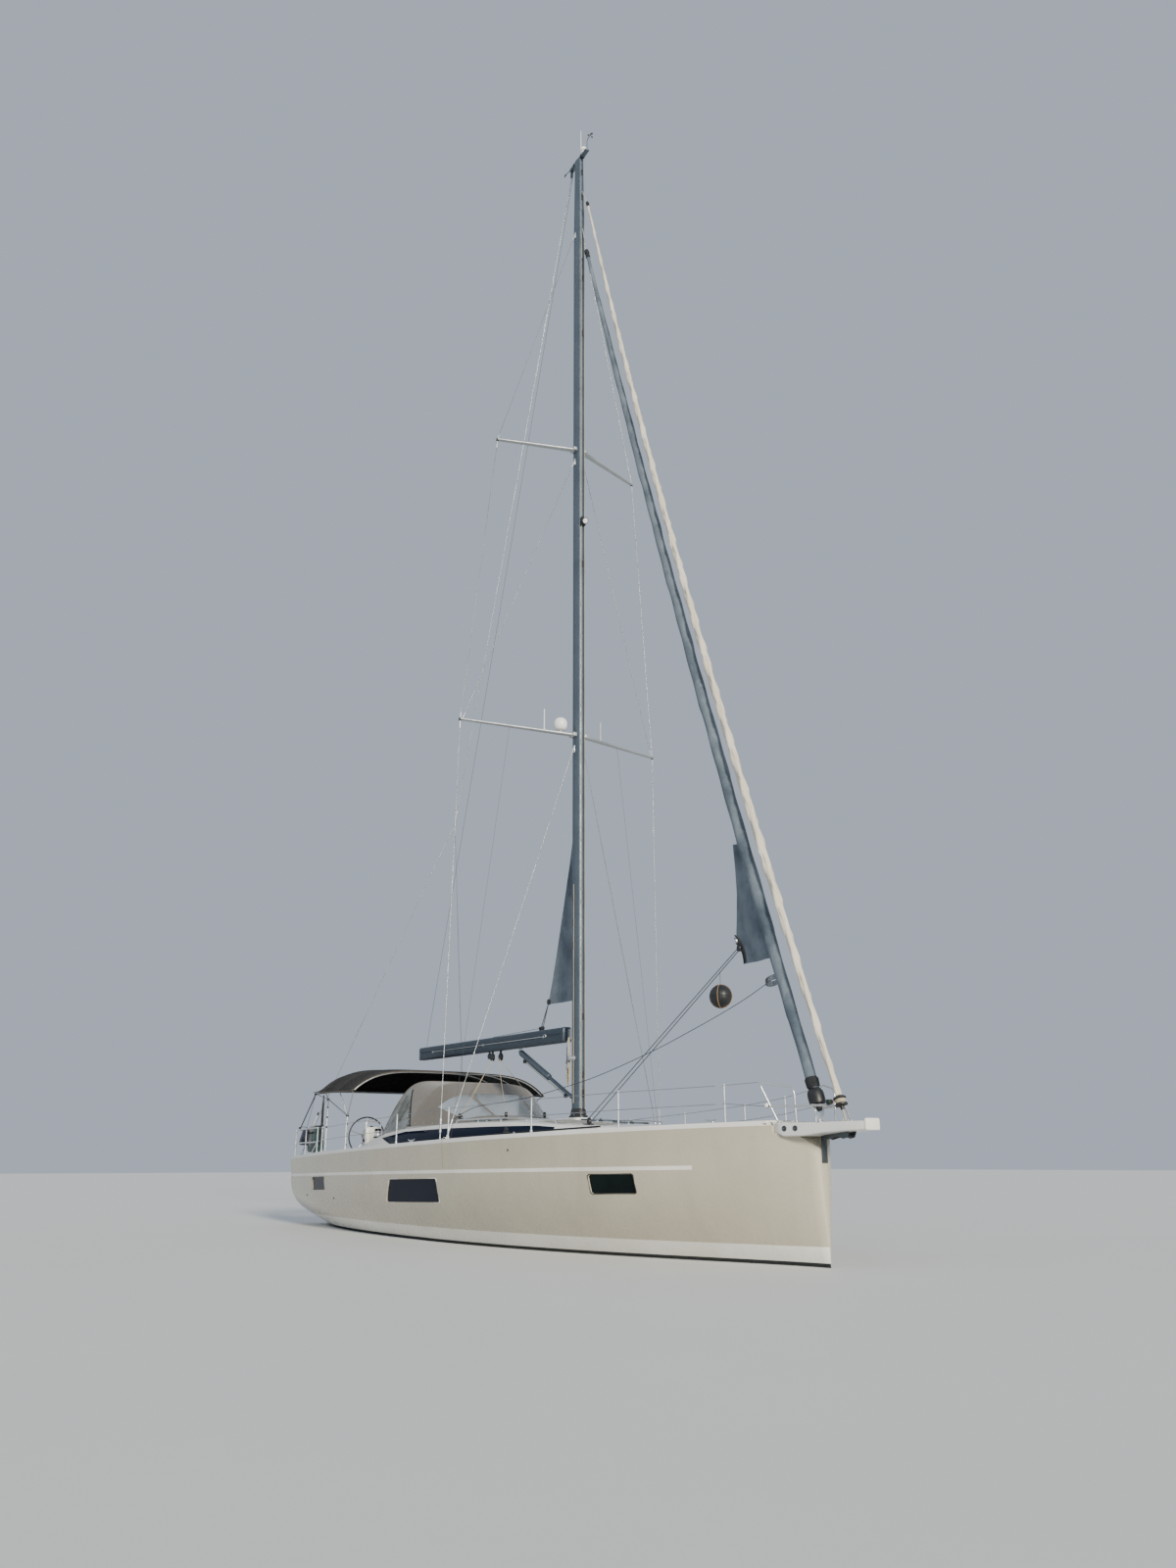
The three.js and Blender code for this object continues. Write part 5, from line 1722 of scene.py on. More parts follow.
    def build_ball(self) -> None:
        """Makes the day shape that hangs from the sheet."""
        clew, car = Vector(self.clew), Vector(self.car)
        centre = clew.lerp(car, self.ball_share) - above(self.ball_drop)
        shape = Shape()
        for k in range(3):
            turn = k * math.pi / 3
            normal = Vector((math.cos(turn), math.sin(turn), 0))
            if k == 2:
                normal = Vector(UP)
            shape.turned([(-0.004, 0.0), (-0.004, self.ball), (0.0, 0.17), (0.004, self.ball), (0.004, 0.0)],
                         centre, normal, 36)
        sphere = []
        for i in range(1, 12):
            lat = -math.pi / 2 + i * math.pi / 12
            sphere.append((math.sin(lat) * self.ball, math.cos(lat) * self.ball))
        shape.turned([(-0.168, 0.0), *sphere, (0.168, 0.0)], centre, (0.3, -0.2, 0.93), 28)
        for k in range(2):
            turn = 0.62 + k * math.pi / 2
            side = Vector((math.cos(turn), math.sin(turn), 0))
            ring = [centre + (side * math.cos(t) + Vector(UP) * math.sin(t)) * 0.169 for t in around(40, 1)]
            shape.tube(ring, 0.005, 6, 1)
        shape.tube([centre + above(0.165), centre + above(0.3334)], 0.004, 6, 2)
        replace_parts(shape.piece("anchor_ball_shape", [Shades.BLACK, Shades.TAN, Shades.DARK_ROPE]),
                    "anchor_ball")

    def build(self) -> None:
        """Makes everything forward of the mast."""
        self.build_genoa()
        self.build_flap()
        self.build_code_zero()
        self.build_sheets()
        self.build_slack_line()
        self.build_ball()


@dataclass
class Boom:
    """The boom, its vang, the clew of the mainsail and the lines that run between them."""

    fore: float = 0.98
    aft: float = -5.3
    fore_z: float = 3.385
    aft_z: float = 3.51
    half: float = 0.085
    depth: float = 0.132
    gooseneck: float = 1.215
    vang: float = -0.76

    def middle(self, x: float) -> float:
        """Height of the boom's middle line."""
        return self.fore_z + (self.aft_z - self.fore_z) * (self.fore - x) / (self.fore - self.aft)

    def under(self, x: float) -> float:
        """Height of the boom's underside."""
        return self.middle(x) - self.depth

    def over(self, x: float) -> float:
        """Height of the boom's top."""
        return self.middle(x) + self.depth

    def section(self, x: float) -> list[Point]:
        """Points of the boom's section, with a recess along each side.

        Args:
            x: Place along the boom.

        Returns:
            The points.
        """
        z, h, d = self.middle(x), self.half, self.depth
        right = [(0.0, d), (h * 0.62, d), (h * 0.86, d - 0.01), (h, d - 0.034), (h * 0.995, 0.036),
                 (h * 0.985, 0.028), (h * 0.85, 0.022), (h * 0.85, -0.006), (h * 0.965, -0.012),
                 (h * 0.95, -0.02), (h * 0.88, -0.06), (h * 0.8, -d + 0.022), (h * 0.7, -d + 0.006),
                 (h * 0.5, -d)]
        left = [(-y, up) for y, up in reversed(right[1:])]
        return [(x, y, z + up) for y, up in (*right, *left)]

    def build_spar(self) -> None:
        """Makes the extrusion, its end castings and the gooseneck."""
        spar = Shape().loft([self.section(x) for x in (self.aft + 0.03, -3.5, -1.5, self.fore - 0.06)])
        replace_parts(spar.piece("boom_spar", Shades.BOOM, "boom", 25.0), "boom")
        ends = Shape()
        for x0, x1 in ((self.aft, self.aft + 0.05), (self.fore - 0.09, self.fore)):
            z = self.middle(x0)
            ends.prism([(-self.half, z - self.depth + 0.02), (-self.half * 0.8, z - self.depth),
                        (self.half * 0.8, z - self.depth), (self.half, z - self.depth + 0.02),
                        (self.half, z + self.depth - 0.03), (self.half * 0.7, z + self.depth),
                        (-self.half * 0.7, z + self.depth), (-self.half, z + self.depth - 0.03)], x0, x1,
                       Axis.X, 0.006)
        ends.box((self.fore - 0.02, -0.008, self.fore_z - 0.09),
                 (self.gooseneck, 0.008, self.fore_z + 0.09), 0.004, 1)
        ends.turned([(-0.13, 0.0094), (0.13, 0.0094)], (self.gooseneck, 0, self.fore_z), UP, 14, 1)
        for x in (0.3, 0.32):
            ends.turned([(-0.01, 0.03), (0.0, 0.034), (0.01, 0.03)], (x, -0.075, self.middle(x) + 0.02),
                        ACROSS, 18, 1)
        ends.piece("boom_ends", [Shades.BOOM, Shades.STEEL], "boom")
        rail = Shape()
        for sign in (-1, 1):
            y = sign * self.half * 0.93
            rail.tube([(x, y, self.middle(x) + 0.008) for x in (-4.6, -2.5, 0.25)], 0.008, 8)
            for x in (-4.6, -2.2, 0.25):
                rail.box((x - 0.03, min(y, y * 0.85), self.middle(x) - 0.012),
                         (x + 0.03, max(y, y * 0.85), self.middle(x) + 0.028), 0.004)
        rail.piece("boom_side_rails", Shades.STEEL, "boom")

    def build_vang(self) -> None:
        """Makes the rigid vang: an outer tube, an inner rod and its tackle."""
        top = Vector((self.vang, 0, self.under(self.vang) - 0.07))
        foot = Vector((self.gooseneck - 0.06, 0, 2.31))
        along = (top - foot).normalized()
        length = (top - foot).length
        shape = Shape().turned([(0.0, 0.028), (0.05, 0.034), (length * 0.42, 0.034),
                                (length * 0.425, 0.054), (length * 0.44, 0.058), (length - 0.06, 0.058),
                                (length - 0.04, 0.05), (length, 0.036)], foot, along, 24)
        shape.box((-0.805, -0.012, top.z - 0.03), (-0.715, 0.012, self.under(self.vang) + 0.001), 0.004, 1)
        shape.drum((0.03, 0.028), (0.02, 0.024), top, ACROSS, 16, 1)
        shape.box((self.gooseneck - 0.08, -0.008, 2.24), (self.gooseneck, 0.008, 2.33), 0.003, 1)
        shape.turned([(0, 0.0094), (0.15, 0.0094)], (self.gooseneck, 0, 2.21), UP, 14, 1)
        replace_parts(shape.piece("boom_vang_strut", [Shades.SPAR, Shades.STEEL], "boom"), "boom_vang")
        tackle = Shape()
        low = foot + along * 0.25 - above(0.07)
        high = top - along * 0.2 - above(0.1)
        for y in (-0.018, 0.018):
            tackle.tube([low + Vector((0, y, 0)), high + Vector((0, y, 0))], 0.005, 6)
        for p in (low, high):
            tackle.drum((0.026, 0.022), (0.02, 0.036), p, ACROSS, 18, 1)
        tackle.piece("boom_vang_tackle", [Shades.CREAM_ROPE, Shades.BLACK], "boom")

    def build_clew(self) -> None:
        """Makes the mainsail's clew as it leaves the mast, and its outhaul."""
        luff = 1.2244
        rows = ((6.95, 1.17), (6.4, 1.03), (5.7, 0.83), (5.0, 0.625), (4.4, 0.44), (4.1, 0.33), (3.99, 0.28))
        across, faces = 10, ([], [])
        for z, leech in rows:
            low = z - (0.03 if z < 4.0 else 0.0)
            for k, face in enumerate(faces):
                line = []
                for j in range(across + 1):
                    t = j / across
                    bulge = 0.035 * math.sin(math.pi * t) * min(1.0, (7.0 - z) / 2)
                    line.append((leech + (luff - leech) * t, bulge + (0.002 if k else -0.002),
                                 z + (low - z) * t))
                face.append(line)
        sail = Shape().loft([a + b[::-1] for a, b in zip(*faces)]).piece("mainsail_clew_cloth",
                                                                         Shades.COVER, "boom", 60.0)
        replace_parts(sail, "mainsail_clew")
        gear = Shape().drum((0.024, 0.02), (0.03, 0.05), (0.315, 0.0, 4.03), ACROSS, 20, 2)
        for x in (0.05, 0.12):
            gear.tube([(0.3, 0.0, 4.02), (x - 0.02, 0.0, self.over(x) + 0.05)], 0.008, 8)
        for x in (0.0, 0.1):
            z = self.over(x)
            gear.drum((0.02, 0.016), (0.02, 0.034), (x, 0, z + 0.045), ACROSS, 18, 2)
            gear.box((x - 0.02, -0.012, z - 0.002), (x + 0.02, 0.012, z + 0.03), 0.004, 2)
        gear.tube([(-0.02, 0, self.over(0) + 0.05), (-1.9, 0, self.over(-1.9) + 0.012)], 0.004, 6)
        gear.tube([(1.0, 0.0, 5.9), (1.04, 0.0, 5.9)], 0.004, 6)
        gear.piece("mainsail_outhaul", [Shades.DARK_ROPE, Shades.STEEL, Shades.BLACK], "boom")

    def line(self, name: str, path: Sequence[Sequence[float]], finish: Finish,
             radius: float = 0.005) -> None:
        """Makes a line from the hull's end of the path to the boom's end.

        Args:
            name: Name of the piece.
            path: Points, with the hull's end first.
            finish: Its finish.
            radius: Its radius.
        """
        fine = []
        for a, b in zip(path, path[1:]):
            fine += [Vector(a).lerp(Vector(b), i / 8) for i in range(8)]
        fine.append(Vector(path[-1]))
        obj = Shape().tube(fine, radius, 6).piece(name, finish, "")
        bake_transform(obj)

    def build_sheet(self) -> None:
        """Makes the mainsheet's blocks and its parts, and the topping lift."""
        blocks = Shape()
        hangers = [(-1.85, -0.03), (-1.62, 0.03)]
        for x, y in hangers:
            z = self.under(x)
            blocks.brick((x, y), (0.03, 0.012), (z - 0.06, z + 0.002), 0.005)
            blocks.drum((0.024, 0.02), (0.02, 0.07), (x, y, z - 0.115), ACROSS, 22)
        x = -2.0
        blocks.drum((0.024, 0.02), (0.02, 0.055), (x, -0.02, self.under(x) - 0.085), ACROSS, 22)
        blocks.box((x - 0.02, -0.03, self.under(x) - 0.05), (x + 0.02, -0.008, self.under(x) + 0.001), 0.004)
        blocks.piece("mainsheet_boom_blocks", Shades.BLACK, "boom")
        feet = Shape()
        low = self.under(-1.85) - 0.15
        parts = [
            ("aft_outer", (-0.6, -1.25, 2.0), -1.89), ("aft_inner", (-0.74, -1.22, 2.04), -1.84),
            ("fore_inner", (-0.62, -0.35, 2.08), -1.64), ("fore_outer", (-0.35, 0.3, 2.08), -1.6),
        ]
        for name, foot, head in parts:
            self.line(f"mainsheet_{name}", [foot, (head, -0.02, low)], Shades.CREAM_ROPE)
            feet.drum((0.024, 0.02), (0.02, 0.044), foot, (0.3, 1, 0), 20)
            feet.brick((foot[0], foot[1]), (0.05, 0.04), (1.96, 1.985), 0.008)
            feet.brick((foot[0], foot[1]), (0.015, 0.012), (1.97, foot[2]), 0.004)
        feet.piece("mainsheet_deck_blocks", Shades.BLACK)
        self.line("topping_lift", [(1.05, 0.02, 22.25), (-4.88, 0.01, 4.44), (-5.1, 0.0, 3.66)],
                  Shades.DARK_ROPE, 0.004)

    def build(self) -> None:
        """Makes everything on the boom."""
        self.build_spar()
        self.build_vang()
        self.build_clew()
        self.build_sheet()


# Bow and rails


def ring_box(x: float, half: float, low: float, high: float, radius: float, steps: int = 4) -> list[Point]:
    """A section across the yacht: a box with round corners.

    Args:
        x: Where the section is.
        half: Half its width.
        low: Its underside.
        high: Its top.
        radius: Radius of the corners.
        steps: Stretches in each corner.

    Returns:
        The points of the section.
    """
    out = []
    for k, (sy, sz) in enumerate(((1, 1), (-1, 1), (-1, -1), (1, -1))):
        cy, cz = sy * (half - radius), (high - radius if sz > 0 else low + radius)
        for i in range(steps + 1):
            turn = (k + i / steps) * math.pi / 2
            out.append((x, cy + radius * math.cos(turn), cz + radius * math.sin(turn)))
    return out


@dataclass
class Bowsprit:
    """The fixed bowsprit with its side bolts, anchor roller and stem plate."""

    rows: tuple[tuple[float, float, float, float], ...] = ((6.9803, 0.424, 1.606, 0.008),
                                                           (6.99, 0.43, 1.6003, 0.014),
                                                           (7.08, 0.44, 1.58, 0.018),
                                                           (7.14, 0.4246, 1.552, 0.02),
                                                           (7.43, 0.3503, 1.556, 0.02),
                                                           (7.7, 0.281, 1.588, 0.02),
                                                           (8.0, 0.204, 1.604, 0.018),
                                                           (8.24, 0.1426, 1.613, 0.016),
                                                           (8.296, 0.112, 1.619, 0.014),)
    top: float = 1.72

    def build(self) -> None:
        """Makes the bowsprit's pieces."""
        sprit = Shape().loft([ring_box(x, half, low, self.top, r) for x, half, low, r in self.rows])
        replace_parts(sprit.piece("bowsprit_body", Shades.WHITE, angle=30.0), "bowsprit")
        cap = Shape().loft([ring_box(x, half, low, self.top + up, r) for x, half, low, up,
                            r in ((8.292, 0.116, 1.614, 0.022, 0.016), (8.298, 0.12, 1.61, 0.03, 0.02),
                                  (8.314, 0.11, 1.612, 0.03, 0.022), (8.32, 0.096, 1.622, 0.02, 0.018))])
        cap.piece("bowsprit_cap", Shades.STRIPE)
        pads = Shape()
        for _, sign in SIDES:
            for i in range(4):
                x0 = 7.12 + i * 0.235
                wide = mixed(self.rows, x0 + 0.22)[0] - 0.035
                pads.side_box(sign, (x0, 0.09, self.top - 0.002), (x0 + 0.225, wide, self.top + 0.004),
                              0.002)
        pads.piece("bowsprit_tread", Shades.TEAK)
        gear = Shape().box((7.42 + SEAM, -0.045, 1.23), (7.43, 0.045, 1.6), 0.003)
        for z in (1.27, 1.36, 1.45, 1.54):
            gear.turned([(0, 0.012), (0.004, 0.011), (0.006, 0.005)], (7.43, 0, z), AHEAD, 12)
        for _, sign in SIDES:
            gear.prism([(7.44, 1.56), (7.44, 1.53), (7.52, 1.505), (7.6, 1.52), (7.74, 1.545),
                        (7.84, 1.515), (7.92, 1.53), (7.96, 1.604)], sign * 0.06 - 0.004,
                       sign * 0.06 + 0.004, Axis.Y, 0.002)
        gear.piece("stem_plate", Shades.PLATE)
        rollers = Shape()
        for x, z in ((7.87, 1.55), (7.54, 1.535)):
            rollers.turned([(-0.05, 0.024), (-0.045, 0.028), (-0.012, 0.018), (0.012, 0.018),
                            (0.045, 0.028), (0.05, 0.024)], (x, 0, z), ACROSS, 22)
        rollers.piece("anchor_rollers", Shades.BLACK)
        bolts = Shape()
        for _, sign in SIDES:
            for x in (7.161, 7.322):
                half = mixed(self.rows, x)[0]
                bolts.turned([(-0.002, 0.037), (0.004, 0.036), (0.008, 0.027), (0.009, 0.016),
                              (0.005, 0.012), (0.005, 0.0)], (x, sign * half, 1.649), (0.256, sign, 0), 24)
        bolts.piece("bowsprit_bolts", Shades.PLATE)
        eye = Shape().tube(rounded([(7.84, -0.05, 1.721), (7.84, -0.03, 1.765), (7.84, 0.03, 1.765),
                                    (7.84, 0.05, 1.721)], 0.02), 0.008, 10)
        eye.box((7.79, -0.07, 1.718), (7.89, 0.07, 1.726), 0.003)
        eye.box((7.41, -0.06, 1.718), (7.51, 0.06, 1.726), 0.003)
        eye.piece("tack_eyes", Shades.STEEL)


@dataclass
class Rails:
    """Pulpit, lifelines and stern rails in stainless tube and wire."""

    tube: float = 0.014
    wire: float = 0.006
    height: float = 0.5
    stern: float = 0.56
    corner: float = -7.27
    inset: float = 0.07
    posts: tuple[float, ...] = (-4.9, -3.3, -0.72, 1.2, 3.35, 4.95, 6.42)

    def foot(self, x: float, sign: int) -> Vector:
        """Where a post stands on the deck's edge."""
        y = LINES.deck_half(x) - self.inset
        return Vector((x, sign * y, LINES.deck_top(x, y - self.tube) + SEAM))

    def knee(self, sign: int) -> Vector:
        """Where the pulpit's leg bends into its rail."""
        return Vector((6.84, sign * 0.54, 2.235))

    def socket(self, shape: Shape, at: Sequence[float], tall: float = 0.055) -> None:
        """Adds a round base with a socket at a post's foot."""
        shape.turned([(-0.001, 0.036), (0.005, 0.036), (0.009, 0.024), (0.014, 0.0195), (tall, 0.0195),
                      (tall + 0.004, 0.016)], at, UP, 20)

    def build_pulpit(self) -> None:
        """Makes the rail over the bow with its lamp."""
        shape, top = Shape(), 1.7203
        for _, s in SIDES:
            leg, knee = Vector((7.02, s * 0.385, top)), self.knee(s)
            post, low = Vector((7.3, s * 0.33, top)), Vector((7.66, s * 0.265, top))
            shape.tube(rounded([leg, knee, (7.3, s * 0.345, 2.15), post], 0.09, 6), self.tube, 14)
            shape.tube(rounded([leg.lerp(knee, 0.4), (7.55, s * 0.29, 1.925), low], 0.07, 6), self.tube, 14)
            for foot in (leg, post, low):
                self.socket(shape, foot, 0.03)
        shape.tube([(7.55, -0.29, 1.925), (7.55, 0.29, 1.925)], self.tube, 14)
        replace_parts(shape.piece("pulpit_rail", Shades.STEEL), "pulpit")
        lamp = Shape().box((7.535, -0.035, 1.94), (7.6, 0.035, 2.0), 0.012)
        lamp.box((7.575, -0.032, 1.95), (7.612, -0.001, 1.99), 0.008, 1)
        lamp.box((7.575, 0.001, 1.95), (7.612, 0.032, 1.99), 0.008, 2)
        lamp.piece("bow_lamp", [Shades.BLACK, Shades.GREEN, Shades.RED])

    def build_lifelines(self) -> None:
        """Makes the stanchions and the two wires of each side."""
        for side, sign in SIDES:
            shape = Shape()
            feet = [self.foot(x, sign) for x in self.posts]
            for foot in feet:
                top = foot + above(self.height)
                shape.tube([foot, top], self.tube * 0.9, 14)
                shape.turned([(-0.004, 0.0155), (0.006, 0.0155), (0.012, 0.009), (0.014, 0.0)], top, UP, 14)
                self.socket(shape, foot)
                shape.box(foot + Vector((-0.05, -0.032, -0.002)), foot + Vector((0.05, 0.032, 0.005)), 0.002)
            for share in (0.97, 0.5):
                run = [foot + above(self.height * share) for foot in feet]
                shape.tube(run, self.wire * 0.75, 8, 1)
                for point in run:
                    shape.drum((0.018, 0.014), (0.008, 0.0105), point, AHEAD, 10)
                for end, way in ((run[0], run[1] - run[0]), (run[-1], run[-2] - run[-1])):
                    shape.turned([(0.02, 0.0065), (0.03, 0.0095), (0.11, 0.0095), (0.13, 0.0065)], end, way,
                                 10)
                knee = self.knee(sign) if share > 0.9 else Vector((6.948, sign * 0.447, 1.9262))
                shape.tube([run[-1], knee], self.wire * 0.75, 8, 1)
                back = self.foot(-5.25, sign)
                back.z = self.foot(self.corner, sign).z + (self.stern if share > 0.9 else self.stern / 2)
                shape.tube([run[0], back], self.wire * 0.75, 8, 1)
            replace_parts(shape.piece(f"lifeline_run_{side}", [Shades.STEEL, Shades.WIRE]), f"lifeline_{side}")

    def build_stern(self) -> None:
        """Makes the stern rails."""
        for side, sign in SIDES:
            shape = Shape()
            feet = [self.foot(x, sign) for x in (-5.25, -6.25, self.corner)]
            feet.append(Vector((self.corner, sign * 1.48, LINES.deck_top(self.corner, 1.466) + SEAM)))
            base = feet[2].z
            for up in (self.stern, self.stern / 2):
                level = [Vector((p.x, p.y, base + up)) for p in feet]
                shape.tube(rounded(level, 0.16, 8), self.tube, 14)
            for p in feet:
                top = Vector((p.x, p.y, base + self.stern))
                shape.tube([p, top], self.tube, 14)
                self.socket(shape, p)
            brace = feet[0] + Vector((-0.35, 0, 0))
            brace.z = LINES.deck_top(brace.x, abs(brace.y)) + SEAM
            shape.tube([brace, Vector((feet[0].x, feet[0].y, base + self.stern * 0.5))], self.tube * 0.8, 12)
            self.socket(shape, brace, 0.02)
            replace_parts(shape.piece(f"stern_rail_{side}", Shades.STEEL), f"pushpit_{side}")
        lamp = Shape().turned([(0, 0.02), (0.01, 0.026), (0.06, 0.026), (0.07, 0.02)], (-7.3, 1.6, 2.0),
                              (0, 0, -1), 18)
        lamp.turned([(0.01, 0.0), (0.012, 0.02), (0.05, 0.02), (0.055, 0.0)], (-7.312, 1.6, 2.0),
                    (0, 0, -1), 18, 1)
        lamp.box((-7.3, 1.59, 1.985), (-7.27, 1.61, 2.0), 0.002)
        lamp.piece("stern_lamp", [Shades.BLACK, Shades.LAMP])

    def build(self) -> None:
        """Makes all the rails."""
        self.build_pulpit()
        self.build_lifelines()
        self.build_stern()


# Canvas


@dataclass
class Bimini:
    """The canopy over the helms and its folding frame."""

    rows: tuple[tuple[float, float, float, float], ...] = ((-6.24, 2.1, 2.69, 2.715),
                                                           (-5.85, 2.12, 2.67, 3.17),
                                                           (-5.3, 2.13, 2.65, 3.165),
                                                           (-4.5, 2.15, 2.63, 3.11),
                                                           (-3.7, 2.17, 2.6, 3.03))
    bows: tuple[tuple[float, float, float], ...] = ((-6.175, 0.065, 0.04), (-5.5, 0.0238, 0.0),
                                                    (-4.6, 0.0242, 0.0), (-3.74, 0.025, 0.0))
    power: int = 5
    tube: float = 0.013
    leg_y: float = 1.96

    def point(self, x: float, across: float, lift: float = 0.0) -> Vector:
        """A place on the cloth, sagging between the bows.

        Args:
            x: Place along the yacht.
            across: From -1 at starboard to 1 at port.
            lift: How far over the cloth it is.

        Returns:
            The place.
        """
        half, edge, crown = mixed(self.rows, x)
        between = 0.0
        for (a, _, _), (b, _, _) in zip(self.bows, self.bows[1:]):
            if a < x < b:
                between = math.sin(math.pi * (x - a) / (b - a)) ** 0.8
        rise = 1 - abs(across) ** self.power
        y = across * half * (1 - 0.01 * between)
        z = edge + (crown - edge) * rise - 0.02 * between * (1 - across**6) - 0.001
        return Vector((x, y, z + lift))

    def bow(self, x: float, drop: float, sink: float) -> list[Vector]:
        """The points of a frame bow under the cloth.

        Args:
            x: Place along the yacht.
            drop: How far its middle is under the cloth.
            sink: How far its ends are under the cloth's edge.

        Returns:
            The points.
        """
        half, edge, crown = mixed(self.rows, x)
        half, edge, crown = half - 0.042, edge - sink, crown - drop
        return [Vector((x, a * half, edge + (crown - edge) * (1 - abs(a) ** self.power)))
                for a in eased(20)]

    def build_cloth(self) -> None:
        """Makes the canopy, its hems, pockets and stitching."""
        xs = [-6.24 + 2.54 * i / 52 for i in range(53)]
        acrosses = eased(22)
        grid = [[self.point(x, a) for a in acrosses] for x in xs]
        cloth = Shape().cloth(grid, 0.004).piece("bimini_cloth", Shades.CANVAS, angle=50.0)
        trim = Shape()
        for line in (grid[0], grid[-1], [row[0] for row in grid], [row[-1] for row in grid]):
            trim.tube([p - above(0.003) for p in line], 0.007, 8)
        for x, _, _ in self.bows:
            xs_band = (max(-6.24, x - 0.045), x, min(-3.7, x + 0.045))
            trim.cloth([[self.point(q, a, 0.003) for a in acrosses] for q in xs_band], 0.003, 1)
        for a in (-0.72, 0.72):
            trim.cloth([[self.point(x, a + d, 0.002) for d in (-0.009, 0.009)] for x in xs], 0.002, 1)
        trim = trim.piece("bimini_trim", [Shades.PIPING, Shades.CANVAS], angle=50.0)
        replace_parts(cloth, "bimini")

    def build_frame(self) -> None:
        """Makes the bows, legs, knuckles and straps."""
        shape, joints, straps = Shape(), Shape(), Shape()
        bows = [self.bow(*row) for row in self.bows]
        for path in bows:
            shape.tube(path, self.tube, 12)
        for _, sign in SIDES:
            ends = [path[0 if sign < 0 else -1] for path in bows]
            aft, fore = Vector((-5.65, sign * self.leg_y, 2.52)), Vector((-4.45, sign * self.leg_y, 2.15))
            feet = [Vector((x, sign * self.leg_y, LINES.deck_top(x, self.leg_y - 0.013) + SEAM))
                    for x in (-5.65, -4.45)]
            for path in ([ends[0], aft, feet[0]], [ends[1], aft], [ends[2], fore, feet[1]],
                         [ends[3], fore, aft]):
                shape.tube(rounded(path, 0.05), self.tube, 12)
            for p in (*ends, aft, fore):
                joints.drum((0.024, 0.02), (0.018, 0.024), p, ACROSS, 18)
            for p in feet:
                joints.box(p + Vector((-0.035, -0.02, -0.001)), p + Vector((0.035, 0.02, 0.012)), 0.004)
                joints.drum((0.016, 0.014), (0.015, 0.02), p + above(0.03), ACROSS, 16)
            rail = Rails()
            hold = rail.foot(rail.corner, sign)
            for foot_x, start in ((-6.9, ends[0]), (-6.25, ends[0])):
                end = Vector((foot_x, sign * (LINES.deck_half(foot_x) - rail.inset), hold.z + 0.575))
                side = Vector((0.0125, 0, 0)) if foot_x > -6.5 else Vector((0, 0.0125, 0))
                straps.cloth([[start.lerp(end, t) - side, start.lerp(end, t) + side]
                              for t in (i / 8 for i in range(9))], 0.002)
            for x in (-5.65, -4.45):
                knee = aft if x == -5.65 else fore
                for k in range(3):
                    z = knee.z - 0.16 - 0.2 * k
                    joints.drum((0.02, 0.018), (0.0145, 0.0165), (x, sign * self.leg_y, z), UP, 14)
        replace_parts(shape.piece("bimini_tubes", Shades.STEEL), "bimini_frame")
        joints.piece("bimini_knuckles", Shades.BLACK)
        straps.piece("bimini_straps", Shades.WEB)

    def build(self) -> None:
        """Makes the frame, then the cloth on it."""
        self.build_frame()
        self.build_cloth()


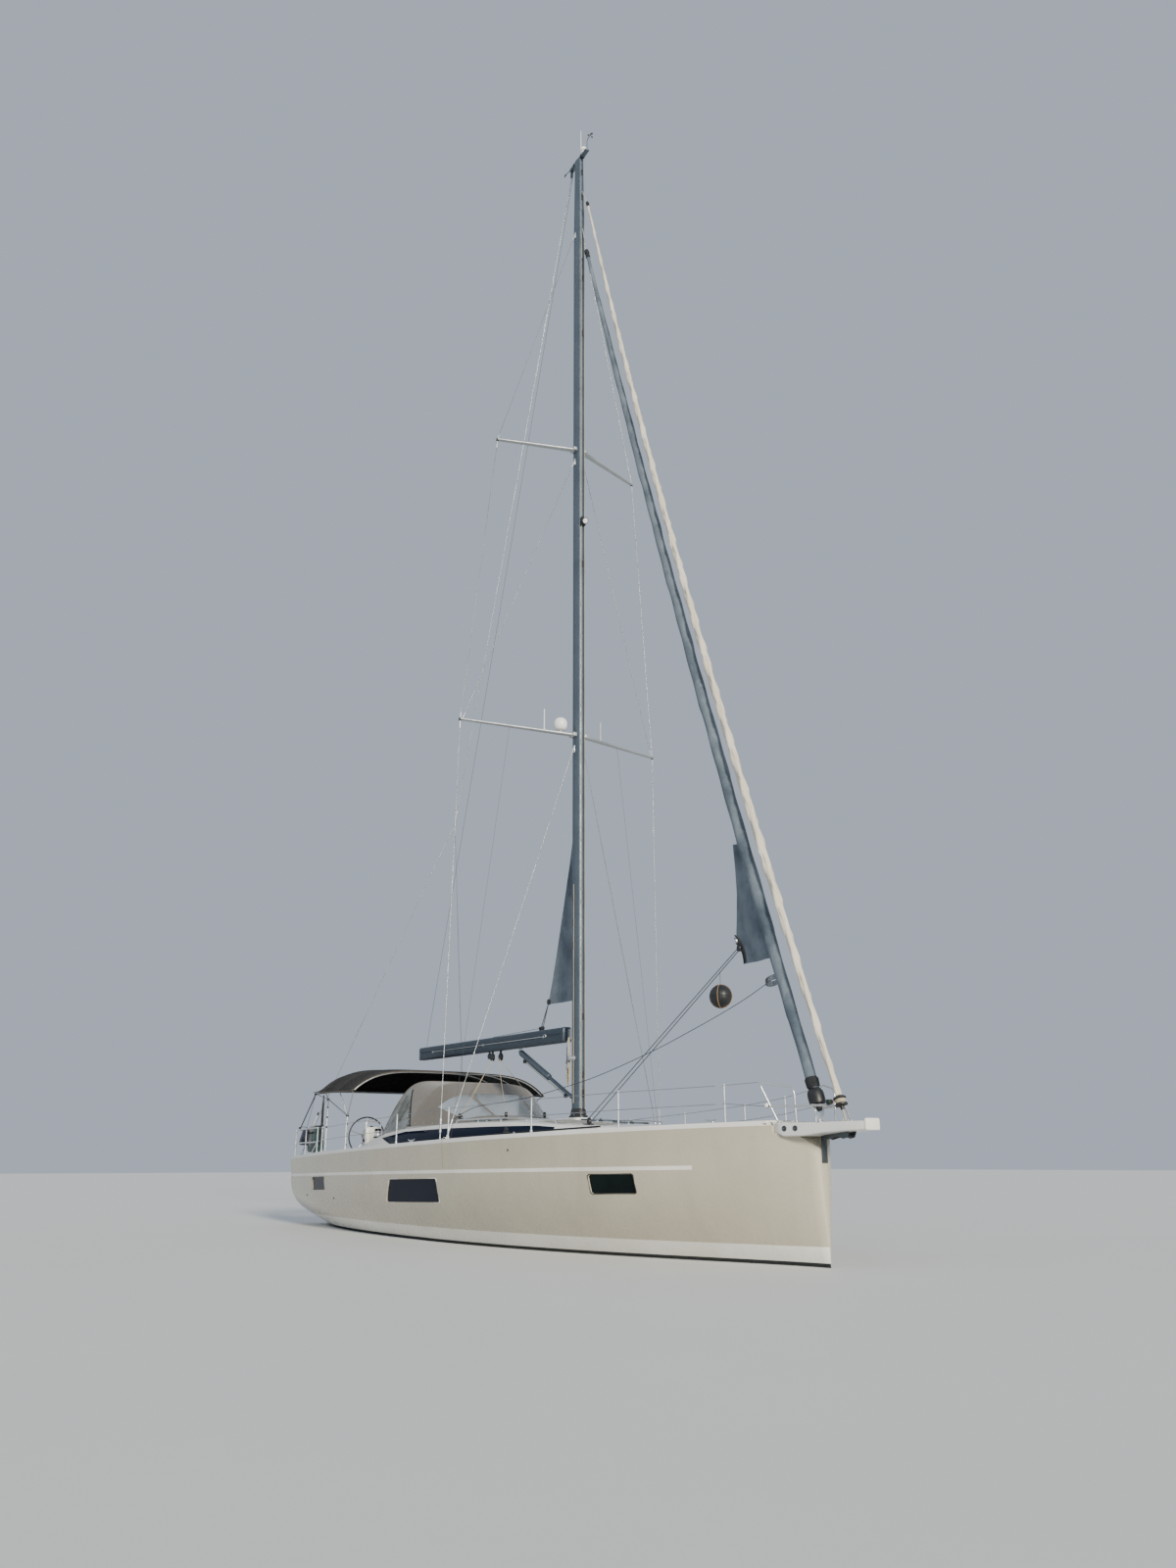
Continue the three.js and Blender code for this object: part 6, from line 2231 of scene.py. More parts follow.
@dataclass
class Sprayhood:
    """The hood over the companionway, with its windows and bows."""

    rows: tuple[tuple[float, ...], ...] = (
        (0.0, -3.72, 0.7, 1.495, 1.764, 2.79, 9.0), (0.3, -3.43, 0.53, 1.5, 1.8056, 2.785, 8.0),
        (1.0, -2.44, 0.24, 1.46, 1.899, 2.73, 5.0), (2.0, -1.4, 0.65, 1.05, 1.943, 2.0, 4.0))
    panes: tuple[Pair, ...] = ((-0.84, -0.42), (-0.38, 0.38), (0.42, 0.84))
    pane_rows: Pair = (1.3, 1.9)

    def point(self, v: float, across: float, lift: float = 0.0) -> Vector:
        """A place on the hood: v runs from the aft bow over the middle bow to the front.

        Args:
            v: Place along the hood, from 0 to 2.
            across: From -1 at starboard to 1 at port.
            lift: How far over the cloth it is.

        Returns:
            The place.
        """
        x, lean, half, edge, crown, power = mixed(self.rows, v)
        rise = 1 - abs(across) ** power
        sag = 0.03 * abs(math.sin(math.pi * v)) * (1 - across**4) * (1.0 if v < 1 else 0.4)
        base = Vector((x + lean * rise, across * half, edge + (crown - edge) * rise))
        up = Vector((0.35 * max(0.0, v - 1), 2 * across**5, 1.0)).normalized()
        return base + up * (lift - sag - 0.003)

    def side_plane(self, sign: int) -> tuple[Vector, Vector]:
        """The plane that parts the clear side panel from the canvas."""
        low, high = self.point(1.02, sign * 0.999), self.point(0.32, sign * 0.8)
        return low, (high - low).cross(Vector((0, sign, 0.2))).normalized()

    def tone(self, middle: Vector, v: float, across: float) -> int:
        """Which finish a face has: 0 canvas, 1 clear pane, 2 crumpled clear panel.

        Args:
            middle: Middle of the face.
            v: Its place along the hood.
            across: Its place across.

        Returns:
            The finish's index.
        """
        if self.pane_rows[0] < v < self.pane_rows[1] and any(a < across < b for a, b in self.panes):
            return 1
        if v < 1.1 and abs(across) > 0.8:
            mirror = 1 if across > 0 else -1
            low, normal = self.side_plane(mirror)
            if (middle - low).dot(normal) * mirror > 0:
                return 2
        return 0

    def build_cloth(self) -> None:
        """Makes the canvas with its clear panels in one sheet."""
        marks = sorted({round(a, 4) for pair in self.panes for a in pair})
        acrosses = sorted({round(a, 4) for a in eased(24)} | set(marks))
        vs = sorted({round(i / 20, 4) for i in range(41)} | set(self.pane_rows))
        grid = [[self.point(v, a) for a in acrosses] for v in vs]
        shape = Shape()
        verts = [[shape.bm.verts.new(p) for p in row] for row in grid]
        for i in range(len(vs) - 1):
            for j in range(len(acrosses) - 1):
                shape.bm.faces.new((verts[i][j], verts[i][j + 1], verts[i + 1][j + 1], verts[i + 1][j]))
        for sign in (-1, 1):
            low, normal = self.side_plane(sign)
            near = [f for f in shape.bm.faces
                    if f.calc_center_median().y * sign > 0.9 and f.calc_center_median().x < -2.0]
            parts = list({*near, *[e for f in near for e in f.edges], *[q for f in near for q in f.verts]})
            bmesh.ops.bisect_plane(shape.bm, geom=parts, plane_co=low, plane_no=normal)
        for face in shape.bm.faces:
            middle = face.calc_center_median()
            v, across = self.locate(middle)
            face.material_index = self.tone(middle, v, across)
        for vert in shape.bm.verts:
            if vert.link_faces and all(f.material_index == 2
                                       for f in vert.link_faces) and not vert.is_boundary:
                wave = noise.noise(vert.co * 6.0) * 0.035 + noise.noise(vert.co * 15.0) * 0.014
                vert.co += vert.normal * wave
        bmesh.ops.solidify(shape.bm, geom=shape.bm.faces[:], thickness=0.003)
        cloth = shape.piece("sprayhood_cloth", [Shades.HOOD, Shades.CLEAR, Shades.SMOKED], angle=50.0)
        trim = self.trim(grid)
        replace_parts(cloth, "sprayhood")

    def locate(self, place: Vector) -> Pair:
        """The row and the place across that a point on the hood has.

        Args:
            place: A point on the hood.

        Returns:
            The row, and the place across.
        """
        v = 1.0
        across = 0.0
        for _ in range(12):
            x, lean, half, _, _, power = mixed(self.rows, v)
            across = max(-1.0, min(1.0, place.y / half))
            error = place.x - (x + lean * (1 - abs(across) ** power))
            v = max(0.0, min(2.0, v + error * 0.9))
        return v, across

    def trim(self, grid: Sequence[Sequence[Vector]]) -> Obj:
        """Makes the hems, seams, window frames and the side panels' piping.

        Args:
            grid: Points of the cloth.

        Returns:
            The piece.
        """
        shape = Shape()
        wide = eased(24)
        for line in (grid[0], grid[-1], [row[0] for row in grid], [row[-1] for row in grid]):
            shape.tube(line, 0.008, 8)
        for v in (0.03, 0.97, 1.0, 1.03):
            shape.tube([self.point(v, a, 0.002) for a in wide], 0.0035, 6)
        for sign in (-1, 1):
            run = []
            for i in range(25):
                across = sign * (1 - 0.2 * (i / 24) ** 2)
                low, normal = self.side_plane(sign)
                ends = [0.0, 1.1]
                for _ in range(24):
                    v = sum(ends) / 2
                    inside = (self.point(v, across) - low).dot(normal) * sign > 0
                    ends[0 if inside else 1] = v
                run.append(self.point(sum(ends) / 2, across, 0.006))
            shape.tube(run, 0.013, 10, 1)
            shape.tube([self.point(0.5 + 0.5 * i / 12, sign * (0.93 - 0.14 * (i / 12)), 0.003)
                        for i in range(13)], 0.003, 6)
            shape.tube([self.point(1.0 - 0.45 * i / 12, sign * 0.9, 0.003) for i in range(13)], 0.003, 6)
            shape.tube([self.point(0.55, sign * (0.3 + 0.6 * i / 12), 0.003) for i in range(13)], 0.003, 6)
        for a0, a1 in self.panes:
            v0, v1 = self.pane_rows
            corners = ((v0, a0), (v0, a1), (v1, a1), (v1, a0), (v0, a0))
            run = []
            for (p, q), (r, s) in zip(corners, corners[1:]):
                run += [self.point(p + (r - p) * i / 10, q + (s - q) * i / 10, 0.001) for i in range(10)]
            shape.tube(run + [run[0]], 0.006, 6)
        return shape.piece("sprayhood_trim", [Shades.HOOD, Shades.BLACK], angle=50.0)

    def build_bows(self) -> None:
        """Makes the steel bows under the hood and its fasteners."""
        shape = Shape()
        wide = [0.985 * a for a in eased(20)]
        for v in (0.04, 1.0):
            shape.tube([self.point(v, a, -0.022) for a in wide], 0.0125, 12)
        for sign in (-1, 1):
            shape.tube([self.point(0.04, sign * 0.9, -0.025), self.point(1.0, sign * 0.985, -0.03)], 0.0105,
                       10)
        shape.piece("sprayhood_bows", Shades.STEEL)
        studs = Shape()
        for sign in (-1, 1):
            for i in range(9):
                base = self.point(0.1 + 0.2 * i, sign * 0.985, 0.002)
                studs.turned([(0, 0.009), (0.003, 0.009), (0.005, 0.004)], base, (0, sign, 0.15), 10)
        studs.piece("sprayhood_studs", Shades.STEEL)

    def build(self) -> None:
        """Makes the bows, then the cloth over them."""
        self.build_bows()
        self.build_cloth()


# Coachroof and cockpit


@dataclass
class Walls:
    """The sloping sides of the coachroof and of the cockpit coamings."""

    roof: tuple[tuple[float, ...], ...] = (
        (-2.44, 1.64, 1.52, 1.88, 1.96), (-1.0, 1.61, 1.48, 1.9, 1.975), (0.5, 1.5, 1.37, 1.895, 1.965),
        (1.36, 1.4, 1.28, 1.88, 1.95), (2.5, 1.2, 1.09, 1.81, 1.865), (3.5, 0.92, 0.83, 1.76, 1.8),
        (4.1, 0.7, 0.62, 1.725, 1.745), (4.24, 0.62, 0.56, 1.695, 1.712))
    coaming: tuple[tuple[float, ...], ...] = ((-5.32, 1.6, 1.47, 1.43), (-5.1, 1.62, 1.48, 1.5),
                                              (-4.3, 1.66, 1.5, 1.68), (-3.43, 1.66, 1.52, 1.805),
                                              (-2.4403, 1.64, 1.52, 1.88))

    def row(self, x: float) -> list[float]:
        """Half width at the foot and at the shoulder, and the shoulder's height."""
        return mixed(self.coaming if x < -2.44 else self.roof, x)[:3]

    def half(self, x: float, z: float) -> float:
        """Half width of the wall at a height.

        Args:
            x: Place along the yacht.
            z: Height.

        Returns:
            The half width.
        """
        foot, shoulder, edge = self.row(x)
        base = LINES.sheer(x)
        return foot + (shoulder - foot) * (z - base) / (edge - base)

    def top(self, x: float, y: float) -> float:
        """Height of the coachroof's surface."""
        _, shoulder, edge, crown = mixed(self.roof, x)
        return edge + (crown - edge) * (1 - min(1.0, abs(y) / shoulder) ** 2.2)


WALLS = Walls()


def planks(shape: Shape, x: Pair, y: Pair, z: float, wide: float = 0.056,
           tones: tuple[int, int] = (0, 1)) -> None:
    """Lays boards along the yacht with black caulking between them.

    Args:
        shape: Shape that they are added to.
        x: Aft and fore edge.
        y: Starboard and port edge.
        z: Height of what they lie on.
        wide: About how wide a board is.
        tones: Material index of the boards and of the caulking.
    """
    count = max(1, round((y[1] - y[0]) / wide))
    step = (y[1] - y[0]) / count
    shape.box((x[0], y[0], z + SEAM), (x[1], y[1], z + 0.006), 0.0, tones[1])
    for i in range(count):
        low = y[0] + i * step + 0.002
        shape.box((x[0] + 0.003, low, z + 0.004), (x[1] - 0.003, low + step - 0.004, z + 0.008), 0.0,
                  tones[0])


@dataclass
class Coachroof:
    """The coachroof moulding with its window band, slide cover, hatches and fittings."""

    inset: float = 0.06
    sill: tuple[Pair, ...] = ((-3.56, 1.704), (-2.9, 1.555), (-1.4, 1.578), (-0.5, 1.602), (1.7, 1.662),
                              (2.49, 1.743))
    head: tuple[Pair, ...] = ((-3.56, 1.711), (-2.44, 1.805), (-0.7, 1.824), (0.8, 1.82), (2.0, 1.808),
                              (2.49, 1.775))

    def section(self, x: float, inset: float = 0.0, low: float | None = None) -> list[Point]:
        """Points of the roof's section, from the starboard foot over the top to the port foot.

        Args:
            x: Place along the roof.
            inset: How far inside the outer skin.
            low: Height of its foot, if not the deck's edge.

        Returns:
            The points.
        """
        foot, shoulder, edge, _ = mixed(WALLS.roof, x)
        base = LINES.sheer(x) + SEAM if low is None else low
        round_off = min(0.055, (edge - LINES.sheer(x)) * 0.35)
        start = shoulder if low is not None else foot
        side = rounded([(x, start - inset, base), (x, shoulder - inset, edge - inset),
                        (x, shoulder * 0.8, WALLS.top(x, shoulder * 0.8) - inset)], round_off, 5)
        port = [tuple(p) for p in side]
        port += [(x, shoulder * k, WALLS.top(x, shoulder * k) - inset) for k in (0.6, 0.4, 0.2)]
        return [(a, -b, c) for a, b, c in port] + [(x, 0.0, WALLS.top(x, 0) - inset)] + port[::-1]

    def build_shell(self) -> None:
        """Makes the moulding, hollow and open at the companionway."""
        xs = sorted({round(-2.44 + 6.54 * i / 36, 4) for i in range(37)} | {x for x,
                                                                            *_ in WALLS.roof} | {4.17})
        roof = Shape().loft([self.section(x) for x in xs]).mesh("roof_shell")
        cavity = Shape().loft([self.section(x, self.inset, 1.0) for x in xs if -2.36 < x < 3.0], 2)
        door = Shape().box((-2.6, -DOOR_HALF, 1.56), (-1.7, DOOR_HALF, CLEAR_HIGH), 0.02)
        finishes = [Shades.WHITE, Shades.GRIP, Shades.LINING]
        made = cut(roof, [cavity, door], "roof_shell", finishes)
        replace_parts(place_mesh("roof_shell", made, "hull", finishes, 32.0), "coachroof")
        trim = Shape()
        for sign in (-1, 1):
            trim.side_box(sign, (-2.44, 0.335, 1.9), (-1.04, 0.42, 1.99), 0.014)
        trim.box((-1.7, -0.36, 1.9), (-1.05, 0.36, 1.986), 0.02)
        trim.slab((1.145, 1.575), 0.175, 0.06, ((0.0, 1.9), (0.0, 1.955), (0.004, 1.962), (0.012, 1.965)))
        for y in (-0.38, 0.38):
            trim.tube([(-2.44, y, 1.99), (-1.2, y, 1.99)], 0.005, 6, 1)
        trim.piece("roof_slide_cover", [Shades.WHITE, Shades.STEEL])

    def build_grip(self) -> None:
        """Makes the moulded grip panels on the roof."""
        shape = Shape()
        for x0, x1, y0, y1 in ((-0.6, 0.95, 0.5, 1.22), (1.7, 2.5, 0.36, 0.98), (2.62, 3.4, 0.32, 0.76),
                               (-0.9, 0.95, 0.0, 0.42)):
            for sign in (-1, 1):
                grid = []
                for i in range(9):
                    x = x0 + (x1 - x0) * i / 8
                    limit = mixed(WALLS.roof, x)[1] - 0.1
                    ys = [sign * (y0 + (min(y1, limit) - y0) * j / 6) for j in range(7)]
                    grid.append([(x, y, WALLS.top(x, y) + 0.0015) for y in ys])
                shape.cloth(grid if sign > 0 else [row[::-1] for row in grid], 0.002)
        shape.piece("roof_grip", Shades.GRIP)

    def build_panes(self) -> None:
        """Makes the dark window band of each side, bonded over the wall."""
        rows = {x for x, *_ in (*WALLS.roof, *WALLS.coaming) if -3.56 < x < 2.49}
        xs = sorted({x for x, _ in (*self.sill, *self.head)} | rows | {round(-3.5 + i * 0.25, 3)
                                                                       for i in range(24)})
        for side, sign in SIDES:
            rings = []
            for x in xs:
                low, high = mixed(self.sill, x)[0], mixed(self.head, x)[0]
                soft = min(0.004, (high - low) / 4)
                ring = []
                for z, depth in ((low, -0.012), (low, 0.0), (low + soft, 0.003), ((low + high) / 2, 0.003),
                                 (high - soft, 0.003), (high, 0.0), (high, -0.012)):
                    ring.append((x, sign * (WALLS.half(x, z) + depth), z))
                rings.append(ring)
            pane = Shape().loft(rings)
            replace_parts(pane.piece(f"cabin_pane_{side}", Shades.NAVY_GLASS, angle=60.0),
                        f"cabin_window_{side}")

    def hatch(self, shape: Shape, x0: float, x1: float, half: float, y: float) -> None:
        """Adds a low hatch with a metal frame, a smoked pane, hinges and handles.

        Args:
            shape: Shape that it is added to, with tones frame, pane and black.
            x0: Aft edge.
            x1: Fore edge.
            half: Half its width.
            y: Its middle.
        """
        za, zf = WALLS.top(x0, y), WALLS.top(x1, y)
        levels = ((0.0, -0.02), (0.0, 0.012), (-0.004, 0.018), (-0.03, 0.018), (-0.032, 0.012))
        shape.loft([plan_ring((x0 - g, x1 + g), half + g, 0.05 + g / 2, (za + up, zf + up), y) for g,
                    up in levels])
        shape.loft([plan_ring((x0 + g, x1 - g), half - g, 0.03, (za + up, zf + up), y)
                    for g, up in ((0.033, 0.01), (0.033, 0.016), (0.036, 0.017))], 1)
        for s in (-1, 1):
            shape.box((x1 - 0.02, y + s * half * 0.6 - 0.03, zf - 0.01),
                      (x1 + 0.03, y + s * half * 0.6 + 0.03, zf + 0.022), 0.005, 2)
            shape.turned([(0, 0.018), (0.008, 0.018), (0.01, 0.012)], (x0 + 0.08, y + s * half * 0.5,
                                                                       za + 0.016), UP, 16, 2)

    def build_fittings(self) -> None:
        """Makes hatches, handrails, clutches and line guides."""
        glass = Shape()
        for x0, x1, half, y in ((2.75, 3.2, 0.22, 0.0), (-0.5, -0.05, 0.2, 0.86), (-0.5, -0.05, 0.2, -0.86),
                                (1.8, 2.3, 0.24, 0.0)):
            self.hatch(glass, x0, x1, half, y)
        glass.piece("roof_hatches", [Shades.SPAR, Shades.NAVY_GLASS, Shades.BLACK])
        metal = Shape()
        for sign in (-1, 1):
            run = []
            for i in range(13):
                x = -0.55 + 2.9 * i / 12
                y = sign * (mixed(WALLS.roof, x)[1] - 0.09)
                run.append(Vector((x, y, WALLS.top(x, y) + 0.055)))
            ends = [run[0] + Vector((-0.05, 0, -0.06)), *run, run[-1] + Vector((0.05, 0, -0.06))]
            metal.tube(rounded(ends, 0.03, 4), 0.0125, 12)
            for p in run[3:-1:3]:
                metal.tube([p, p - above(0.06)], 0.009, 10)
                metal.turned([(-0.001, 0.024), (0.005, 0.022)], p - above(0.055), UP, 16)
            for k in range(4):
                y = sign * (0.52 + 0.062 * k)
                z = WALLS.top(-2.0, y)
                metal.box((-2.1, y - 0.024, z - 0.004), (-1.88, y + 0.024, z + 0.05), 0.008, 1)
                metal.box((-2.08, y - 0.014, z + 0.048), (-1.95, y + 0.014, z + 0.066), 0.006, 1)
                z = WALLS.top(0.72, y)
                metal.turned([(0, 0.028), (0.006, 0.03), (0.01, 0.022), (0.02, 0.022), (0.024, 0.03),
                              (0.03, 0.028)], (0.72, sign * (0.3 + 0.075 * k), z + 0.001), UP, 18, 1)
            z = WALLS.top(-2.2, sign * 0.95)
            metal.turned([(0, 0.075), (0.02, 0.075), (0.03, 0.06)], (-2.2, sign * 0.95, z - 0.008), UP, 28,
                         1)
            metal.turned([(0.03, 0.06), (0.05, 0.046), (0.09, 0.042), (0.13, 0.055), (0.14, 0.06),
                          (0.155, 0.06), (0.16, 0.03)], (-2.2, sign * 0.95, z - 0.008), UP, 28)
        metal.piece("roof_fittings", [Shades.STEEL, Shades.BLACK])

    def build_slide(self) -> None:
        """Makes the companionway's sliding hatch with its frame and handle."""
        z0, z1 = 1.9903, 2.0197
        shape = Shape()
        shape.slab((-2.48, -1.64), 0.4, 0.03, ((0.0, z0), (0.0, z0 + 0.014), (0.003, z0 + 0.018),
                                               (0.025, z0 + 0.018)), 1)
        shape.slab((-2.455, -1.665), 0.375, 0.03, ((0.0, z0 + 0.01), (0.0, z1 - 0.004), (0.004, z1)))
        shape.tube(rounded([(-2.44, -0.14, z1 - 0.012), (-2.44, -0.14, z1 + 0.018),
                            (-2.44, 0.14, z1 + 0.018), (-2.44, 0.14, z1 - 0.012)], 0.015, 4), 0.007, 10, 2)
        piece = shape.piece("companionway_slide_pane", [Shades.NAVY_GLASS, Shades.SPAR, Shades.STEEL],
                            "companionway_hatch")
        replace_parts(piece, "companionway_hatch")

    def build(self) -> None:
        """Makes everything on the coachroof."""
        self.build_shell()
        self.build_grip()
        self.build_panes()
        self.build_fittings()
        self.build_slide()


@dataclass
class Cockpit:
    """The cockpit's moulding, boards, wheels, pedestals, table and winches."""

    aft: float = -6.95
    helm: float = -5.3
    fore: float = -2.56
    well: float = 1.25
    footwell: float = 0.72
    sole: float = 0.95
    seat: float = 1.38
    wheel_y: float = 0.88
    hub: float = 1.79
    wheel: float = 0.4
    face: float = -6.05
    plane: float = -6.13
    winch: Pair = (-4.25, 1.37)

    def build_moulding(self) -> None:
        """Makes the moulding: liner, coamings and bridge deck, with its wells cut."""
        fore = -2.4403
        liner = [[(x, -1.4, 0.9), (x, 1.4, 0.9), (x, 1.4, LINES.deck_top(x, 1.4)),
                  (x, -1.4, LINES.deck_top(x, 1.4))] for x in (self.aft, fore)]
        joins = [Shape().box((self.fore, -self.well, 1.2), (fore, self.well, 1.56), 0.0)]
        xs = sorted({x for x, *_ in WALLS.coaming} | {round(-5.2 + 0.18 * i, 3) for i in range(15)})
        for _, sign in SIDES:
            rings = []
            for x in xs:
                foot, top, z = WALLS.row(x)
                base = LINES.sheer(x) + SEAM
                soft = min(0.045, (z - base) * 0.4)
                path = rounded([(x, foot, base), (x, top, z), (x, 1.2, z)], soft,
                               5) + [Vector((x, 1.2, base))]
                rings.append([(p.x, sign * p.y, p.z) for p in path])
            joins.append(Shape().loft(rings))
            joins.append(Shape().turned([(0.0, 0.11), (0.105, 0.11), (0.112, 0.106), (0.115, 0.1)],
                                        (self.winch[0], sign * self.winch[1], 1.6), UP, 32))
        high = CLEAR_HIGH
        cutters = [Shape().box((self.aft - 0.4, -self.well, self.seat), (self.fore, self.well, high), 0.03),
                   Shape().box((self.aft - 0.4, -self.well, self.sole), (self.helm, self.well, high), 0.03),
                   Shape().box((self.helm - 0.1, -self.footwell, self.sole),
                               (self.fore, self.footwell, high), 0.03),
                   Shape().box((self.fore - 0.1, -DOOR_HALF, 1.56), (-1.7, DOOR_HALF, high)),]
        finishes = [Shades.WHITE]
        made = cut(Shape().loft(liner).mesh("cockpit_moulding"), cutters, "cockpit_moulding", finishes,
                   joins)
        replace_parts(place_mesh("cockpit_moulding", made, "hull", finishes, 30.0), "cockpit")

    def build_boards(self) -> None:
        """Lays the boards on the seats and soles."""
        shape = Shape()
        for y0, y1 in ((-1.22, -0.745), (0.745, 1.22)):
            planks(shape, (-5.27, -2.6), (y0, y1), self.seat)
        planks(shape, (-5.25, -2.6), (-0.68, 0.68), self.sole)
        planks(shape, (-5.69, -5.31), (-1.2, 1.2), self.sole)
        planks(shape, (-6.92, -6.08), (-1.2, 1.2), self.sole)
        for y0, y1 in ((-1.2, -1.06), (-0.7, 0.7), (1.06, 1.2)):
            planks(shape, (-6.075, -5.695), (y0, y1), self.sole)
        shape.piece("cockpit_boards", [Shades.TEAK, Shades.CAULK])

    def build_pedestals(self) -> None:
        """Makes the two steering pedestals with compass, displays and guard rail."""
        for side, sign in SIDES:
            y = sign * self.wheel_y
            rows = ((0.9503, 0.0, -5.72, 0.17), (0.97, 0.02, -5.745, 0.15), (1.4, 0.03, -5.77, 0.135),
                    (1.76, 0.015, -5.785, 0.14), (1.86, 0.0, -5.8, 0.15))
            rings = [plan_ring((self.face + back, fore), half, 0.05, (z, z), y) for z, back, fore,
                     half in rows]
            rings += [plan_ring((self.face + g, -5.8 - g), 0.15 - g, 0.05 - g, (1.88 + up, 1.98 + up), y)
                      for g, up in ((0.0, -0.02), (0.006, -0.006), (0.02, 0.0))]
            shape = Shape().loft(rings)
            x = -5.985
            z = 1.88 + 0.4 * (x - self.face)
            for k in (-1, 1):
                turn = Matrix.Translation((x, y + k * 0.068, z)) @ Matrix.Rotation(-math.atan(0.4), 4, "Y")
                shape.box((-0.045, -0.055, -0.004), (0.045, 0.055, 0.008), 0.004, 1, turn)
                shape.box((-0.036, -0.046, 0.004), (0.036, 0.046, 0.0095), 0.001, 2, turn)
            shape.turned([(-0.02, 0.062), (0.008, 0.062), (0.014, 0.054)], (-5.87, y, 1.952), (-0.37, 0, 1),
                         28, 1)
            shape.turned([(0.014, 0.05), (0.035, 0.042), (0.05, 0.026), (0.056, 0.004)], (-5.87, y, 1.952),
                         (-0.37, 0, 1), 28, 2)
            bar = [(-5.76, y - 0.17, 0.96), (-5.76, y - 0.17, 2.09), (-5.76, y + 0.17, 2.09),
                   (-5.76, y + 0.17, 0.96)]
            shape.tube(rounded(bar, 0.07, 6), 0.0125, 12, 3)
            for k in (-1, 1):
                shape.box((-5.79, y + k * 0.17 - (0.03 if k > 0 else 0), 1.55),
                          (-5.75, y + k * 0.17 + (0.03 if k < 0 else 0), 1.6), 0.006, 3)
            if sign < 0:
                shape.turned([(0, 0.03), (0.02, 0.03), (0.026, 0.022)], (-5.9, y - 0.14, 1.7), (0, -1, 0),
                             20, 1)
                shape.tube([(-5.9, y - 0.165, 1.7), (-5.93, y - 0.175, 1.78), (-5.96, y - 0.18, 1.83)],
                           [0.008, 0.007, 0.013], 10, 1)
            shape.turned([(0, 0.055), (0.02, 0.055), (0.0494, 0.045)], (self.face + 0.02, y, self.hub),
                         (-1, 0, 0), 24, 1)
            piece = shape.piece(f"pedestal_{side}", [Shades.WHITE, Shades.BLACK, Shades.NAVY_GLASS,
                                                     Shades.STEEL])
            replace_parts(piece, f"helm_pedestal_{side}")

    def build_wheels(self) -> None:
        """Makes the two wheels, each on its own axle."""
        for side, sign in SIDES:
            y, steps = sign * self.wheel_y, 72
            centre = Vector((self.plane, y, self.hub))
            rings = []
            for i in range(steps):
                a = i * TAU / steps
                out = Vector((0, math.cos(a), math.sin(a)))
                rings.append([centre + out * (self.wheel + 0.0155 * math.cos(k * TAU / 12))
                              + Vector((0.0155 * math.sin(k * TAU / 12), 0, 0)) for k in range(12)])
            shape = Shape()
            points = [p for ring in rings for p in ring]
            faces = [(i * 12 + k, i * 12 + (k + 1) % 12, ((i + 1) % steps) * 12 + (k + 1) % 12,
                      ((i + 1) % steps) * 12 + k) for i in range(steps) for k in range(12)]
            shape.add(points, faces, 1)
            for i in range(5):
                a = i * TAU / 5 + math.pi / 2
                out = Vector((0, math.cos(a), math.sin(a)))
                shape.tube([centre + out * 0.03 + Vector((0.012, 0, 0)),
                            centre + out * 0.2 + Vector((0.003, 0, 0)), centre + out * 0.39],
                           [0.013, 0.0095, 0.0085], 10)
            shape.turned([(-0.032, 0.012), (-0.03, 0.026), (-0.018, 0.04), (0.0, 0.045), (0.02, 0.045),
                          (0.0285, 0.03), (0.029, 0.02)], centre, AHEAD, 28)
            piece = shape.piece(f"wheel_{side}", [Shades.STEEL, Shades.BLACK], f"steering_wheel_{side}",
                                40.0)
            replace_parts(piece, f"steering_wheel_{side}")

    def build_table(self) -> None:
        """Makes the table: a boarded top with fiddles, a locker body and two legs."""
        shape = Shape()
        shape.slab((-4.7, -3.4), 0.38, 0.06, ((0.006, 1.6), (0.0, 1.606), (0.0, 1.63), (0.004, 1.634),
                                              (0.03, 1.634)), 1)
        planks(shape, (-4.63, -3.47), (-0.32, 0.32), 1.628, 0.06, (0, 3))
        for y in (-0.355, 0.355):
            shape.box((-4.6, y - 0.009, 1.63), (-3.5, y + 0.009, 1.6397), 0.003)
        shape.slab((-4.6, -3.5), 0.13, 0.04, ((0.02, 1.25), (0.004, 1.262), (0.0, 1.28), (0.0, 1.605)), 1)
        for x in (-4.44, -3.66):
            shape.turned([(0, 0.075), (0.008, 0.075), (0.014, 0.045), (0.3, 0.042)], (x, 0, 0.9503), UP, 24,
                         2)
        shape.box((-4.1, -0.137, 1.4), (-4.0, -0.128, 1.43), 0.003, 2)
        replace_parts(shape.piece("table", [Shades.TEAK, Shades.WHITE, Shades.SPAR, Shades.CAULK]),
                    "cockpit_table")

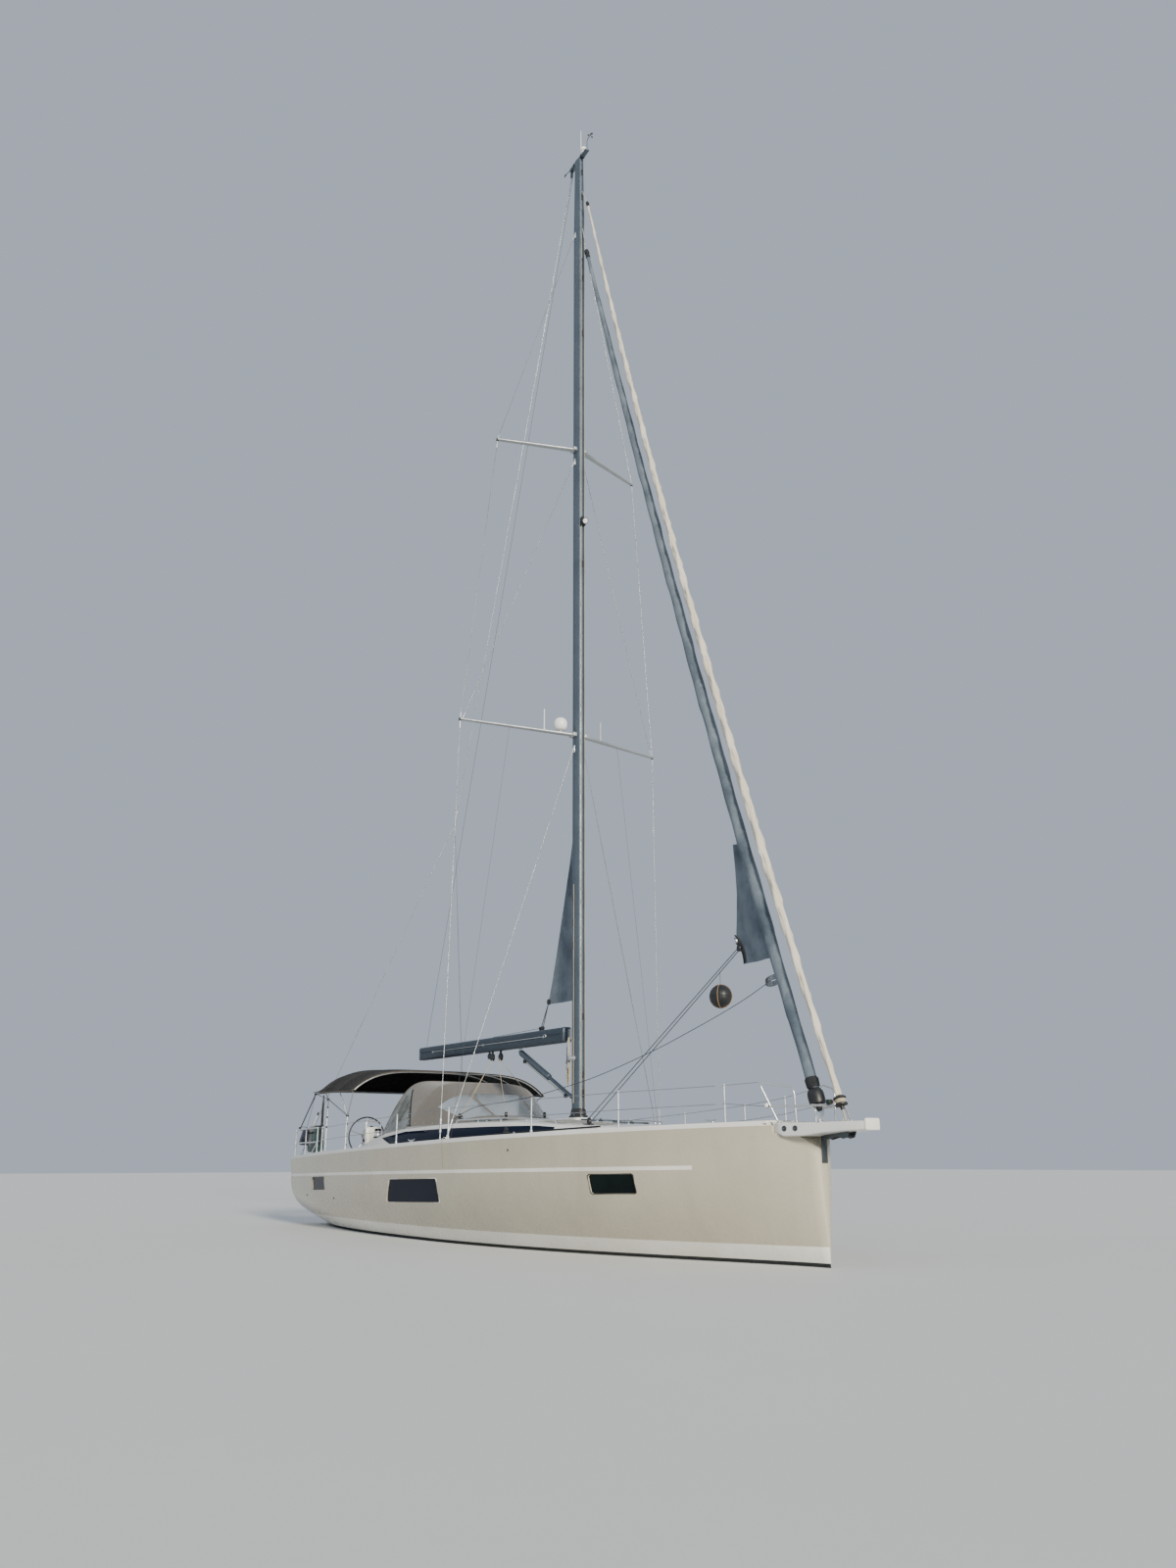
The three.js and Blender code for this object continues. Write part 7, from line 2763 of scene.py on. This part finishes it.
    def build_winches(self) -> None:
        """Makes the two sheet winches on the coamings."""
        for side, sign in SIDES:
            place = (self.winch[0], sign * self.winch[1], 1.7153)
            shape = Shape().turned([(0, 0.09), (0.018, 0.09), (0.024, 0.085), (0.034, 0.082)], place, UP,
                                   36, 1)
            shape.turned([(0.034, 0.075), (0.05, 0.066), (0.07, 0.06), (0.1, 0.058), (0.125, 0.064),
                          (0.132, 0.07), (0.14, 0.07)], place, UP, 36)
            for i in range(18):
                a = i * TAU / 18
                foot = Vector(place) + Vector((math.cos(a) * 0.061, math.sin(a) * 0.061, 0.058))
                shape.tube([foot, foot + above(0.055)], 0.0025, 5)
            shape.turned([(0.14, 0.05), (0.145, 0.052), (0.15, 0.073), (0.158, 0.076), (0.162, 0.066),
                          (0.17, 0.05), (0.176, 0.076), (0.184, 0.074), (0.189, 0.05)], place, UP, 36, 1)
            shape.turned([(0.186, 0.026), (0.1897, 0.024)], place, UP, 20)
            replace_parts(shape.piece(f"sheet_winch_{side}", [Shades.STEEL, Shades.BLACK]), f"winch_{side}")

    def build(self) -> None:
        """Makes everything in the cockpit."""
        self.build_moulding()
        self.build_boards()
        self.build_pedestals()
        self.build_wheels()
        self.build_table()
        self.build_winches()


# Deck gear


@dataclass
class DeckGear:
    """Lids, tracks, cleats and small things on the deck."""

    def build_lids(self) -> None:
        """Makes the anchor locker's lid and the foredeck hatch, each on its own hinge."""
        z = 1.7444
        lid = Shape().slab((5.85, 6.6), 0.27, 0.05, ((0.004, 0.0), (0.0, 0.004), (0.0, 0.022),
                                                     (0.005, 0.027)), base=z)
        lid.slab((5.9, 6.55), 0.23, 0.04, ((0.0, 0.025), (0.0, 0.029), (0.002, 0.0298)), 1, z)
        lid.turned([(0.0, 0.03), (0.004, 0.03), (0.005, 0.02)], (5.93, 0, z + 0.0248), UP, 20, 2)
        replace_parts(lid.piece("anchor_lid", [Shades.WHITE, Shades.GRIP, Shades.STEEL], "anchor_locker_lid"),
                    "anchor_locker_lid")
        z = 1.7291
        frame_levels = ((0.0, 0.0), (0.0, 0.022), (0.004, 0.027), (0.03, 0.027), (0.032, 0.02))
        hatch = Shape().slab((4.64, 5.2), 0.28, 0.05, frame_levels, base=z)
        hatch.slab((4.672, 5.168), 0.248, 0.035, ((0.0, 0.015), (0.0, 0.026), (0.003, 0.0275)), 1, z)
        for s in (-1, 1):
            hatch.turned([(0, 0.018), (0.006, 0.018), (0.0072, 0.012)], (4.73, s * 0.14, z + 0.0275), UP,
                         16, 2)
            hatch.box((5.15, s * 0.17 - 0.03, z + 0.012), (5.1995, s * 0.17 + 0.03, z + 0.0335), 0.004, 2)
        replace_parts(hatch.piece("foredeck_lid", [Shades.SPAR, Shades.NAVY_GLASS, Shades.BLACK],
                                "foredeck_hatch"), "foredeck_hatch")
        seats = Shape()
        for x0, x1, half in ((5.85, 6.6, 0.27), (4.64, 5.2, 0.28)):
            top = 1.7436 if x0 > 5.5 else 1.7283
            levels = ((-0.03, top - 0.03), (-0.03, top - 0.006), (-0.026, top), (0.02, top),
                      (0.022, top - 0.03))
            seats.slab((x0, x1), half, 0.06, levels)
        seats.piece("hatch_seats", Shades.WHITE)

    def cleat(self, shape: Shape, x: float, y: float, size: float = 0.13) -> None:
        """Adds a mooring cleat with two horns.

        Args:
            shape: Shape that it is added to.
            x: Its place along.
            y: Its place across.
            size: Length of a horn from the middle.
        """
        z = LINES.deck_top(x, y) + SEAM
        for k in (-0.04, 0.04):
            shape.turned([(0, 0.022), (0.004, 0.02), (0.02, 0.011), (0.045, 0.011)], (x + k, y, z), UP, 16)
        shape.tube([(x - size, y, z + 0.062), (x - size * 0.6, y, z + 0.054), (x - 0.04, y, z + 0.046),
                    (x + 0.04, y, z + 0.046), (x + size * 0.6, y, z + 0.054), (x + size, y, z + 0.062)],
                   [0.006, 0.009, 0.0125, 0.0125, 0.009, 0.006], 12)
        shape.brick((x, y), (0.07, 0.024), (z - 0.001, z + 0.004), 0.0015)

    def build_metal(self) -> None:
        """Makes cleats, sheet tracks on their plinths, cars and pad eyes."""
        shape, plinth = Shape(), Shape()
        for _, sign in SIDES:
            for x, inset in ((6.2, 0.13), (-0.3, 0.16), (-6.8, 0.16)):
                self.cleat(shape, x, sign * (LINES.deck_half(x) - inset))
            run = []
            for i in range(21):
                x = -0.4 + 4.4 * i / 20
                y = 1.66 - 0.075 * (x + 0.4) - 0.006 * (x + 0.4) ** 2
                run.append((x, sign * y, LINES.deck_top(x, y)))
            plinth.loft([[(x, y + w, z + up) for w, up in ((-0.045, -0.01), (-0.034, 0.032),
                                                           (-0.028, 0.038), (0.028, 0.038), (0.034, 0.032),
                                                           (0.045, -0.01))] for x, y, z in run])
            shape.loft([[(x, y + w, z + up) for w, up in ((-0.016, 0.0385), (-0.016, 0.046), (-0.01, 0.05),
                                                          (-0.01, 0.058), (-0.016, 0.062), (-0.014, 0.066),
                                                          (0.014, 0.066), (0.016, 0.062), (0.01, 0.058),
                                                          (0.01, 0.05), (0.016, 0.046), (0.016, 0.0385))]
                        for x, y, z in run], 1)
            x, y, z = run[9]
            shape.brick((x, y), (0.07, 0.026), (z + 0.06, z + 0.085), 0.008, 1)
            shape.drum((0.02, 0.016), (0.03, 0.04), (x, y, z + 0.115), ACROSS, 20, 1)
            for x in (5.4, 2.9, -1.9):
                y = sign * (LINES.deck_half(x) - 0.12)
                z = LINES.deck_top(x, y)
                shape.turned([(-0.001, 0.03), (0.005, 0.028), (0.008, 0.02)], (x, y, z), UP, 18)
                shape.tube(rounded([(x - 0.018, y, z), (x - 0.018, y, z + 0.045), (x + 0.018, y, z + 0.045),
                                    (x + 0.018, y, z)], 0.016, 5), 0.005, 8)
        shape.piece("deck_metalwork", [Shades.STEEL, Shades.BLACK])
        plinth.piece("track_plinths", Shades.WHITE)

    def build_small(self) -> None:
        """Makes the round lamp on the pulpit and the fittings in the topsides."""
        lamp = Shape().turned([(-0.012, 0.026), (0.0, 0.032), (0.018, 0.032)], (6.9, -0.462, 1.944),
                              (0.3, -1, 0), 24)
        lamp.turned([(0.018, 0.029), (0.03, 0.024), (0.036, 0.01)], (6.9, -0.462, 1.944), (0.3, -1, 0), 24,
                    1)
        lamp.piece("pulpit_lamp", [Shades.BLACK, Shades.LAMP])
        ports = Shape()
        for x, z, r in ((2.9, 1.42, 0.017), (-5.9, 0.62, 0.02), (-3.9, 0.6, 0.02)):
            for _, sign in SIDES:
                place = (x, sign * (LINES.half(x, z) - 0.004), z)
                ports.turned([(0, r), (0.008, r), (0.01, r * 0.8), (0.009, r * 0.55), (0.002, r * 0.5)],
                             place, (0, sign, 0), 20)
        ports.piece("topside_outlets", Shades.BLACK)

    def build_line(self) -> None:
        """Makes the short fender line that hangs over the starboard topsides."""
        x, top = 1.17, LINES.sheer(1.17)
        rail = Vector((x, -(LINES.half(x, top) - 0.02), top + 0.082))
        path = [rail + Vector((0, 0.07, -0.03)), rail + Vector((0, 0.02, 0.0)),
                rail + Vector((0, -0.014, -0.002)), rail + Vector((0, -0.032, -0.03))]
        path += [Vector((x + 0.004 * math.sin(i), -(LINES.half(x, z) + 0.0065), z)) for i, z in
                 enumerate([top - 0.01 - 0.05 * k for k in range(8)])]
        fine = smooth_path(path, 4)
        obj = Shape().tube(fine, 0.004, 8).piece("fender_line", Shades.CREAM_ROPE)

    def build(self) -> None:
        """Makes everything on the deck."""
        self.build_lids()
        self.build_metal()
        self.build_small()
        self.build_line()


@dataclass
class SternGear:
    """Bags on the quarter, the pole and the folding platform."""

    def build_bags(self) -> None:
        """Makes the teal bag on the rail and the navy bag at the corner."""
        rows = ((1.462, 0.75), (1.475, 0.9), (1.52, 1.0), (1.62, 1.0), (1.75, 0.97), (1.87, 0.94),
                (1.95, 0.9), (1.985, 0.8), (2.0, 0.6))
        rings = []
        for i, (z, share) in enumerate(rows):
            ring = plan_ring((-6.02 - 0.235 * share, -6.02 + 0.235 * share), 0.115 * share, 0.05, (z, z),
                             -2.05)
            centre = Vector((-6.02, -2.05, z))
            rings.append([centre + (Vector(p) - centre) * (1 + 0.045 * (noise.noise(Vector(p) * 7.0)))
                          for p in ring])
        bag = Shape().loft(rings)
        teal = bag.piece("teal_bag", Shades.TEAL, angle=70.0)
        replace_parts(teal, "rail_bag")
        straps = Shape()
        for x in (-6.14, -5.9):
            loop = [(x, -2.165, 1.9), (x, -2.17, 1.6), (x, -2.15, 1.47), (x, -1.95, 1.462)]
            straps.cloth([[Vector(p) + Vector((k, -0.002, 0)) for k in (-0.012, 0.012)] for p in loop],
                         0.003)
        straps.cloth([[(x, -2.167, z) for z in (1.84, 1.86)] for x in (-6.24, -6.1, -5.95, -5.8)], 0.003)
        straps.piece("teal_bag_straps", Shades.WEB)
        profile = [(0.0, 0.03), (0.006, 0.16), (0.03, 0.195), (0.1, 0.2), (0.2, 0.175), (0.3, 0.145),
                   (0.35, 0.12), (0.36, 0.05)]
        rings = []
        for d, r in profile:
            ring = []
            for i in range(28):
                a = i * TAU / 28
                reach = r * (1 + 0.05 * math.sin(5 * a + d * 9) * (1 if r > 0.1 else 0))
                ring.append((-7.03 + reach * math.cos(a), -1.87 + reach * math.sin(a), 1.61 + d))
            rings.append(ring)
        navy = Shape().loft(rings).piece("navy_bag", Shades.NAVY, angle=70.0)
        hang = Shape().tube([(-7.03, -1.87, 1.96), (-7.03, -1.98, 2.0), (-7.03, -2.085, 1.985)], 0.006, 8)
        hang.turned([(-0.01, 0.02), (0.01, 0.02)], (-7.03, -2.085, 1.975), AHEAD, 16)
        hang.piece("navy_bag_strap", Shades.WEB)

    def build_poles(self) -> None:
        """Makes the covered pole, the boat hook and the white handle pocket on the quarter."""
        pole = Shape().tube([(-5.47, -2.125, 1.62), (-5.47, -2.125, 1.9), (-5.49, -2.12, 2.3),
                             (-5.5, -2.115, 2.6)], [0.02, 0.026, 0.024, 0.01], 14)
        for z in (1.72, 1.98):
            pole.box((-5.505, -2.16, z - 0.012), (-5.44, -2.09, z + 0.012), 0.006, 1)
        pole.tube([(-6.32, -2.1, 1.74), (-5.84, -2.1, 2.225)], 0.013, 12, 2)
        pole.turned([(0, 0.02), (0.05, 0.016), (0.07, 0.006)], (-5.85, -2.1, 2.215), (0.48, 0, 0.485), 12, 1)
        pole.piece("quarter_poles", [Shades.CANVAS, Shades.WEB, Shades.DOME])
        levels = ((0.01, 1.4), (0.0, 1.41), (0.0, 1.452), (0.006, 1.459))
        pocket = Shape().slab((-6.22, -5.78), 0.055, 0.03, levels, y=-2.02)
        pocket.piece("quarter_pocket", Shades.WHITE)

    def build_platform(self) -> None:
        """Makes the folding platform, boarded on the side that is walked on."""
        shape = Shape()
        outline = [(-1.39, 0.32), (-1.37, 0.3005), (1.37, 0.3005), (1.39, 0.32), (1.39, 1.21), (1.35, 1.25),
                   (-1.35, 1.25), (-1.39, 1.21)]
        shape.prism(outline, -7.35, -7.3, Axis.X, 0.008)
        for i in range(16):
            z = 0.345 + i * 0.056
            shape.box((-7.301, -1.33, z), (-7.292, 1.33, z + 0.052), 0.0, 1)
        shape.box((-7.3005, -1.335, 0.34), (-7.2955, 1.335, 1.242), 0.0, 2)
        for y in (-1.05, 0.0, 1.05):
            shape.box((-7.3495, y - 0.06, 0.305), (-7.295, y + 0.06, 0.33), 0.006, 3)
        shape.box((-7.3498, -0.09, 1.14), (-7.345, 0.09, 1.18), 0.002, 3)
        piece = shape.piece("platform_panel", [Shades.TOPSIDES, Shades.TEAK, Shades.CAULK, Shades.STEEL],
                            "swim_platform")
        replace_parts(piece, "swim_platform")

    def build(self) -> None:
        """Makes everything at the stern."""
        self.build_bags()
        self.build_poles()
        self.build_platform()


# Under the water


@dataclass
class Appendages:
    """Keel, rudder, drive leg, propeller and the engine."""

    shaft: float = -0.88

    @staticmethod
    def foil(x0: float, x1: float, half: float, z: float, steps: int = 18) -> list[Point]:
        """A streamlined section, blunt forward and fine aft.

        Args:
            x0: Trailing edge.
            x1: Leading edge.
            half: Half its thickness.
            z: Height.
            steps: Points of one side.

        Returns:
            The points of the section.
        """
        out = []
        for sign in (1, -1):
            for i in range(steps):
                t = (1 - math.cos(math.pi * i / steps)) / 2
                t = t if sign > 0 else 1 - t
                curve = 0.2969 * math.sqrt(t) - 0.126 * t - 0.3516 * t**2 + 0.2843 * t**3 - 0.1036 * t**4
                out.append((x1 - (x1 - x0) * t, sign * (5 * half * 2 * curve), z))
        return out

    def build_keel(self) -> None:
        """Makes the fin with its bulb."""
        fin = Shape().loft([self.foil(-0.95, 1.45, 0.12, -0.4203), self.foil(-0.88, 1.36, 0.116, -0.6),
                            self.foil(-0.56, 0.9, 0.085, -1.5), self.foil(-0.52, 0.7, 0.08, -2.24)])
        rings = []
        for x, half in ((-1.35, 0.012), (-1.3, 0.045), (-0.9, 0.15), (-0.5, 0.205), (-0.2, 0.235),
                        (0.2, 0.25), (0.5, 0.25), (0.95, 0.19), (1.15, 0.12), (1.23, 0.05), (1.25, 0.012)):
            rings.append([(x, half * math.cos(i * TAU / 24) * (1.0
                                                               if math.sin(i * TAU / 24) > -0.6 else 0.8),
                           -2.3 + 0.62 * half + max(-0.62, 0.78 * math.sin(i * TAU / 24)) * half)
                          for i in range(24)])
        fin.loft(rings)
        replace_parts(fin.piece("keel_fin", Shades.BOTTOM, angle=60.0), "keel")

    def build_rudder(self) -> None:
        """Makes the rudder's blade and stock."""
        blade = Shape().loft([self.foil(-6.82, -6.14, 0.05, -2.05), self.foil(-6.83, -6.13, 0.055, -2.0),
                              self.foil(-6.85, -6.11, 0.068, -1.2), self.foil(-6.85, -6.1, 0.072, -0.25)])
        blade.turned([(0, 0.05), (1.17, 0.05)], (-6.35, 0, -0.55), UP, 32, 1)
        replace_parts(blade.piece("rudder_blade", [Shades.BOTTOM, Shades.STEEL], "rudder", 60.0), "rudder")

    def build_drive(self) -> None:
        """Makes the drive leg and its propeller."""
        leg = Shape().slab((-2.76, -2.3), 0.11, 0.08, ((0.0, -0.42), (0.0, -0.62), (0.02, -0.65)))
        leg.loft([self.foil(-2.7, -2.36, 0.055, -0.64), self.foil(-2.68, -2.38, 0.045, -0.84)])
        leg.turned([(0, 0.04), (0.02, 0.062), (0.12, 0.075), (0.3, 0.072), (0.42, 0.05), (0.48, 0.018)],
                   (-2.8, 0, self.shaft), AHEAD, 32)
        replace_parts(leg.piece("drive_leg", Shades.BOTTOM), "saildrive_leg")
        screw = Shape().turned([(0, 0.06), (0.01, 0.062), (0.1, 0.055), (0.14, 0.036), (0.15, 0.012)],
                               (-2.8005, 0, self.shaft), (-1, 0, 0), 32)
        for i in range(3):
            turn = Matrix.Translation((-2.8755, 0, self.shaft)) @ Matrix.Rotation(i * TAU / 3, 4, "X")
            rings = []
            for k in range(9):
                t = k / 8
                reach = 0.05 + 0.18 * t
                chord = 0.052 * (0.62 + 1.1 * math.sin(math.pi * (0.18 + 0.74 * t)) - 0.55)
                pitch = 1.0 - 0.55 * t
                ring = []
                for j in range(14):
                    a = j * TAU / 14
                    flat = Vector((0.004 * (1.2 - 0.7 * t) * math.sin(a), chord * math.cos(a), reach))
                    ring.append(turn @ (Matrix.Rotation(-pitch, 3, "Z") @ flat))
                rings.append(ring)
            screw.loft(rings)
        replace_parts(screw.piece("propeller_screw", Shades.BRONZE, "propeller", 45.0), "propeller")

    def build_engine(self) -> None:
        """Makes the engine: block, head, sump, belt, filters and manifold."""
        shape = Shape().box((-2.12, -0.2, 0.02), (-1.36, 0.2, 0.36), 0.02)
        shape.box((-2.08, -0.13, 0.36), (-1.42, 0.13, 0.47), 0.02).box((-2.04, -0.09, 0.47),
                                                                       (-1.46, 0.09, 0.52), 0.015)
        shape.box((-2.0, -0.16, -0.149), (-1.45, 0.16, 0.03), 0.03).box((-2.2, -0.15, -0.149),
                                                                        (-2.1, 0.15, 0.3), 0.02)
        for i in range(4):
            x = -1.98 + i * 0.15
            shape.tube([(x, 0.12, 0.4), (x, 0.22, 0.4), (x, 0.26, 0.36)], 0.022, 12)
            shape.turned([(0, 0.014), (0.03, 0.014), (0.036, 0.009)], (x, 0, 0.52), UP, 12, 1)
            shape.tube([(x, -0.08, 0.5), (x, -0.2, 0.44), (x, -0.24, 0.26)], 0.005, 8, 1)
        shape.turned([(0, 0.03), (0.56, 0.03)], (-2.05, 0.27, 0.35), AHEAD,
                     16).turned([(0, 0.045), (0.12, 0.045)], (-1.6, -0.26, 0.12), UP, 18, 2)
        for y, z, r in ((0.0, 0.1, 0.09), (0.2, 0.3, 0.05), (-0.19, 0.3, 0.045)):
            shape.turned([(0, r), (0.01, r), (0.018, r - 0.012), (0.03, r - 0.012), (0.038, r), (0.048, r)],
                         (-1.36, y, z), AHEAD, 28, 2)
        shape.tube([(-1.335, 0.09, 0.12), (-1.335, 0.25, 0.32), (-1.335, 0.2, 0.35), (-1.335, 0.0, 0.2),
                    (-1.335, -0.2, 0.35), (-1.335, -0.235, 0.29), (-1.335, -0.08, 0.08)], 0.008, 8, 2)
        shape.turned([(0, 0.06), (0.2, 0.06)], (-1.95, -0.25, 0.3), AHEAD, 20, 1)
        for x in (-2.0, -1.45):
            for y in (-0.26, 0.26):
                shape.brick((x, y), (0.05, 0.06), (-0.149, -0.08), 0.01, 2)
                shape.box((x - 0.03, min(y, y * 0.6), -0.08), (x + 0.03, max(y, y * 0.6), 0.06), 0.006)
        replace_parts(shape.piece("engine_block", [Shades.ENGINE, Shades.STEEL, Shades.BLACK]), "engine")

    def build(self) -> None:
        """Makes everything below the waterline and the engine."""
        self.build_keel()
        self.build_rudder()
        self.build_drive()
        self.build_engine()


# Stage


@dataclass
class Studio:
    """The floor at the waterline, the lights and the camera."""

    eye: Point = (19.237, -10.688, 1.239)
    yaw: float = 148.651
    pitch: float = 17.764
    roll: float = -0.104
    focal: float = 36.19
    sensor: float = 36.0

    def build_camera(self) -> None:
        """Places the camera as the photograph was taken."""
        yaw, pitch, roll = (math.radians(a) for a in (self.yaw, self.pitch, self.roll))
        flat = Vector((math.cos(yaw), math.sin(yaw), 0.0))
        ahead = flat * math.cos(pitch) + above(math.sin(pitch))
        upward = flat * -math.sin(pitch) + above(math.cos(pitch))
        right = Vector((math.sin(yaw), -math.cos(yaw), 0.0))
        level = right * math.cos(roll) + upward * math.sin(roll)
        upright = upward * math.cos(roll) - right * math.sin(roll)
        data = bpy.data.cameras.new("camera")
        data.sensor_fit = "HORIZONTAL"
        data.sensor_width, data.lens = self.sensor, self.focal
        data.clip_end = 500.0
        camera = bpy.data.objects.new("camera", data)
        bpy.context.scene.collection.objects.link(camera)
        turn = Matrix((level, upright, -ahead)).transposed().to_4x4()
        camera.matrix_world = Matrix.Translation(self.eye) @ turn
        bpy.context.scene.camera = camera

    def build_floor(self) -> None:
        """Lays a plain pale floor at the waterline."""
        n = Nodes("floor_plain")
        n.link(n.mix(n.noise(0.4), rgba("d9d9d7"), rgba("dededc")), n.shader.inputs["Base Color"])
        n.shader.inputs["Roughness"].default_value = 0.6
        mesh = bpy.data.meshes.new("floor")
        reach = 160.0
        mesh.from_pydata([(-reach, -reach, 0), (reach, -reach, 0), (reach, reach, 0), (-reach, reach, 0)],
                         [], [(0, 1, 2, 3)])
        mesh.materials.append(n.material)
        floor = bpy.data.objects.new("floor", mesh)
        bpy.context.scene.collection.objects.link(floor)

    def build_lights(self) -> None:
        """Sets a broad key light off the bow, a fill and an even sky."""
        world = bpy.data.worlds.new("studio")
        bpy.context.scene.world = world
        world.use_nodes = True
        sky = world.node_tree.nodes["Background"]
        sky.inputs[0].default_value = (0.74, 0.84, 0.98, 1.0)
        sky.inputs[1].default_value = 0.58
        for name, strength, wide, colour, aim in (
            ("key", 5.0, 9.0, (1.0, 0.93, 0.8), (-0.95, 0.15, -0.3)),
            ("fill", 0.3, 60.0, (0.85, 0.92, 1.0), (0.3, 0.8, -0.4)),
        ):
            data = bpy.data.lights.new(name, "SUN")
            data.energy, data.angle, data.color = strength, math.radians(wide), colour
            light = bpy.data.objects.new(name, data)
            bpy.context.scene.collection.objects.link(light)
            light.rotation_mode = "QUATERNION"
            light.rotation_quaternion = Vector(aim).to_track_quat("-Z", "Y")

    def build(self) -> None:
        """Sets the whole stage."""
        self.build_camera()
        self.build_floor()
        self.build_lights()


def main() -> None:
    """Builds each sub-assembly in order."""
    logging.basicConfig(level=logging.INFO, format="%(message)s")
    for work in (Studio(), Hull(), Deck(), Bowsprit(), Rails(), Mast(), Headsails(), Boom(), Bimini(),
                 Sprayhood(), Coachroof(), Cockpit(), DeckGear(), SternGear(), Appendages()):
        work.build()
        LOG.info("built %s", type(work).__name__)


if __name__ == "__main__":
    main()
